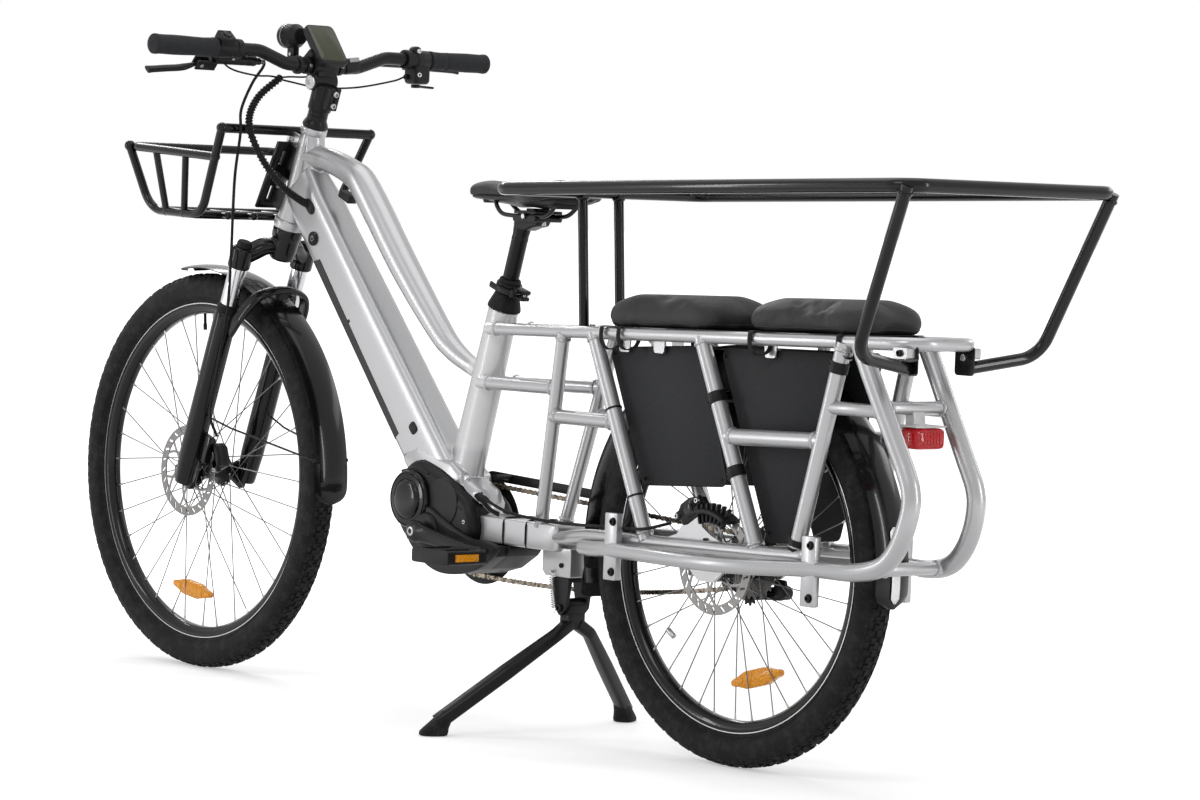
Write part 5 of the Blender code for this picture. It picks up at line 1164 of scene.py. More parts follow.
def build_pads():
    """Two stuffed pads with a piped seam, on thin boards, with webbing loops that hold them to the rails."""
    for word, x in (("front", 0.46), ("rear", 0.78)):
        form, base, tilt = pad_form(x, 0.13, 0.076, 0.0485)
        normal = tilt @ UP
        made = piece(f"pad_cover_{word}", form, VINYL, None)
        melt(made, 0.005)
        settle(made)
        puff(made, 4.0, 0.006, base, normal)
        limit = Vector((0.1336, 0.0796, 0.052))
        seam = 0.0085
        for vert in made.data.vertices:
            local = tilt.inverted() @ (vert.co - base)
            across = Vector((local.x / limit.x, local.y / limit.y)).length
            hollow = max(0.0, 1 - abs(local.z - seam) / 0.0045)
            local.x *= 1 - 0.014 * hollow
            local.y *= 1 - 0.02 * hollow
            local.z += 0.0028 * max(0.0, 1 - across ** 2) * (local.z > 0.03)
            for axis in range(2):
                local[axis] = max(-limit[axis], min(limit[axis], local[axis]))
            local.z = min(limit.z, local.z)
            vert.co = base + tilt @ local
        refine = made.modifiers.new("Subdivision", "SUBSURF")
        refine.levels = refine.render_levels = 1
        relax(made, 0.5, 3)
        dress(made, VINYL)
        made.data.shade_smooth()
        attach(made, "frame")
        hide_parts(f"seat_pad_{word}")
        line = []
        count = 96
        for k in range(count):
            a, b = oval(1, 1, count, 5.0)[k]
            out = base + tilt @ Vector((a * 0.16, b * 0.11, seam))
            hit, at, _, _ = made.ray_cast(out, (base + tilt @ Vector((0, 0, seam)) - out).normalized())
            line.append(at if hit else out)
        piece(f"pad_piping_{word}", tube(line, 0.0011, 8, UP, True), VINYL, "frame")
        board = rectangle(-0.126, -0.071, 0.126, 0.071, 0.02, 4)
        rings = [[base + tilt @ Vector((a, b, level)) for a, b in board] for level in (0.0001, 0.001)]
        piece(f"pad_board_{word}", skin(rings), PLASTIC, "frame")
        straps = []
        for side in (-1, 1):
            for lead in ((-0.118, -0.078) if word == "front" else (-0.102, 0.086)):
                centre = Vector((x + lead, 0.0675 * side, deck(x + lead)))
                y0 = centre.y
                route = [(0, -0.01, 0.0112), (0, 0.0085, 0.011), (0.001, 0.0125, 0.004),
                        (0.002, 0.0132, -0.008), (0.006, 0.011, -0.0185), (0.013, 0.004, -0.024),
                        (0.02, -0.006, -0.019), (0.023, -0.011, -0.008), (0.024, -0.0118, 0.004),
                        (0.024, -0.009, 0.0105)]
                points = [Vector((centre.x + dx, y0 + dy * side, centre.z + dz)) for dx, dy, dz in route]
                straps.append(sweep(smooth(points, 4), oval(0.0046, 0.0009, 10, 3), BACK))
        piece(f"pad_straps_{word}", straps, RUBBER, "frame")
    outlines = {"front": [(0.329, 0.628), (0.543, 0.642), (0.611, 0.43), (0.419, 0.418)],
            "rear": [(0.583, 0.641), (0.836, 0.646), (0.757, 0.358), (0.704, 0.353)]}
    for word, outline in outlines.items():
        flat = corner_arcs(outline, 0.012, 6)
        for side, hand in SIDES:
            y = 0.0485 * side
            middle = (sum(x for x, z in flat) / len(flat), sum(z for x, z in flat) / len(flat))
            sheet = layered(flat, middle, [(y - 0.001, 0.0005), (y - 0.0007, 0), (y + 0.0007, 0),
                    (y + 0.001, 0.0005)])
            rivets = []
            for x, z in outline:
                at = Vector((x, y, z)).lerp(Vector((middle[0], y, middle[1])), 0.1)
                rivets.append(bolt(at + ACROSS * side * 0.0008, ACROSS * side, 0.0032, 0.0014))
            piece(f"panel_board_{word}_{hand}", [sheet], BOARD, "frame", f"wheel_panel_{word}_{hand}")
            piece(f"panel_rivets_{word}_{hand}", rivets, PLASTIC, "frame")


def build_tail_light():
    """Red lamp with a ribbed lens in its white tray."""
    rings = []
    for x, shrink in ((0.956, 0.001), (0.9572, 0), (0.98, 0), (0.983, 0.0012), (0.985, 0.0045)):
        rings.append([Vector((x, a, 0.529 + b)) for a, b in oval(0.0315 - shrink, 0.0155 - shrink * 0.8, 56,
                7)])
    piece("tail_lens", skin(rings), RED, "frame", "tail_light", sharp=50)
    ribs = [block((0.985, 0.0065 * k, 0.529), (0.0012, 0.001, 0.018)) for k in range(-3, 4)]
    ribs += [block((0.97, -0.0317, 0.519 + 0.005 * k), (0.02, 0.001, 0.001)) for k in range(5)]
    piece("tail_lens_ribs", ribs, RED, "frame", bevel=0.0003)


# Mudguards
def arch(centre, radius, start, end, wide, thick, steps=64, bow=0.006, tips=(0, 0)):
    """A bowed band round an axle. Either tip can be rounded off over some degrees."""
    rings = []
    across = [k / 8 for k in range(-8, 9)]
    for k in range(steps + 1):
        degrees = start + (end - start) * k / steps
        angle = radians(degrees)
        half_width = wide
        for edge, tip in ((start, tips[0]), (end, tips[1])):
            if tip and abs(degrees - edge) < tip:
                half_width *= max(0.05, (1 - (1 - abs(degrees - edge) / tip) ** 2.6)) ** 0.45
        ray = Vector((cos(angle), 0, sin(angle)))
        drop = [bow * abs(v) ** 2.4 for v in across]
        outer = [centre + ray * (radius - d) + ACROSS * v * half_width for v, d in zip(across, drop)]
        inner = [centre + ray * (radius - d - thick) + ACROSS * v * (half_width - thick * abs(v)) for v,
                d in zip(across, drop)]
        rings.append(outer + inner[::-1])
    return skin(rings)


def build_mudguards():
    """Glossy mudguards with flaps, a strip stay behind and wire stays in front."""
    stay = arch(REAR_AXLE, 0.3338, -5.5, 14, 0.0085, 0.0016, 16, 0.0003, (1.5, 1.5))
    piece("rear_mudguard", arch(REAR_AXLE, 0.3315, -7, 191, 0.034, 0.0018, 110, tips=(5, 0)), GLOSS, "frame",
            "rear_fender", sharp=60)
    rings = []
    for place in smooth([(0.272, 0, 0.292), (0.264, 0, 0.272), (0.26, 0, 0.25), (0.2585, 0, 0.228)], 6):
        share = (0.292 - place.z) / 0.064
        wide = 0.0335 * max(0.05, 1 - max(0.0, (share - 0.86) / 0.16) ** 3)
        ring = [place + Vector((0.005 * abs(v) ** 2.2, v * wide, 0)) for v in [k / 8 for k in range(-8, 9)]]
        rings.append(ring + [p + Vector((0.0022, 0, 0)) for p in reversed(ring)])
    loop = [Vector((0.2605, a * 0.008, 0.256 + b * 0.014)) for a, b in oval(1, 1, 32, 2.4)]
    piece("rear_flap", [skin(rings), tube(loop, 0.0014, 8, UP, True)], RUBBER, "frame", sharp=60)
    rivets = [bolt(REAR_AXLE + ray_at(radians(11.5)) * 0.3338 + ACROSS * 0.0045 * k, ray_at(radians(11.5)),
            0.0026, 0.0014) for k in (-1, 1)]
    piece("rear_guard_stay", [stay, *rivets], ALLOY, "frame", bevel=0.0004)
    piece("front_mudguard", arch(FRONT_AXLE, 0.3655, 1, 101, 0.035, 0.0018, 80, tips=(0, 4)), GLOSS,
            "fork_slider", "front_fender", sharp=60)
    piece("front_flap", arch(FRONT_AXLE, 0.3645, -5, 6, 0.0345, 0.0026, 24, 0.004, (5, 0)), GLOSS,
            "fork_slider", sharp=60)
    wires = []
    for side in (-1, 1):
        boss = steer_point(-0.545, -0.0005, 0.067 * side)
        path = rounded([boss, Vector((-0.646, 0.058 * side, 0.434)), Vector((-0.436, 0.0338 * side, 0.3925))],
                0.02, 5)
        wires.append(tube(path, 0.0018, 10, UP))
        wires.append(bolt(Vector((-0.4362, 0.0345 * side, 0.3925)), ACROSS * side, 0.0036, 0.0024))
    bridge = block(steer_point(-0.3, -0.03), (0.01, 0.02, 0.016), STEER_TURN)
    piece("front_guard_stays", [*wires, bridge], SATIN, "fork_slider")


# Wheels
def ray_at(angle):
    """A direction in the plane of the wheels."""
    return Vector((cos(angle), 0, sin(angle)))


def ring_plate(outer, bore, centre, low, high):
    """A flat ring with any outer outline, given as radius and angle pairs, and a round bore."""
    def at(radius, angle, y):
        return centre + ray_at(angle) * radius + ACROSS * y
    rings = [[at(r, a, low) for r, a in outer], [at(r, a, high) for r, a in outer],
            [at(bore, a, high) for r, a in outer], [at(bore, a, low) for r, a in outer]]
    return skin(rings, True)


def cog_outline(teeth, radius, rise=0.0034):
    """The toothed outline of a sprocket."""
    outline = []
    for k in range(teeth):
        for share, lift in ((0.0, -1.0), (0.22, -0.9), (0.34, 0.1), (0.44, 0.9), (0.56, 0.9), (0.66, 0.1),
                (0.78, -0.9)):
            outline.append((radius + rise * lift, 2 * pi * (k + share) / teeth))
    return outline


def build_tyre(word, centre, radius, body):
    """A tyre with a round carcass, ribs at the bead and five rows of knobs."""
    half = [(0.0523, 0.0128), (0.05, 0.0165), (0.04, 0.025), (0.03, 0.0276), (0.022, 0.0278), (0.012, 0.024),
            (0.0065, 0.018), (0.0038, 0.0095), (0.0034, 0.0)]
    left = [(p.x, p.y) for p in smooth([(d, s, 0) for d, s in half], 3)]
    profile = [(radius - d, -s) for d, s in left] + [(radius - d, s) for d, s in reversed(left[:-1])]
    builds = [turned(profile, centre, ACROSS, 144, True)]
    for side in (-1, 1):
        for d, s in ((0.0462, 0.0204), (0.0425, 0.0234)):
            rib = [(radius - d + 0.0007 * cos(a), side * s + 0.0007 * sin(a))
                    for a in [2 * pi * k / 6 for k in range(6)]]
            builds.append(turned(rib, centre, ACROSS, 144, True))
    knobs = bmesh.new()
    rows = ((0.0, 0.0, 0.0062, 0.0048, 0.0), (0.0085, 0.0003, 0.005, 0.004, 0.5),
            (-0.0085, 0.0003, 0.005, 0.004, 0.5), (0.0165, 0.0036, 0.0058, 0.0036, 0.0),
            (-0.0165, 0.0036, 0.0058, 0.0036, 0.0), (0.0232, 0.0098, 0.0046, 0.0034, 0.5),
            (-0.0232, 0.0098, 0.0046, 0.0034, 0.5))
    count = round(2 * pi * radius / 0.0162)
    for across, drop, long_half, wide_half, phase in rows:
        lean = across / 0.0232 * 0.95
        for k in range(count):
            angle = 2 * pi * (k + phase + (0.12 if k % 2 else -0.12)) / count
            ray = ray_at(angle)
            along = ray.cross(ACROSS)
            out = (ray * cos(lean) + ACROSS * sin(lean)).normalized()
            side = along.cross(out)
            top = centre + ray * (radius - drop - (0.0008 if across == 0 else 0.0004)) + ACROSS * across
            corners = []
            for depth, grow in ((0.0046, 1.1), (0.0, 0.88)):
                for a, b in ((-1, -1), (1, -1), (1, 1), (-1, 1)):
                    corners.append(knobs.verts.new(top - out * depth + along * a * long_half * grow + side * b
                            * wide_half * grow))
            for quad in ((0, 1, 2, 3), (4, 5, 6, 7), (0, 1, 5, 4), (1, 2, 6, 5), (2, 3, 7, 6), (3, 0, 4, 7)):
                knobs.faces.new([corners[i] for i in quad])
    builds.append(knobs)
    piece(f"{word}_tyre_casing", builds, RUBBER, body, f"{word}_tyre", sharp=40)


def build_wheel(word, centre, radius, flanges, hub, body):
    """Rim, laced spokes with nipples, hub, valve and reflector of one wheel."""
    inner, outer, width = radius - 0.071, radius - 0.0518, 0.0135
    profile = [(outer, -width), (outer - 0.0006, -width - 0.0006), (outer - 0.01, -width - 0.0002),
            (inner + 0.0045, -0.0102), (inner, -0.006), (inner, 0.006), (inner + 0.0045, 0.0102),
            (outer - 0.01, width + 0.0002), (outer - 0.0006, width + 0.0006), (outer, width)]
    piece(f"{word}_rim", turned(profile, centre, ACROSS, 144, True), GLOSS, body, sharp=50)
    edges = []
    for side in (-1, 1):
        edge = [(outer - 0.0004, side * (width + 0.0002)), (outer - 0.0004, side * (width + 0.0012)),
                (outer - 0.002, side * (width + 0.0012)), (outer - 0.002, side * (width + 0.0002))]
        edges.append(turned(edge, centre, ACROSS, 144, True))
    piece(f"{word}_rim_edges", edges, ALLOY, body)
    wires, nipples = [], []
    for k in range(36):
        side = k % 2
        pull = 1 if (k // 2) % 2 else -1
        at_rim = 2 * pi * k / 36
        at_hub = at_rim - pull * radians(58)
        y = flanges[side] + 0.0022 * pull
        start = centre + ray_at(at_hub) * 0.0262 + ACROSS * y
        end = centre + ray_at(at_rim) * (radius - 0.067) + ACROSS * (0.002 if side else -0.002)
        along = (end - start).normalized()
        wires.append(tube([start, end], 0.001, 6))
        nipples.append(tube([end - along * 0.013, end - along * 0.002], (0.0017, 0.0021), 8))
        nipples.append(ball(start - ACROSS * 0.0002, 0.0021, (1, 0.7, 1)))
    piece(f"{word}_spokes", wires, SPOKE, body)
    piece(f"{word}_nipples", nipples, STEEL, body)
    piece(f"{word}_hub", turned(hub, centre, ACROSS, 48), SATIN, body, f"{word}_wheel", bevel=0.0004)
    end_y = abs(hub[0][1])
    nuts = []
    for side in (-1, 1):
        nuts.append(turned([(0.0092, end_y - 0.008), (0.0092, end_y - 0.0015), (0.008, end_y),
                (0.0045, end_y)], centre, ACROSS * side, 6))
        nuts.append(turned([(0.0112, end_y - 0.0092), (0.0112, end_y - 0.0078), (0.007, end_y - 0.0076)],
                centre, ACROSS * side, 28))
    piece(f"{word}_axle_nuts", nuts, STEEL, body, sharp=20)
    angle = radians(94.5)
    valve = centre + ray_at(angle) * (inner + 0.002)
    piece(f"{word}_valve", [tube([valve, valve - ray_at(angle) * 0.028], 0.0026, 12),
            tube([valve - ray_at(angle) * 0.02, valve - ray_at(angle) * 0.031], 0.0034, 12)], RUBBER, body)
    mid, reach = (radians(262), 0.2165) if word == "front" else (radians(285.5), 0.1795)
    lens = []
    for y, shrink in ((-0.0075, 0.9), (-0.0062, 1.0), (0.0062, 1.0), (0.0075, 0.9)):
        ring = []
        for a, b in oval(0.058, 0.0135, 40, 3.0):
            taper = 1 - 0.36 * max(0.0, min(1.0, (abs(a) / 0.058 - 0.42) / 0.3))
            ring.append(centre + ray_at(mid) * (reach + b * shrink * taper) + ray_at(mid + pi / 2) * a
                    * shrink * 0.92 + ACROSS * y)
        lens.append(ring)
    piece(f"{word}_wheel_reflector", skin(lens), AMBER, body, sharp=50)
    clips = []
    for share in (-0.55, 0.55):
        at = centre + ray_at(mid) * reach + ray_at(mid + pi / 2) * share * 0.058
        clips.append(block(at - ACROSS * 0.0076, (0.011, 0.002, 0.01),
                Matrix.Rotation(-(mid + pi / 2), 3, "Y")))
    piece(f"{word}_reflector_clips", clips, AMBER, body, bevel=0.0006)
    if word == "rear":
        at = Vector((0.4648, -0.02, 0.1919))
        piece("spoke_magnet",
                [tube([at - Vector((0.008, 0, -0.005)), at + Vector((0.008, 0, -0.005))], 0.0045, 14)], STEEL,
                body, bevel=0.0008)


def build_disc(word, centre, y, body):
    """A brake disc: a drilled friction ring on a six-armed carrier."""
    ring = turned([(0.0645, -0.0009), (0.0798, -0.0009), (0.0798, 0.0009), (0.0645, 0.0009)],
            centre + ACROSS * y, ACROSS, 120, True)
    made = piece(f"{word}_disc_ring", ring, DISC, None, f"{word}_rotor", sharp=30)
    holes = bmesh.new()
    for k in range(24):
        for inner, outer, turn_by, wide in ((0.0686, 0.0757, 0.075, 0.0019),):
            first = centre + ray_at(2 * pi * k / 24) * inner
            second = centre + ray_at(2 * pi * k / 24 + turn_by) * outer
            hole = capsule((first.x, first.z), (second.x, second.z), wide, y - 0.004, y + 0.004, 5)
            part = bpy.data.meshes.new("hole")
            hole.to_mesh(part)
            hole.free()
            holes.from_mesh(part)
            bpy.data.meshes.remove(part)
    carve(made, [holes])
    made.data.shade_flat()
    dress(made, DISC)
    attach(made, body)
    arms = []
    for k in range(6):
        base = 2 * pi * k / 6
        for lead, sweep_by in ((0.0, 0.62), (0.42, -0.2)):
            path = []
            for i in range(7):
                share = i / 6
                path.append(centre + ray_at(base + lead + sweep_by * share) * (0.0255 + 0.0405 * share)
                        + ACROSS * y)
            arms.append(sweep(path, oval(0.0008, 0.0022, 10, 6)))
    carrier = ring_plate([(0.03 - 0.0016 * (k % 2), 2 * pi * k / 60) for k in range(60)], 0.0222, centre,
            y - 0.0009, y + 0.0009)
    piece(f"{word}_disc_carrier", [carrier, *arms], DISC, body, sharp=30)
    bolts = [bolt(centre + ray_at(2 * pi * k / 6 + 0.25) * 0.0262 + ACROSS * (y - 0.0009), -ACROSS, 0.003,
            0.0022) for k in range(6)]
    piece(f"{word}_disc_bolts", bolts, SATIN, body)


def build_wheels():
    """Both wheels with their hubs, discs, sprockets and reflectors."""
    front_hub = [(0.0052, -0.0625), (0.0052, -0.05), (0.0095, -0.0496), (0.012, -0.048), (0.019, -0.0437),
            (0.022, -0.0432), (0.022, -0.04), (0.019, -0.033), (0.02, -0.031), (0.029, -0.029),
            (0.029, -0.026), (0.024, -0.023), (0.017, -0.015), (0.0145, -0.005), (0.0145, 0.015),
            (0.017, 0.025), (0.024, 0.03), (0.029, 0.0315), (0.029, 0.0345), (0.02, 0.037), (0.012, 0.045),
            (0.0095, 0.0496), (0.0052, 0.05), (0.0052, 0.0625)]
    rear_hub = [(0.0056, -0.08), (0.0056, -0.0672), (0.0095, -0.067), (0.012, -0.0655), (0.02, -0.0558),
            (0.0222, -0.0552), (0.0222, -0.052), (0.02, -0.04), (0.02, -0.036), (0.029, -0.034),
            (0.029, -0.031), (0.024, -0.027), (0.018, -0.019), (0.0165, -0.01), (0.0165, 0.002),
            (0.018, 0.008), (0.024, 0.0115), (0.029, 0.014), (0.029, 0.017), (0.02, 0.0205), (0.015, 0.0225),
            (0.015, 0.063), (0.0095, 0.067), (0.0056, 0.0672), (0.0056, 0.08)]
    for word, centre, radius, flanges, hub, disc_y in (("front", FRONT_AXLE, 0.349, (-0.0275, 0.033),
            front_hub, -0.042), ("rear", REAR_AXLE, 0.314, (-0.0325, 0.0155), rear_hub, -0.054)):
        body = f"{word}_wheel_set"
        build_tyre(word, centre, radius, body)
        build_wheel(word, centre, radius, flanges, hub, body)
        build_disc(word, centre, disc_y, body)
    cogs = []
    for y, teeth, radius in ((0.0264, 28, 0.0566), (0.0324, 24, 0.0485), (0.039, 21, 0.0424),
            (0.0504, 17, 0.033), (0.058, 13, 0.0262)):
        cogs.append(ring_plate(cog_outline(teeth, radius, 0.0026), 0.02, REAR_AXLE, y - 0.0009, y + 0.0009))
    cogs.append(turned([(0.0158, 0.025), (0.0212, 0.0252), (0.0212, 0.061), (0.0158, 0.062)], REAR_AXLE,
            ACROSS, 40, True))
    piece("sprocket_stack", cogs, COG, "sprockets", "cassette", sharp=30)


# Drive
GUIDE = (0.5637, 0.2605)
TENSION = (0.511, 0.283)
RING_RADIUS = 0.0127 * 38 / (2 * pi)
COG_RADIUS = 0.0127 * 17 / (2 * pi)


def chain_route():
    """The chain's loop at pin height: ring, driven cog, and both pulleys, with the slack of the lower run."""
    wheels = [(CRANK.x, CRANK.z, RING_RADIUS, 1), (REAR_AXLE.x, REAR_AXLE.z, COG_RADIUS, 1),
            (*GUIDE, 0.0202, -1), (*TENSION, 0.0202, 1)]
    touches = []
    for (ax, az, ar, a_side), (bx, bz, br, b_side) in zip(wheels, wheels[1:] + wheels[:1]):
        gap = Vector((bx - ax, bz - az))
        along = gap.normalized()
        lean = (a_side * ar - b_side * br) / gap.length
        normal = along * lean + Vector((-along.y, along.x)) * sqrt(1 - lean * lean)
        touches.append((Vector((ax, az)) + normal * a_side * ar, Vector((bx, bz)) + normal * b_side * br))
    path = []
    for k, (x, z, radius, side) in enumerate(wheels):
        arrive, leave = touches[k - 1][1], touches[k][0]
        start = atan2(arrive.y - z, arrive.x - x)
        end = atan2(leave.y - z, leave.x - x)
        turn = (start - end) % (2 * pi) if side > 0 else (end - start) % (2 * pi)
        for i in range(25):
            angle = start - side * turn * i / 24
            path.append(Vector((x + radius * cos(angle), CHAIN_Y, z + radius * sin(angle))))
    for k in range(1, 20):
        t = k / 20
        path.append(path[99].lerp(path[0], t) - UP * 0.06 * t * (1 - t))
    return path


def spaced(path, step):
    """Points at an even step along a closed path."""
    ring = path + [path[0]]
    lengths = [(b - a).length for a, b in zip(ring, ring[1:])]
    count = round(sum(lengths) / step / 2) * 2
    step = sum(lengths) / count
    points, walked, k = [], 0.0, 0
    for i in range(count):
        while walked + lengths[k] < i * step:
            walked += lengths[k]
            k += 1
        points.append(ring[k].lerp(ring[k + 1], (i * step - walked) / lengths[k]))
    return points


def build_chain():
    """The chain's plates and rollers on its whole route."""
    pins = spaced(chain_route(), 0.0127)
    links, rollers = [], []
    for i, pin in enumerate(pins):
        after = pins[(i + 1) % len(pins)]
        shift, half = (0.0026, 0.0041) if i % 2 else (0.0017, 0.0038)
        turn = atan2(after.z - pin.z, after.x - pin.x)
        outline = circle(pin.x, pin.z, half, 5, turn + pi / 2, turn + 3 * pi / 2)
        waist = (pin + after) / 2
        outline.append((waist.x + sin(turn) * half * 0.62, waist.z - cos(turn) * half * 0.62))
        outline += circle(after.x, after.z, half, 5, turn - pi / 2, turn + pi / 2)
        outline.append((waist.x - sin(turn) * half * 0.62, waist.z + cos(turn) * half * 0.62))
        for side in (-1, 1):
            y = CHAIN_Y + side * shift
            links.append(prism(outline, y - 0.0004, y + 0.0004))
        rollers.append(tube([pin - ACROSS * 0.0031, pin + ACROSS * 0.0031], 0.0017, 8))
        rollers.append(tube([pin - ACROSS * 0.0013, pin + ACROSS * 0.0013], 0.0036, 8))
    piece("chain_links", links + rollers, CHAIN, "frame", "chain", sharp=30)


def build_motor():
    """The motor's casting with its round cap and rings, and the skid cover under it."""
    outline = [(p.x, p.z) for p in smooth([(x, 0, z) for x, z in MOTOR_OUTLINE + MOTOR_OUTLINE[:1]], 6)[:-1]]
    middle = (-0.085, 0.33)
    body = layered(outline, middle, [(-0.056, 0.016), (-0.0552, 0.011), (-0.053, 0.0065), (-0.049, 0.003),
            (-0.044, 0.0008), (-0.038, 0), (0.03, 0), (0.035, 0.0012), (0.0385, 0.0045), (0.04, 0.01)])
    seam = layered(outline, middle, [(-0.0362, -0.0005), (-0.036, 0.002), (-0.034, 0.002),
            (-0.0338, -0.0005)])
    piece("motor_casting", [body, seam], CAST, "frame", "motor", sharp=34)
    cap_at = Vector((-0.14, 0, 0.352))
    cap = [turned([(0.048, -0.038), (0.048, -0.061), (0.0472, -0.064), (0.045, -0.0665), (0.0438, -0.0668),
            (0.0432, -0.0652), (0.042, -0.065), (0.0414, -0.0668), (0.036, -0.0676), (0.034, -0.0678),
            (0.0334, -0.0664), (0.0326, -0.0664), (0.032, -0.069), (0.03, -0.0708), (0.024, -0.0722),
            (0.01, -0.073)], cap_at, ACROSS, 96)]
    piece("motor_cap", cap, GLOSS, "frame", sharp=40)
    boss = [turned([(0.03, -0.05), (0.03, -0.065), (0.0292, -0.0672), (0.0262, -0.0696), (0.015, -0.07)],
            CRANK, ACROSS, 64), turned([(0.04, -0.054), (0.04, -0.0566), (0.039, -0.0576), (0.03, -0.058)],
            Vector((-0.062, 0, 0.352)), ACROSS, 64)]
    ribs = [tube([(-0.098, -0.0556, 0.392), (-0.052, -0.0556, 0.372), (-0.012, -0.0548, 0.345)], 0.0026, 12),
            tube([(-0.17, -0.0546, 0.396), (-0.136, -0.0553, 0.404), (-0.1, -0.055, 0.396)], 0.0022, 12)]
    piece("motor_boss", boss + ribs, CAST, "frame")
    bolts = [bolt(Vector(at), -ACROSS, 0.0036, 0.0028) for at in ((-0.172, -0.0545, 0.313),
            (-0.118, -0.0555, 0.27), (-0.03, -0.0552, 0.268), (-0.004, -0.055, 0.325))]
    bolts.append(bolt(Vector((-0.161, -0.064, 0.38)), -ACROSS, 0.0028, 0.0016))
    piece("motor_bolts", bolts, STEEL, "frame")
    skid = corner_arcs([(-0.151, 0.299), (-0.131, 0.276), (-0.098, 0.251), (-0.056, 0.238), (-0.004, 0.24),
            (0.041, 0.252), (0.08, 0.276), (0.094, 0.2925), (0.0155, 0.2925), (0.008, 0.284), (-0.01, 0.26),
            (-0.06, 0.244), (-0.11, 0.2563), (-0.1455, 0.277)], 0.006, 3)
    outer = [(-0.151, 0.299), (-0.131, 0.276), (-0.098, 0.251), (-0.056, 0.238), (-0.004, 0.24),
            (0.041, 0.252), (0.08, 0.276), (0.09, 0.2925), (0.06, 0.299), (0.02, 0.301), (-0.02, 0.313),
            (-0.06, 0.33), (-0.095, 0.344), (-0.11, 0.322), (-0.136, 0.304)]
    outer = [(p.x, p.z) for p in smooth([(x, 0, z) for x, z in outer + outer[:1]], 4)[:-1]]
    plate = layered(outer, (-0.04, 0.28), [(-0.064, 0.004), (-0.0628, 0.0015), (-0.061, 0), (-0.0566, 0)])
    cuts = [turned([(0.0305, -0.08), (0.0305, -0.04)], CRANK, ACROSS, 48),
            turned([(0.0488, -0.08), (0.0488, -0.04)], cap_at, ACROSS, 64)]
    plate = piece("skid_side_plate", plate, GREY, "frame", "motor_skid_cover", cuts=cuts, sharp=30)
    belly = prism(skid, -0.0345, 0.0345)
    bridge = prism([(-0.004, 0.2405), (0.041, 0.252), (0.08, 0.276), (0.0825, 0.2925), (0.03, 0.2925),
            (0.0175, 0.276)], -0.06, -0.03)
    ribs = [prism([(x, 0.244 + 0.0002 * abs(x * 1000 + 40)), (x + 0.004, 0.244 + 0.0002 * abs(x * 1000 + 40)),
            (x + 0.004, 0.268), (x, 0.268)], -0.0635, -0.056) for x in (-0.088, -0.066, -0.044, -0.022, 0.0)]
    piece("skid_belly", [belly, bridge], GREY, "frame", bevel=0.0016, segments=3)
    piece("skid_ribs", ribs, GREY, "frame", bevel=0.0008)
    bolts = [bolt(Vector(at), -ACROSS, 0.0034, 0.0022) for at in ((-0.129, -0.064, 0.29),
            (0.064, -0.064, 0.283))]
    piece("skid_bolts", bolts, PLASTIC, "frame")


def crank_arm(end, near, far):
    """One crank arm, from the axle to the pedal."""
    side = 1 if near > 0 else -1
    along = (end - CRANK).normalized()
    square = along.cross(ACROSS)
    rings = []
    for share, half, depth in ((-0.1, 0.006, 0.0055), (-0.09, 0.013, 0.0078), (-0.06, 0.0165, 0.0094),
            (0.0, 0.018, 0.01), (0.06, 0.0172, 0.0094), (0.12, 0.0138, 0.008), (0.3, 0.0122, 0.0072),
            (0.85, 0.011, 0.0065), (0.94, 0.0128, 0.0066), (1.0, 0.013, 0.0065), (1.05, 0.0105, 0.006),
            (1.07, 0.005, 0.004)):
        lean = near + side * depth + (far - near) * 0.55 * min(1, max(0, share))
        centre = CRANK + along * 0.17 * share + ACROSS * lean
        rings.append([centre + square * a + ACROSS * b for a, b in oval(half, depth, 28, 3)])
    return skin(rings)


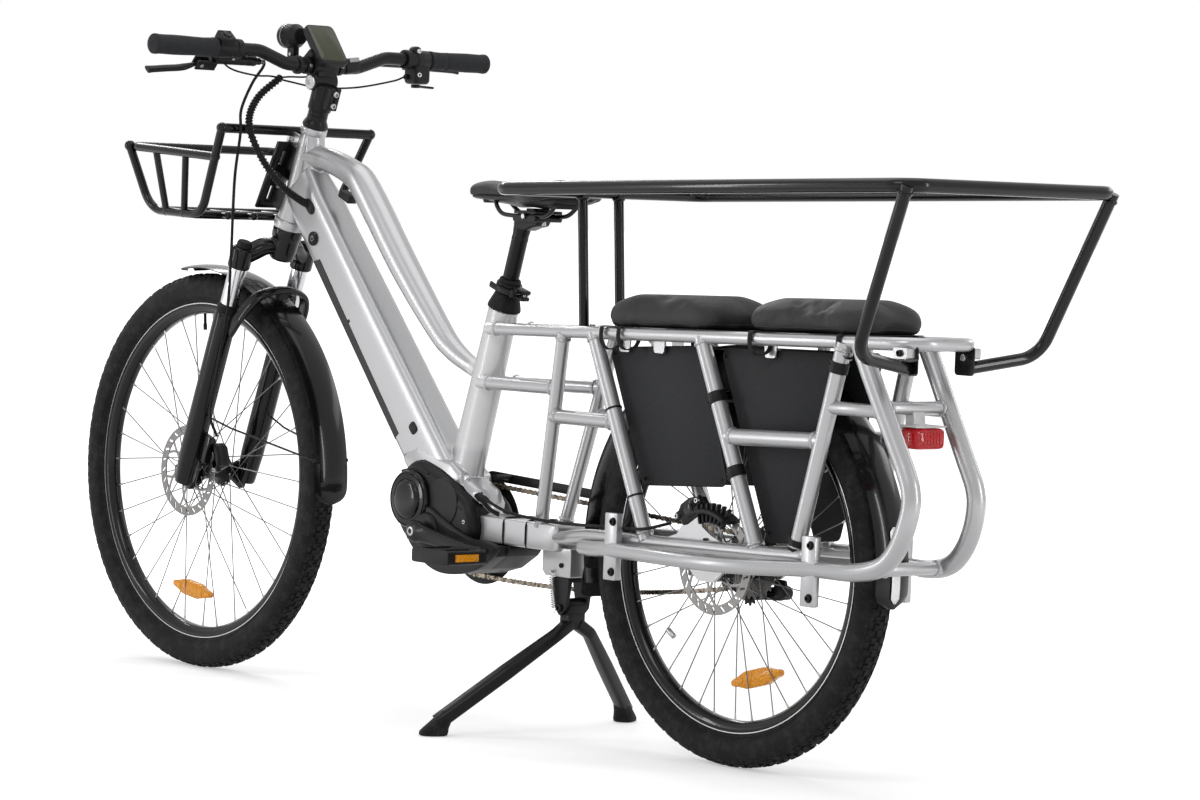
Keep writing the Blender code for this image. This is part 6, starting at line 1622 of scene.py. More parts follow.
def build_cranks():
    """Crank arms, ring and guard disc, platform pedals with reflectors."""
    rear_end = CRANK + Vector((cos(radians(8)), 0, -sin(radians(8)))) * 0.17
    front_end = CRANK * 2 - rear_end
    left = [crank_arm(rear_end, -0.0785, -0.0985)]
    piece("left_crank", left, SATIN, "crankset", "crank_arm_left", sharp=50)
    spider = [crank_arm(front_end, 0.0785, 0.0985), turned([(0.012, -0.079), (0.012, 0.079)], CRANK, ACROSS,
            32), prism(circle(CRANK.x, CRANK.z, 0.026, 40), 0.056, 0.079)]
    for k in range(5):
        ray = ray_at(2 * pi * k / 5 + 0.3)
        spider.append(tube([CRANK + ray * 0.018 + ACROSS * 0.06, CRANK + ray * 0.06 + ACROSS * 0.0565],
                (0.0065, 0.0042), 16))
    piece("right_crank", spider, SATIN, "crankset", "crank_arm_right", sharp=50, bevel=0.0008)
    ring = ring_plate(cog_outline(38, RING_RADIUS - 0.0006, 0.003), 0.054, CRANK, CHAIN_Y - 0.001,
            CHAIN_Y + 0.001)
    piece("chainring", ring, COG, "crankset", sharp=30)
    guard = turned([(0.054, CHAIN_Y + 0.0012), (0.062, CHAIN_Y + 0.0012), (0.07, 0.0545), (0.09, 0.058),
            (0.092, 0.0588), (0.092, 0.0606), (0.09, 0.0616), (0.066, 0.06), (0.054, 0.06)], CRANK, ACROSS,
            96, True)
    piece("ring_guard", guard, PLASTIC, "crankset", sharp=30)
    caps = [bolt(CRANK + ACROSS * side * 0.0955, ACROSS * side, 0.0078, 0.0035) for side in (-1, 1)]
    for k in range(5):
        caps.append(bolt(CRANK + ray_at(2 * pi * k / 5 + 0.3) * 0.0585 + ACROSS * 0.0605, ACROSS, 0.0036,
                0.0026))
    piece("crank_bolts", caps, STEEL, "crankset")
    for end, side, word in ((rear_end, -1, "left"), (front_end, 1, "right")):
        body = f"{word}_pedal"
        low, high = sorted((0.112 * side, 0.192 * side))
        outline = rectangle(end.x - 0.046, end.z - 0.0115, end.x + 0.046, end.z + 0.0115, 0.0065, 4)
        windows = [block(end + Vector((dx, side * 0.152, 0)), (0.025, 0.058, 0.05)) for dx in (-0.0235,
                0.0235)]
        windows += [block(end + Vector((dx, side * 0.152, 0)), (0.008, 0.05, 0.0125)) for dx in (-0.045,
                0.045)]
        piece(f"{word}_pedal_cage", prism(outline, low, high), PLASTIC, body, f"pedal_{word}", bevel=0.0012,
                cuts=windows)
        barrel = [tube([end + ACROSS * side * 0.11, end + ACROSS * side * 0.19], 0.0085, 24),
                tube([end + ACROSS * side * 0.103, end + ACROSS * side * 0.112], 0.0068, 6),
                tube([end + ACROSS * side * 0.106, end + ACROSS * side * 0.1095], 0.0095, 24)]
        piece(f"{word}_pedal_pin", barrel, SATIN, body, bevel=0.0005)
        lenses, studs = [], []
        for dx in (-1, 1):
            lenses.append(block(end + Vector((0.0435 * dx, side * 0.152, 0)), (0.006, 0.047, 0.0115)))
            for k in range(5):
                for dz in (-1, 1):
                    at = end + Vector((0.0385 * dx, side * (0.118 + 0.017 * k), 0.0105 * dz))
                    studs.append(turned([(0.0022, 0), (0.0018, 0.0016), (0.001, 0.0018)], at, UP * dz, 8))
        piece(f"{word}_pedal_reflectors", lenses, AMBER, body, bevel=0.0008)
        piece(f"{word}_pedal_studs", studs, PLASTIC, body)


def build_derailleur():
    """The rear mechanism: hanger, linkage, cage and its two toothed pulleys."""
    guide = Vector((GUIDE[0], CHAIN_Y, GUIDE[1]))
    tension = Vector((TENSION[0], CHAIN_Y, TENSION[1]))
    hanger = prism(corner_arcs([(0.6, 0.2855), (0.622, 0.2855), (0.628, 0.262), (0.612, 0.254),
            (0.598, 0.268)], 0.004), 0.0675, 0.0733)
    piece("hanger", hanger, SATIN, "frame", "derailleur_body", bevel=0.0006)
    links = [tube([(0.613, 0.07, 0.265), (0.613, 0.086, 0.265)], 0.011, 28),
            capsule((0.612, 0.268), (0.57, 0.263), 0.007, 0.078, 0.083),
            capsule((0.61, 0.258), (0.566, 0.256), 0.0052, 0.07, 0.076),
            tube([(guide.x, 0.063, guide.z), (guide.x, 0.0838, guide.z)], 0.011, 28),
            tube([(0.613, 0.086, 0.265), (0.613, 0.089, 0.265)], 0.0055, 6)]
    piece("derailleur_links", links, SATIN, "frame", bevel=0.0008)
    plates = []
    for y in (CHAIN_Y - 0.0056, CHAIN_Y + 0.0052):
        plates.append(capsule(GUIDE, TENSION, 0.0105, y - 0.0008, y + 0.0008))
    for at in (guide, tension):
        plates.append(tube([at - ACROSS * 0.0066, at + ACROSS * 0.0066], 0.003, 12))
    plates.append(tube([guide + ACROSS * 0.005, Vector((guide.x, 0.0626, guide.z))], 0.007, 24))
    slots = [capsule((0.549, 0.2667), (0.527, 0.2761), 0.0045, CHAIN_Y - 0.02, CHAIN_Y + 0.02, 8)]
    piece("pulley_cage", plates, SATIN, "shifting_cage", "derailleur_cage", bevel=0.0003, cuts=slots)
    for word, centre, body in (("guide", guide, "upper_pulley"), ("tension", tension, "lower_pulley")):
        wheel = ring_plate(cog_outline(11, 0.0172, 0.0022), 0.0036, centre, -0.0012, 0.0012)
        piece(f"{word}_pulley_wheel", wheel, PLASTIC, body, f"{word}_pulley", sharp=30)


# Brakes and stand
def build_callipers():
    """The two brake callipers on their carriers."""
    for word, middle, axle, y, body in (("front", steer_point(-0.612, -0.019, -0.0425), FRONT_AXLE, -0.042,
            "fork_slider"), ("rear", Vector((0.546, -0.055, 0.39)), REAR_AXLE, -0.054, "frame")):
        away = middle - axle
        away.y = 0
        away.normalize()
        turn = Matrix((away.cross(ACROSS) * -1, ACROSS, away)).transposed()
        gap = y - middle.y
        outline = corner_arcs([(-0.023, -0.014), (-0.014, -0.017), (0.014, -0.017), (0.023, -0.01),
                (0.021, 0.013), (0.01, 0.017), (-0.012, 0.017), (-0.022, 0.01)], 0.004, 4)
        outer = 0.083 - (Vector((middle.x, 0, middle.z)) - Vector((axle.x, 0, axle.z))).length
        crest = corner_arcs([(-0.0215, outer), (0.0205, outer), (0.02, 0.0135), (0.01, 0.0165),
                (-0.012, 0.0165), (-0.0215, 0.01)], 0.002, 4)
        cast = [prism(shape, low, high, ACROSS, lambda a, b: middle + turn @ Vector((a, 0, b))) for shape,
                low, high in ((outline, -0.013, gap - 0.002), (outline, gap + 0.002, 0.013),
                (crest, -0.0125, 0.0125))]
        mount = block(middle + away * 0.004 + ACROSS * -0.009, (0.06, 0.008, 0.014), turn)
        piece(f"{word}_calliper_body", [*cast, mount], SATIN, body, f"{word}_caliper", bevel=0.0014,
                segments=3)
        cap = turned([(0.0105, 0.0), (0.0105, 0.0014), (0.0092, 0.0022), (0.004, 0.0022)],
                middle - ACROSS * 0.0128, -ACROSS, 28)
        piece(f"{word}_calliper_cap", cap, GLOSS, body)
        if word == "rear":
            fins = []
            for k in range(7):
                angle = radians(62 + 7.5 * k)
                fins.append(block(axle + ray_at(angle) * (0.079 - 0.0007 * k) + ACROSS * -0.069,
                        (0.0042, 0.008, 0.034 - 0.001 * k), Matrix.Rotation(pi / 2 - angle, 3, "Y")))
            bow = [axle + ray_at(radians(57 + 5 * k)) * 0.0785 + ACROSS * -0.064 for k in range(12)]
            fins.append(sweep(bow, oval(0.0185, 0.0046, 24, 5), ACROSS))
            piece("rear_calliper_carrier", fins, CAST, body, bevel=0.0008)
        cover = []
        for side in (-1, 1):
            at = middle + turn @ Vector((0.0255 * side, -0.013, 0.004))
            cover.append(bolt(at, -ACROSS, 0.0042, 0.0046))
        piece(f"{word}_calliper_bolts", cover, STEEL, body)


def build_stand():
    """Twin legs on one pin, their springs, and rubber feet."""
    hub = [tube([KICK_PIVOT - ACROSS * 0.027, KICK_PIVOT + ACROSS * 0.027], 0.0056, 20),
            tube([KICK_PIVOT - ACROSS * 0.018, KICK_PIVOT + ACROSS * 0.018], 0.015, 32),
            block(KICK_PIVOT + Vector((0.002, 0, -0.02)), (0.022, 0.034, 0.024))]
    feet = []
    for side in (-1, 1):
        points = [KICK_PIVOT + Vector((0.003, 0.008 * side, -0.026)), (0.2115, 0.034 * side, 0.163),
                (0.121, 0.199 * side, 0.0205)]
        path = rounded(points, 0.02, 6)
        path = path[:-1] + [path[-2].lerp(path[-1], s) for s in (0.4, 0.42, 0.9, 1.0)]
        hub.append(sweep(path, lambda share: oval(0.0098 + (0.0022 if share < 0.12 or 0.5 < share else 0),
                0.0098 + (0.0014 if 0.5 < share else 0), 24, 4.0), BACK))
        rib = [p + Vector((0.004, 0.003 * side, 0.0085)) for p in path[2:-1]]
        hub.append(sweep(rib + [path[-1] + Vector((0.002, 0, 0.009))], oval(0.0022, 0.0016, 10), BACK))
        along = Vector((-0.48, 0.88 * side, 0))
        square = along.cross(UP)
        rings = []
        for z, slide, long_half, wide_half in ((0.0, 0.004, 0.02, 0.015), (0.0012, 0.004, 0.0225, 0.0172),
                (0.006, 0.003, 0.023, 0.0176), (0.012, 0.0, 0.0205, 0.0162), (0.02, -0.006, 0.0175, 0.0145),
                (0.03, -0.014, 0.015, 0.0132), (0.04, -0.0225, 0.014, 0.0126)):
            middle = Vector((0.119, 0.2 * side, z)) + along * slide
            rings.append([middle + along * a + square * b for a, b in oval(long_half, wide_half, 40, 2.6)])
        feet.append(skin(rings))
    piece("stand_arms", hub, SATIN, "stand", "stand_legs", bevel=0.0012, segments=3)
    piece("stand_feet", feet, RUBBER, "stand", sharp=40)
    coil = []
    start, end = Vector((0.188, -0.0305, 0.262)), Vector((0.2, -0.0305, 0.196))
    along = (end - start).normalized()
    first, second = across_axis(along)
    for k in range(161):
        t = k / 160
        turn = t * 2 * pi * 14
        coil.append(start.lerp(end, 0.12 + 0.76 * t) + (first * cos(turn) + second * sin(turn)) * 0.0042)
    hooks = [tube([start, start.lerp(end, 0.13) + first * 0.0042], 0.0008, 8),
            tube([end, start.lerp(end, 0.87) + first * 0.0042], 0.0008, 8),
            tube([start + ACROSS * 0.008, start - ACROSS * 0.002], 0.0024, 12)]
    piece("stand_spring", [tube(coil, 0.0008, 6), *hooks], STEEL, "frame")


# Fork
def fork_leg(side, grow=0.0, low=-0.315):
    """The skin of one lower leg of the fork."""
    profile = [(0.017, 0.0105), (0.0186, 0.01), (0.0198, 0.008), (0.0205, 0.0), (0.0205, -0.2),
            (0.0203, -0.26), (0.0175, -0.308), (0.0165, low)]
    return turned([(r + grow, s) for r, s in profile], steer_point(-0.365, 0.024, 0.067 * side), STEER_UP, 40)


def fork_line(side):
    """Where a fork leg's own line meets the height of the head tube's top."""
    return HEAD_TOP + STEER_AHEAD * 0.024 + ACROSS * 0.067 * side


def build_fork():
    """Crown, steerer, plated slim tubes with scrapers, glossy lowers with a brace."""
    parts = [turned([(0.015, -0.2045), (0.0236, -0.205), (0.0246, -0.2075), (0.0236, -0.23), (0.0216, -0.242),
            (0.018, -0.2455), (0.006, -0.246)], HEAD_TOP, STEER_UP, 72)]
    for side in (-1, 1):
        base = fork_line(side)
        parts.append(turned([(0.0162, -0.2715), (0.019, -0.272), (0.0198, -0.27), (0.02, -0.245),
                (0.0192, -0.2375), (0.015, -0.2345), (0.006, -0.234)], base, STEER_UP, 72))
        arm = [steer_point(-0.224, 0.004, 0.004 * side), steer_point(-0.227, 0.012, 0.03 * side),
                steer_point(-0.24, 0.019, 0.048 * side), steer_point(-0.253, 0.024, 0.067 * side)]
        parts.append(sweep(smooth(arm, 8), lambda share: oval(0.0185 - 0.002 * share, 0.0125 + 0.002 * share,
                40, 2.6), STEER_AHEAD))
    race = turned([(0.0262, -0.1876), (0.0266, -0.19), (0.0266, -0.204), (0.023, -0.21), (0.0215, -0.222)],
            HEAD_TOP, STEER_UP, 56)
    steerer = turned([(0.0143, 0.0745), (0.0143, -0.205)], HEAD_TOP, STEER_UP, 32)
    crown = piece("fork_crown", parts, GLOSS, "steering", "fork_upper", sharp=60)
    fused(crown, 0.0016, 8)
    dress(crown, GLOSS)
    piece("steerer", [steerer, race], GLOSS, "steering")
    slim, knobs = [], []
    for side in (-1, 1):
        base = fork_line(side)
        slim.append(turned([(0.0158, -0.25), (0.0158, -0.56)], base, STEER_UP, 48))
        knobs.append(turned([(0.012, -0.236), (0.012, -0.2255), (0.0108, -0.2235), (0.004, -0.223)], base,
                STEER_UP, 32))
        for k in range(12):
            ray = STEER_AHEAD * cos(k * pi / 6) + ACROSS * sin(k * pi / 6)
            knobs.append(tube([base + ray * 0.012 - STEER_UP * 0.234,
                    base + ray * 0.0118 - STEER_UP * 0.2262], 0.0009, 6))
    piece("stanchions", slim, CHROME, "steering")
    piece("crown_knobs", knobs, PLASTIC, "steering")
    lower, seals = [], []
    s, t = (FRONT_AXLE - HEAD_TOP).dot(STEER_UP), (FRONT_AXLE - HEAD_TOP).dot(STEER_AHEAD)
    for side in (-1, 1):
        lower.append(fork_leg(side))
        base = fork_line(side)
        seals.append(turned([(0.0161, -0.34), (0.0178, -0.3405), (0.0186, -0.344), (0.0192, -0.347),
                (0.0192, -0.3555), (0.0161, -0.356)], base, STEER_UP, 40, True))
        inner, outer = 0.0503 * side, 0.06 * side
        ends = corner_arcs([(s - 0.014, t + 0.012), (s + 0.004, t + 0.017), (s + 0.03, 0.028),
                (s + 0.034, 0.01), (s - 0.02, 0.012)], 0.005, 4)
        lower.append(prism(ends, min(inner, outer), max(inner, outer), ACROSS, lambda a,
                b: steer_point(a, b)))
    arc = [steer_point(-0.385, 0.006, -0.067), steer_point(-0.345, -0.014, -0.066),
            steer_point(-0.303, -0.028, -0.046), steer_point(-0.291, -0.0305, 0.0),
            steer_point(-0.303, -0.028, 0.046), steer_point(-0.345, -0.014, 0.066),
            steer_point(-0.385, 0.006, 0.067)]
    lower.append(sweep(smooth(arc, 7), lambda share: oval(0.01 + 0.004 * abs(2 * share - 1), 0.005, 24, 3),
            STEER_AHEAD))
    lower.append(block(steer_point(-0.603, 0.0, -0.0605), (0.03, 0.01, 0.05), STEER_TURN))
    piece("fork_lower_legs", lower, GLOSS, "fork_slider", "fork_lowers", bevel=0.001, segments=2, sharp=45)
    piece("fork_seals", seals, RUBBER, "fork_slider")
    ends = [turned([(0.0062, 0.057), (0.0105, 0.0575), (0.0105, 0.0605), (0.0062, 0.061)], FRONT_AXLE,
            ACROSS * side, 32, True) for side in (-1, 1)]
    piece("axle_washers", ends, STEEL, "fork_slider")


# Cockpit
LEVERS = {-1: (Vector((-0.524, -0.238, 1.06)), Vector((-0.5345, -0.338, 1.044)), Vector((-0.74, 0, 0.67))),
        1: (Vector((-0.531, 0.238, 1.078)), Vector((-0.544, 0.338, 1.074)), Vector((0.168, 0, -0.986)))}


def build_stem():
    """Top bearing cone, quill sleeve with its pinch, the angle joint with bare caps, and the bar clamp."""
    tilt = Matrix.Rotation(radians(20), 3, "Y")
    cone = turned([(0.015, 0.0003), (0.0222, 0.0004), (0.0224, 0.003), (0.0216, 0.006), (0.0198, 0.0095),
            (0.018, 0.013), (0.0176, 0.0145), (0.0176, 0.0212), (0.0169, 0.0215), (0.0169, 0.0219),
            (0.0176, 0.0222), (0.0176, 0.03)], HEAD_TOP, STEER_UP, 56)
    sleeve = turned([(0.015, 0.0296), (0.0192, 0.03), (0.0204, 0.0318), (0.0205, 0.0345), (0.0205, 0.0725),
            (0.0197, 0.0755), (0.018, 0.077), (0.007, 0.0772)], HEAD_TOP, STEER_UP, 56)
    pinch = block(Vector((-0.469, 0, 1.0105)), (0.018, 0.022, 0.04), tilt)
    knuckle = turned([(0.012, -0.0235), (0.015, -0.0235), (0.0165, -0.022), (0.0165, 0.022), (0.015, 0.0235),
            (0.012, 0.0235)], Vector((-0.497, 0, 1.04)), ACROSS, 48)
    neck = block(Vector((-0.4975, 0, 1.053)), (0.03, 0.036, 0.03))
    clamp = turned([(0.0132, -0.025), (0.0172, -0.025), (0.0185, -0.0236), (0.0185, 0.0236), (0.0172, 0.025),
            (0.0132, 0.025)], BAR_MIDDLE, ACROSS, 48)
    gaps = [block(Vector((-0.465, 0, 1.009)), (0.022, 0.0024, 0.05), tilt),
            block(Vector((-0.512, 0, 1.0655)), (0.012, 0.06, 0.0016))]
    piece("stem_body", [cone, sleeve, knuckle, neck], SATIN, "steering", "stem", bevel=0.0015, segments=3)
    piece("stem_pinch", [pinch], SATIN, "steering", bevel=0.003, segments=4, cuts=gaps[:1])
    piece("bar_clamp", [clamp], SATIN, "steering", bevel=0.001, segments=3, cuts=gaps[1:])
    caps = []
    for side in (-1, 1):
        caps.append(turned([(0.0128, 0.0228), (0.0128, 0.0256), (0.0116, 0.0268), (0.004, 0.027),
                (0.0036, 0.0256)], Vector((-0.497, 0, 1.037)), ACROSS * side, 40))
    piece("stem_side_caps", caps, ALLOY, "steering")
    bolts = []
    for step in (-0.0105, 0.0105):
        at = Vector((-0.469, 0, 1.0105)) - STEER_AHEAD * 0.0086 + STEER_UP * step
        bolts.append(bolt(at, -STEER_AHEAD, 0.0052, 0.0046))
    for y in (-0.0155, 0.0155):
        for dz in (-0.0125, 0.0125):
            bolts.append(bolt(Vector((-0.5115, y, 1.0655 + dz)), AHEAD, 0.004, 0.0046))
    piece("stem_bolts", bolts, STEEL, "steering")


def build_bar():
    """The raised bar and its grips."""
    ends = [(-0.4925, -0.355, 1.086), (-0.4962, -0.135, 1.086), (-0.498, -0.075, 1.0655),
            (-0.498, 0.075, 1.0655), (-0.4962, 0.135, 1.086), (-0.4925, 0.355, 1.086)]
    path = rounded(ends, 0.06, 14)
    middle = len(path) // 2
    path = path[:middle] + [Vector((-0.498, y / 1000, 1.0655)) for y in range(-64, 65, 4)] + path[middle:]
    rings = []
    for centre, side, over in frames(path, BACK):
        size = 0.0111 + 0.0012 * max(0.0, min(1.0, (0.064 - abs(centre.y)) / 0.012))
        rings.append([centre + side * a + over * b for a, b in oval(size, size, 32)])
    piece("bar", skin(rings), SATIN, "steering", "handlebar", sharp=60)
    for side, word in SIDES:
        profile = [(0.0125, 0.2302), (0.016, 0.2302), (0.0168, 0.231), (0.0168, 0.2362), (0.016, 0.237),
                (0.0156, 0.238), (0.0156, 0.2396), (0.016, 0.242), (0.0154, 0.256)]
        if side > 0:
            profile += [(0.0156, 0.2626), (0.015, 0.2634), (0.015, 0.2646), (0.0158, 0.2654), (0.016, 0.27)]
        profile += [(0.0158, 0.276), (0.0164, 0.295), (0.0168, 0.315), (0.0164, 0.335), (0.0164, 0.345),
                (0.017, 0.35), (0.0172, 0.354), (0.0168, 0.3562), (0.0156, 0.3575), (0.004, 0.3577)]
        axis = Vector((0.0015 / 0.1275, side, 0))
        length = axis.length
        grip = turned([(r, s * 1.0) for r, s in profile], Vector((-0.494 - 0.23 * 0.0015 / 0.1275, 0, 1.086)),
                axis / length, 56)
        piece(f"grip_sleeve_{word}", grip, GRIP, "steering", f"grip_{word}", sharp=50)


def lever_blade(pivot, tip, axis, forward):
    """A brake lever's blade with its hooked tip."""
    path = smooth([pivot, pivot.lerp(tip, 0.3) + forward * 0.006, pivot.lerp(tip, 0.65) + forward * 0.003,
            tip], 10)
    count = len(path) - 1
    rings = []
    for i, (centre, side, over) in enumerate(frames(path, axis)):
        share = i / count
        width = 0.0028 + 0.0036 * min(1.0, max(0.0, (share - 0.1) * 5)) + 0.0012 * max(0.0, share - 0.9) * 10
        thick = (0.0031 + 0.001 * min(1.0, share * 6)) * (1 if share < 0.97 else 0.8)
        rings.append([centre + side * a + over * b for a, b in oval(width, thick, 24, 3)])
    return skin(rings)


def build_controls():
    """Brake levers with their cylinders, the button pod on the left and the shifter on the right."""
    for side, word in SIDES:
        pivot, tip, axis = LEVERS[side]
        axis = axis.normalized()
        turn = Matrix((axis.cross(ACROSS), ACROSS, axis)).transposed()
        bar = LEVER_LINE
        forward = pivot - bar
        forward.y = 0
        forward.normalize()
        root = bar + forward * 0.026
        ring = turned([(0.0118, 0.1765), (0.0158, 0.176), (0.0168, 0.1772), (0.0168, 0.1868), (0.0158, 0.188),
                (0.015, 0.1884), (0.015, 0.1984), (0.016, 0.199), (0.0168, 0.2), (0.0168, 0.2268),
                (0.0158, 0.2285), (0.0118, 0.2285)], bar, ACROSS * side, 48, True)
        cylinder = turned([(0.005, 0.12), (0.0062, 0.1202), (0.0062, 0.129), (0.0078, 0.1296),
                (0.0088, 0.132), (0.0088, 0.148), (0.008, 0.1488), (0.008, 0.1508), (0.0088, 0.1516),
                (0.0088, 0.21), (0.0078, 0.214), (0.005, 0.215)], root + forward * 0.001, ACROSS * side, 36)
        joint = tube([root + ACROSS * 0.178 * side - forward * 0.014, root + ACROSS * 0.186 * side], 0.0065,
                24)
        head = block(pivot - ACROSS * 0.01 * side, (0.018, 0.04, 0.0165), turn)
        slot = block(pivot + ACROSS * 0.002 * side, (0.04, 0.034, 0.0094), turn)
        cover = block(root + ACROSS * 0.172 * side + UP * 0.007, (0.014, 0.04, 0.006), turn)
        piece(f"brake_cylinder_{word}", [cylinder, joint, head], SATIN, "steering", f"brake_perch_{word}",
                bevel=0.0012, segments=3, cuts=[slot])
        piece(f"brake_clamp_{word}", [ring], PLASTIC, "steering")
        piece(f"reservoir_lid_{word}", [cover], PLASTIC, "steering", bevel=0.0014, segments=3)
        pin = [turned([(0.0036, -0.0088), (0.0036, 0.0088)], pivot, axis, 20),
                bolt(bar + forward * 0.015 + ACROSS * 0.1815 * side - UP * 0.006, -UP, 0.0032, 0.003),
                turned([(0.0042, 0.112), (0.0048, 0.1124), (0.0048, 0.12), (0.0042, 0.1204)],
                root + forward * 0.001, ACROSS * side, 6)]
        piece(f"brake_pins_{word}", pin, STEEL, "steering", sharp=20)
        piece(f"brake_blade_{word}", lever_blade(pivot, tip, axis, forward), SATIN, f"{word}_lever",
                f"brake_lever_{word}", sharp=50)
    tilt = Matrix.Rotation(radians(38), 3, "Y")
    normal = Vector((sin(radians(38)), 0, cos(radians(38))))
    face = Vector((-0.486, -0.2145, 1.1))
    pod = block(face, (0.026, 0.027, 0.02), tilt)
    collar = turned([(0.012, -0.2275), (0.019, -0.227), (0.0196, -0.225), (0.0196, -0.204), (0.019, -0.202),
            (0.012, -0.2015)], GRIP_LINE, ACROSS, 40)
    room = turned([(0.0071, 0.002), (0.0071, -0.003)], face + normal * 0.01, normal, 32)
    piece("button_pod", [pod, collar], PLASTIC, "steering", bevel=0.003, segments=4, cuts=[room])
    keys = []
    for a, b in ((-0.0092, -0.0085), (-0.0092, 0.0085), (0.0092, -0.0085), (0.0092, 0.0085)):
        keys.append(turned([(0.0022, -0.001), (0.0022, 0.0006), (0.0016, 0.001)],
                face + normal * 0.01 + tilt @ Vector((a, b, 0)), normal, 16))
    piece("pod_keys", keys, GREY, "steering")
    button = turned([(0.0066, -0.001), (0.0066, 0.001), (0.006, 0.0017), (0.0048, 0.002), (0.004, 0.0016)],
            face + normal * 0.01, normal, 32)
    piece("pod_button_cap", button, GREY, "pod_button", "assist_button")
    shifter = [block(Vector((-0.501, 0.212, 1.062)), (0.037, 0.034, 0.036)),
            block(Vector((-0.495, 0.201, 1.101)), (0.022, 0.018, 0.017))]
    window = block(Vector((-0.488, 0.213, 1.065)), (0.008, 0.02, 0.012),
            Matrix.Rotation(radians(-20), 3, "Y"))
    barrel = turned([(0.0042, 0.19), (0.0048, 0.1902), (0.0048, 0.1985), (0.0042, 0.199)],
            Vector((-0.508, 0, 1.056)), ACROSS, 12)
    piece("shifter_body", shifter, PLASTIC, "steering", bevel=0.0075, segments=7)
    piece("shifter_window", [window, barrel], PLASTIC, "steering", bevel=0.002, segments=4)
    piece("shifter_screws", [bolt(Vector((-0.4845, 0.201, 1.101)), Vector((1, -0.3, 0)).normalized(), 0.004,
            0.0022), bolt(Vector((-0.4835, 0.203, 1.06)), Vector((1, -0.3, 0)).normalized(), 0.004, 0.0022)],
            STEEL, "steering")
    pivot = Vector((-0.506, 0.213, 1.0435))
    disc = turned([(0.008, 0.0), (0.008, -0.0048), (0.007, -0.006), (0.003, -0.006)], pivot, UP, 32)
    paddle = sweep(smooth([pivot - UP * 0.003 + Vector((0.002, 0, 0)),
            pivot + Vector((-0.002, 0.02, -0.0035)), pivot + Vector((0.004, 0.036, -0.0045))], 8),
            lambda share: oval(0.006 + 0.0012 * share, 0.0024 - 0.0004 * share, 20, 3), BACK)
    piece("shift_paddle", [disc, paddle], PLASTIC, "gear_trigger", "shift_trigger", bevel=0.0004)


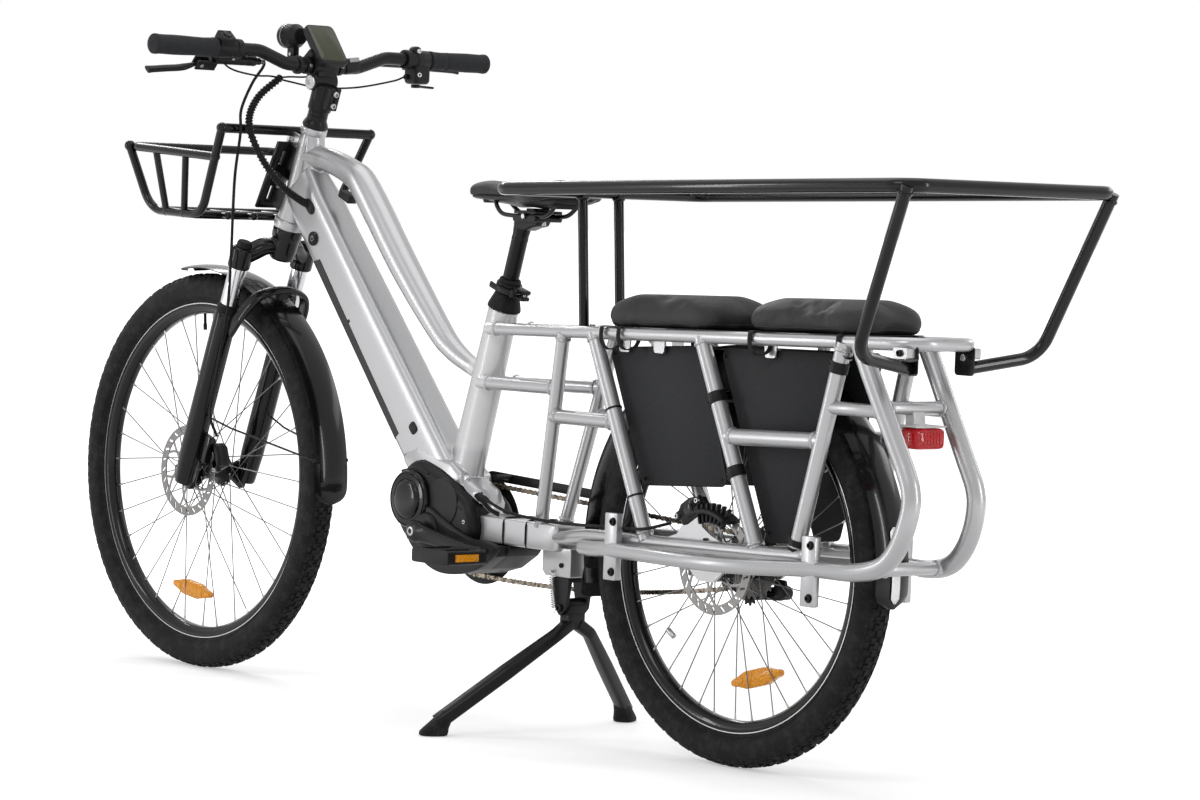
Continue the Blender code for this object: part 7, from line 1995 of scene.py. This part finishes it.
def build_display():
    """The display on its two arms, and the round lamp with its cooling ribs."""
    normal, rise = Vector((0.786, 0, 0.619)), Vector((-0.619, 0, 0.786))
    turn = Matrix((normal, ACROSS, rise)).transposed()
    centre = Vector((-0.4905, 0, 1.099))

    def plate(half_y, half_z, layers, power=9, lift=0.0):
        outline = oval(half_y, half_z, 64, power)
        return skin([[centre + normal * depth + ACROSS * a * share + rise * (b * share + lift) for a,
                b in outline] for depth, share in layers])
    case = plate(0.03, 0.042, [(-0.007, 0.93), (-0.0058, 0.975), (-0.004, 1.0), (0.0045, 1.0), (0.006, 0.99),
            (0.0068, 0.965), (0.0069, 0.94)])
    seam = plate(0.0302, 0.0422, [(-0.0008, 0.985), (-0.0006, 1.0), (0.0002, 1.0), (0.0004, 0.985)])
    arms = []
    for y in (-0.0345, 0.0345):
        arms.append(turned([(0.0122, y - 0.0045), (0.0142, y - 0.0045), (0.015, y - 0.0036),
                (0.015, y + 0.0036), (0.0142, y + 0.0045), (0.0122, y + 0.0045)], BAR_MIDDLE, ACROSS, 40))
        arms.append(block(Vector((-0.4935, y * 0.87, 1.081)), (0.022, 0.0085, 0.014), turn))
    piece("display_case", [case, seam], PLASTIC, "steering", "display", sharp=30)
    piece("display_arms", arms, PLASTIC, "steering", bevel=0.001)
    glass = plate(0.0272, 0.0372, [(0.0066, 1.0), (0.0071, 1.0), (0.0073, 0.985)], 14, 0.0014)
    piece("display_screen", glass, SCREEN, "steering", sharp=30)
    clip = sweep([Vector((-0.4965, 0.044, 1.0665)), Vector((-0.4962, 0.073, 1.07))],
            oval(0.0124, 0.0128, 28, 3.4), BACK)
    piece("bar_shim", [clip], PLASTIC, "steering", bevel=0.0012)
    piece("grey_bar_clip",
            [block(Vector((-0.4925, 0.06, 1.079)), (0.017, 0.021, 0.008), Matrix.Rotation(0.12, 3, "X"))],
            LIGHT_GREY, "steering", bevel=0.0016, segments=3)
    screws = [bolt(Vector((-0.485, y, 1.0655)), BACK, 0.0026, 0.0024) for y in (-0.0345, 0.0345)]
    piece("display_screws", screws, STEEL, "steering")
    base = Vector((-0.533, -0.02, 1.116))
    profile = [(0.009, 0.0), (0.014, 0.0004), (0.015, 0.003), (0.0186, 0.009), (0.0196, 0.012)]
    for k in range(5):
        at = 0.0134 + 0.0036 * k
        profile += [(0.0208, at), (0.0208, at + 0.0016), (0.0184, at + 0.0019), (0.0184, at + 0.0033)]
    profile += [(0.021, 0.032), (0.0212, 0.034), (0.0212, 0.0405), (0.0204, 0.0432), (0.019, 0.044),
            (0.0186, 0.041)]
    shell = turned(profile, base, AHEAD, 64)
    bars = []
    for k in range(16):
        ray = UP * cos(2 * pi * k / 16) + ACROSS * sin(2 * pi * k / 16)
        bars.append(tube([base + AHEAD * 0.0125 + ray * 0.0188, base + AHEAD * 0.032 + ray * 0.0194], 0.0013,
                8))
    foot = block(Vector((-0.5545, -0.02, 1.09)), (0.018, 0.012, 0.016))
    plate_of = block(Vector((-0.5545, -0.02, 1.08)), (0.018, 0.012, 0.009))
    arm = sweep(smooth([(-0.5545, -0.02, 1.079), (-0.533, -0.03, 1.068), (-0.51, -0.052, 1.0655)], 8),
            oval(0.004, 0.0035, 20))
    loop = turned([(0.0122, -0.056), (0.0152, -0.056), (0.016, -0.055), (0.016, -0.049), (0.0152, -0.048),
            (0.0122, -0.048)], BAR_MIDDLE, ACROSS, 40)
    piece("lamp_shell", [shell, *bars], PLASTIC, "steering", "headlight", sharp=30)
    piece("lamp_bracket_arm", [foot, plate_of, arm, loop], PLASTIC, "steering", bevel=0.001)
    lens = turned([(0.0187, 0.04), (0.0187, 0.042), (0.016, 0.0432), (0.01, 0.0438), (0.003, 0.044)], base,
            AHEAD, 48)
    piece("lamp_lens", lens, CLEAR, "steering")
    fixings = [tube([(-0.5545, -0.0275, 1.085), (-0.5545, -0.0125, 1.085)], 0.003, 20),
            turned([(0.018, 0.0322), (0.0214, 0.0324), (0.0214, 0.0334), (0.018, 0.0336)], base, AHEAD, 64,
            True)]
    piece("lamp_trim", fixings, STEEL, "steering")


# Seat
def build_seat():
    """Post, rubber boot, clamp with its small lever, and the saddle on its rails."""
    post = turned([(0.0136, -0.175), (0.0136, 0.118), (0.014, 0.119), (0.014, 0.1215), (0.0136, 0.1225),
            (0.0136, 0.129), (0.0144, 0.133), (0.0144, 0.148), (0.012, 0.152)], SEAT_TOP, SEAT_UP, 48)
    piece("post_tube", post, SATIN, "saddle_post", "seatpost")
    head = prism(corner_arcs([(0.042, 0.804), (0.07, 0.802), (0.085, 0.807), (0.1, 0.81), (0.106, 0.818),
            (0.104, 0.8262), (0.052, 0.8262), (0.042, 0.818)], 0.005, 5), -0.014, 0.014)
    cradle = prism(corner_arcs([(0.06, 0.817), (0.112, 0.817), (0.115, 0.8262), (0.057, 0.8262)], 0.003, 4),
            -0.029, 0.029)
    groove = [tube([(0.04, 0.022 * s, 0.8262), (0.13, 0.022 * s, 0.8262)], 0.0042, 16) for s in (-1, 1)]
    piece("post_cradle", [cradle], CAST, "saddle_post", bevel=0.0022, segments=3, cuts=groove)
    piece("post_head", [head], CAST, "saddle_post", bevel=0.0045, segments=4)
    lid = [block(Vector((0.087, 0, 0.8322)), (0.056, 0.056, 0.005)),
            block(Vector((0.087, 0, 0.835)), (0.02, 0.034, 0.007))]
    bolts = [bolt(Vector((x, 0, 0.8158)), -UP, 0.0042, 0.005) for x in (0.0745, 0.1015)]
    bolts += [tube([(0.088, -0.0335, 0.8255), (0.088, 0.0335, 0.8255)], 0.004, 18)]
    piece("rail_clamp_lid", lid, CAST, "saddle_post", bevel=0.0014, segments=3)
    piece("saddle_bolts", bolts, STEEL, "saddle_post")
    rails = [tube(smooth([(0.16, 0.024 * s, 0.85), (0.151, 0.023 * s, 0.839), (0.136, 0.022 * s, 0.829),
            (0.118, 0.022 * s, 0.8262), (0.082, 0.022 * s, 0.826), (0.045, 0.022 * s, 0.826),
            (0.022, 0.0215 * s, 0.829), (0.005, 0.018 * s, 0.84), (-0.005, 0.013 * s, 0.853)], 8), 0.0036,
            16) for s in (-1, 1)]
    piece("saddle_rails", rails, GLOSS, "saddle_post", sharp=60)
    rings = []
    for s, r in ((0.0006, 0.0262), (0.003, 0.0268), (0.006, 0.0262), (0.014, 0.024), (0.0215, 0.0216),
            (0.0275, 0.02), (0.028, 0.0172), (0.0455, 0.017), (0.046, 0.0184), (0.05, 0.018), (0.052, 0.0166),
            (0.0522, 0.0149), (0.0006, 0.0149)):
        grow = 0.0026 * max(0.0, 1 - s / 0.028)
        rings.append([SEAT_TOP + SEAT_UP * s + SEAT_BACK * a + ACROSS * b for a, b in oval(r + grow, r, 56)])
    piece("seat_boot", skin(rings, True), RUBBER, "frame", sharp=40)
    clamp = turned([(0.015, 0.0285), (0.0206, 0.0285), (0.0214, 0.0298), (0.0214, 0.0442), (0.0206, 0.0455),
            (0.015, 0.0455)], SEAT_TOP, SEAT_UP, 48)
    ears = [block(SEAT_TOP + SEAT_UP * s + SEAT_BACK * 0.032, (0.03, 0.018, 0.0064),
            SEAT_TURN) for s in (0.0316, 0.0424)]
    piece("clamp_ring", [clamp], SATIN, "frame", "seat_collar", bevel=0.001, segments=3)
    piece("clamp_ears", ears, SATIN, "frame", bevel=0.002, segments=4)
    pivot = SEAT_TOP + SEAT_UP * 0.037 + SEAT_BACK * 0.033 + ACROSS * -0.0165
    pin = [tube([pivot + ACROSS * 0.004, pivot + ACROSS * 0.03], 0.0022, 14),
            turned([(0.0042, 0.0265), (0.0046, 0.0275), (0.0046, 0.0305), (0.004, 0.0315)], pivot, ACROSS,
            20), turned([(0.0026, -0.0062), (0.0026, 0.0062)], SEAT_TOP + SEAT_UP * 0.037 + SEAT_BACK * 0.041,
            SEAT_UP, 16)]
    piece("clamp_pin", pin, STEEL, "frame")
    cam = turned([(0.0046, -0.0062), (0.0056, -0.0054), (0.0058, -0.004), (0.0058, 0.004), (0.0056, 0.0054),
            (0.0046, 0.0062)], pivot, SEAT_UP, 32)
    arm = sweep(smooth([pivot + ACROSS * -0.003, pivot + SEAT_BACK * -0.01 + ACROSS * -0.0085,
            pivot + SEAT_BACK * -0.03 + ACROSS * -0.011, pivot + SEAT_BACK * -0.05 + ACROSS * -0.008], 8),
            lambda share: oval(0.0024 + 0.0004 * share, 0.0042 + 0.001 * share, 24, 3), ACROSS)
    piece("clamp_lever_arm", [cam, arm], SATIN, "collar_lever", "seat_clamp_lever", bevel=0.0003)
    build_saddle()


def saddle_form(grow=0.0):
    """The saddle's sections from nose to tail."""
    stations = [(-0.0775, 0.007, 0.86, 0.869), (-0.074, 0.0125, 0.856, 0.873), (-0.064, 0.018, 0.853, 0.877),
            (-0.04, 0.022, 0.854, 0.88), (0.0, 0.0268, 0.8545, 0.8792), (0.035, 0.0345, 0.854, 0.8776),
            (0.065, 0.045, 0.853, 0.877), (0.1, 0.062, 0.851, 0.8785), (0.125, 0.072, 0.8495, 0.8812),
            (0.145, 0.0752, 0.8492, 0.884), (0.16, 0.073, 0.85, 0.8858), (0.171, 0.061, 0.853, 0.885),
            (0.178, 0.039, 0.858, 0.8815), (0.18, 0.018, 0.8625, 0.8775)]
    rows = smooth([Vector((x, half, low)) for x, half, low, high in stations], 5)
    tops = smooth([Vector((x, 0, high)) for x, half, low, high in stations], 5)
    rings = []
    for row, crest in zip(rows, tops):
        half, low, high = row.y + grow, row.z - grow, crest.z + grow
        ring = []
        for a, b in oval(half, 1, 56, 2.7):
            droop = 0.01 * (abs(a) / half) ** 2 * min(1, half / 0.05)
            trough = 0.003 * max(0.0, 1 - (a / 0.011) ** 2) * max(0.0, min(1.0, (row.x + 0.02) / 0.05))
            top = b > 0.2
            z = (low + high) / 2 + b * (high - low) / 2 - (droop if b > 0 else droop * 0.6) - (trough if top
                    else 0)
            ring.append(Vector((row.x, a, z)))
        rings.append(ring)
    return skin(rings)


def build_saddle():
    """Padded saddle with a seam round its side, over a moulded base."""
    made = piece("saddle_cover", saddle_form(-0.0006), VINYL, None, sharp=60)
    melt(made, 0.0028)
    settle(made)
    puff(made, 2.0, 0.0016, Vector((0, 0, 0.848)), UP)
    for vert in made.data.vertices:
        co = vert.co
        middle = 0.8625 - 0.006 * min(1.0, abs(co.y) / 0.07)
        hollow = max(0.0, 1 - abs(co.z - middle) / 0.0022)
        co.y -= 0.001 * hollow * (1 if co.y > 0 else -1)
        if co.z < 0.8555 and abs(co.y) < 0.06:
            co.z += 0.002
    relax(made, 0.5, 5)
    dress(made, VINYL)
    made.data.shade_smooth()
    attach(made, "saddle_post")
    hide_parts("saddle")
    rings = []
    for x, half, deep in ((-0.066, 0.012, 0.0045), (-0.04, 0.018, 0.0065), (-0.01, 0.022, 0.0095),
            (0.02, 0.027, 0.012), (0.05, 0.035, 0.016), (0.08, 0.046, 0.0145), (0.11, 0.058, 0.0165),
            (0.135, 0.066, 0.014), (0.158, 0.064, 0.0115), (0.17, 0.046, 0.006)):
        rings.append([Vector((x, half * u * (1 - 0.34 * max(0.0, -v) ** 2),
                0.855 + (deep * v if v < 0 else 0.0015))) for u, v in oval(1, 1, 48, 2.6)])
    base = skin(rings)
    sockets = [tube([(-0.036, -0.01, 0.8492), (-0.036, 0.01, 0.8492)], 0.0048, 20),
            block(Vector((0.156, 0, 0.845)), (0.014, 0.052, 0.012))]
    piece("saddle_base", [base, *sockets], PLASTIC, "saddle_post", bevel=0.0012)


# Basket
def build_basket():
    """Welded wire basket, its back plate, and the bare brackets on the head tube."""
    corners = ((-0.562, 0.16, 0.953), (-0.64, 0.14, 0.803), (-0.794, 0.138, 0.808), (-0.829, 0.162, 0.918))
    back, low_back, low_front, top_front = corners
    upright = [mirrored(back, side).lerp(mirrored(low_back, side), 0.33) for side in (-1, 1)]
    rim = [upright[0], mirrored(top_front, -1), mirrored(top_front, 1), upright[1]]
    bars = [tube(rounded(rim, 0.03, 8), 0.0076, 20, UP), tube([mirrored(back, -1), mirrored(back, 1)], 0.0085,
            20, UP)]
    beads = [ball(place, 0.0088) for place in upright]
    for side in (-1, 1):
        loop = rounded([mirrored(p, side) for p in corners], 0.045, 10)
        bars.append(tube(loop, 0.0076, 20, ACROSS))
        beads += [ball(mirrored(back, side), 0.0096), ball(mirrored(top_front, side), 0.0096)]
        for share in (0.34, 0.69):
            a = upright[(side + 1) // 2].lerp(mirrored(top_front, side), share)
            b = mirrored(low_back, side).lerp(mirrored(low_front, side), share)
            bars.append(tube([a, b], 0.006, 16, BACK))
            beads += [ball(a, 0.0076), ball(b, 0.008)]
    for low in (low_front, low_back):
        inner = [Vector(mirrored(low, side)) + Vector((0.02 if low is low_front else -0.02, 0, 0))
                for side in (-1, 1)]
        bars.append(tube(inner, 0.007, 16, UP))
    bars.append(tube([(-0.717, -0.138, 0.8055), (-0.717, 0.138, 0.8055)], 0.005, 16, UP))
    for y in (-0.084, -0.028, 0.028, 0.084):
        bars.append(tube([(-0.64, y, 0.803), (-0.794, y, 0.808)], 0.005, 16))
        beads += [ball(Vector((-0.64, y, 0.803)), 0.0072), ball(Vector((-0.794, y, 0.808)), 0.0072)]
    piece("basket_wires", bars + beads, GLOSS, "frame", "basket", sharp=60)
    lean = Matrix.Rotation(radians(27.5), 3, "Y")
    plate = block(Vector((-0.586, 0, 0.877)), (0.006, 0.088, 0.128), lean)
    ribs = [block(Vector((-0.586, y, 0.877)) + lean @ Vector((0.004, 0, 0)), (0.003, 0.005, 0.118),
            lean) for y in (-0.038, 0.038)]
    slots = [block(Vector((-0.586, y, 0.877)) + lean @ Vector((0, 0, up)), (0.02, 0.006, 0.026),
            lean) for y in (-0.026, 0.026) for up in (-0.034, 0.034)]
    piece("basket_plate", [plate, *ribs], GLOSS, "frame", bevel=0.001, cuts=slots)
    mounts, bolts = [], []
    for s in (-0.035, -0.118):
        for side in (-1, 1):
            mounts.append(block(steer_point(s, 0.03, 0.0118 * side), (0.029, 0.0044, 0.023), STEER_TURN))
        mounts.append(block(steer_point(s, 0.042), (0.005, 0.034, 0.023), STEER_TURN))
        bolts.append(bolt(steer_point(s, 0.034, -0.0139), -ACROSS, 0.0042, 0.0034))
        bolts.append(bolt(steer_point(s, 0.034, 0.0139), ACROSS, 0.0042, 0.0034))
    head_room = turned([(0.0215, 0.02), (0.0215, -0.21)], HEAD_TOP, STEER_UP, 40)
    piece("basket_brackets", mounts, ALLOY, "frame", bevel=0.0009, cuts=[head_room])
    piece("basket_bolts", bolts, STEEL, "frame")


# Cables
BUNDLE = [(-0.54, -0.055, 1.044), (-0.548, -0.098, 1.005), (-0.544, -0.116, 0.96), (-0.528, -0.098, 0.903),
        (-0.508, -0.068, 0.858), (-0.49, -0.0485, 0.838), (-0.477, -0.0325, 0.8265)]
FRONT_HOSE = [(-0.5165, -0.1185, 1.07), (-0.519, -0.108, 1.068), (-0.53, -0.102, 1.058),
        (-0.54, -0.116, 1.03), (-0.5465, -0.132, 0.985), (-0.5465, -0.132, 0.945), (-0.577, -0.118, 0.875),
        (-0.596, -0.106, 0.8), (-0.605, -0.1, 0.74), (-0.616, -0.096, 0.64), (-0.643, -0.0925, 0.54),
        (-0.67, -0.086, 0.46), (-0.678, -0.064, 0.418)]
REAR_HOSE = [(0.01, -0.038, 0.372), (0.03, -0.047, 0.368), (0.09, -0.046, 0.35), (0.17, -0.048, 0.344),
        (0.24, -0.056, 0.344), (0.33, -0.072, 0.348), (0.398, -0.077, 0.351), (0.415, -0.0795, 0.352),
        (0.434, -0.0876, 0.3528), (0.47, -0.086, 0.356), (0.512, -0.072, 0.368)]


def cable(name, points, radius, finish, node=None, body=None, blend=None, wound=0.0):
    """A cable along its route, baked in place where it spans two bodies, with a wound wrap if asked for."""
    path = smooth(points, 12)
    length = sum((b - a).length for a, b in zip(path, path[1:]))
    builds = [tube(path, radius, 16, BACK)]
    made = piece(name, builds, finish, body, node or (), sharp=60)
    if blend:
        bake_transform(made)
    if wound:
        coil = []
        turn = 0.0
        steps = smooth(path, 14)
        for centre, side, over in frames(steps, BACK):
            coil.append(centre + side * cos(turn) * wound + over * sin(turn) * wound)
            turn += 0.34
        wrap = piece(f"{name}_wrap", tube(coil, (0.0015, 0.0013), 8), PLASTIC, None, sharp=60)
        if blend:
            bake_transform(wrap)
    return made


def build_cables():
    """The hoses and the wrapped bundle on their whole routes, and the thin leads that gather in it."""
    neck = ("frame", "steering", (-0.477, -0.0325, 0.8265), (-0.544, -0.1, 1.01))
    cable("wrapped_bundle", BUNDLE, 0.0052, RUBBER, "cable_bundle", blend=neck, wound=0.0056)
    cable("front_hose", FRONT_HOSE, 0.0025, RUBBER, "front_brake_hose",
            blend=("fork_slider", "steering", (-0.616, -0.096, 0.64), (-0.577, -0.118, 0.875)))
    cable("rear_hose", REAR_HOSE, 0.0025, RUBBER, "rear_brake_hose", body="frame")
    leads = {"rear_brake_lead": [(-0.5221, 0.111, 1.0801), (-0.5235, 0.096, 1.0755), (-0.533, 0.05, 1.056),
            (-0.54, 0.0, 1.047), (-0.5412, -0.035, 1.0455), (-0.54, -0.056, 1.0432)],
            "shift_lead": [(-0.508, 0.1895, 1.056), (-0.512, 0.165, 1.047), (-0.532, 0.1, 1.033),
            (-0.545, 0.03, 1.03), (-0.545, -0.03, 1.037), (-0.5412, -0.057, 1.0405)],
            "pod_lead": [(-0.5075, -0.206, 1.0745), (-0.511, -0.196, 1.06), (-0.516, -0.17, 1.05),
            (-0.525, -0.12, 1.044), (-0.533, -0.085, 1.0445), (-0.539, -0.058, 1.043)]}
    for name, points in leads.items():
        cable(name, points, 0.0016, RUBBER, body="steering")


build_camera()
build_world()
build_floor()
build_lamps()
build_cables()
build_main_frame()
build_frame_details()
build_rails()
build_lattices()
build_tail()
build_hoop()
build_pads()
build_tail_light()
build_mudguards()
build_wheels()
build_chain()
build_motor()
build_cranks()
build_derailleur()
build_callipers()
build_stand()
build_fork()
build_stem()
build_bar()
build_controls()
build_display()
build_seat()
build_basket()
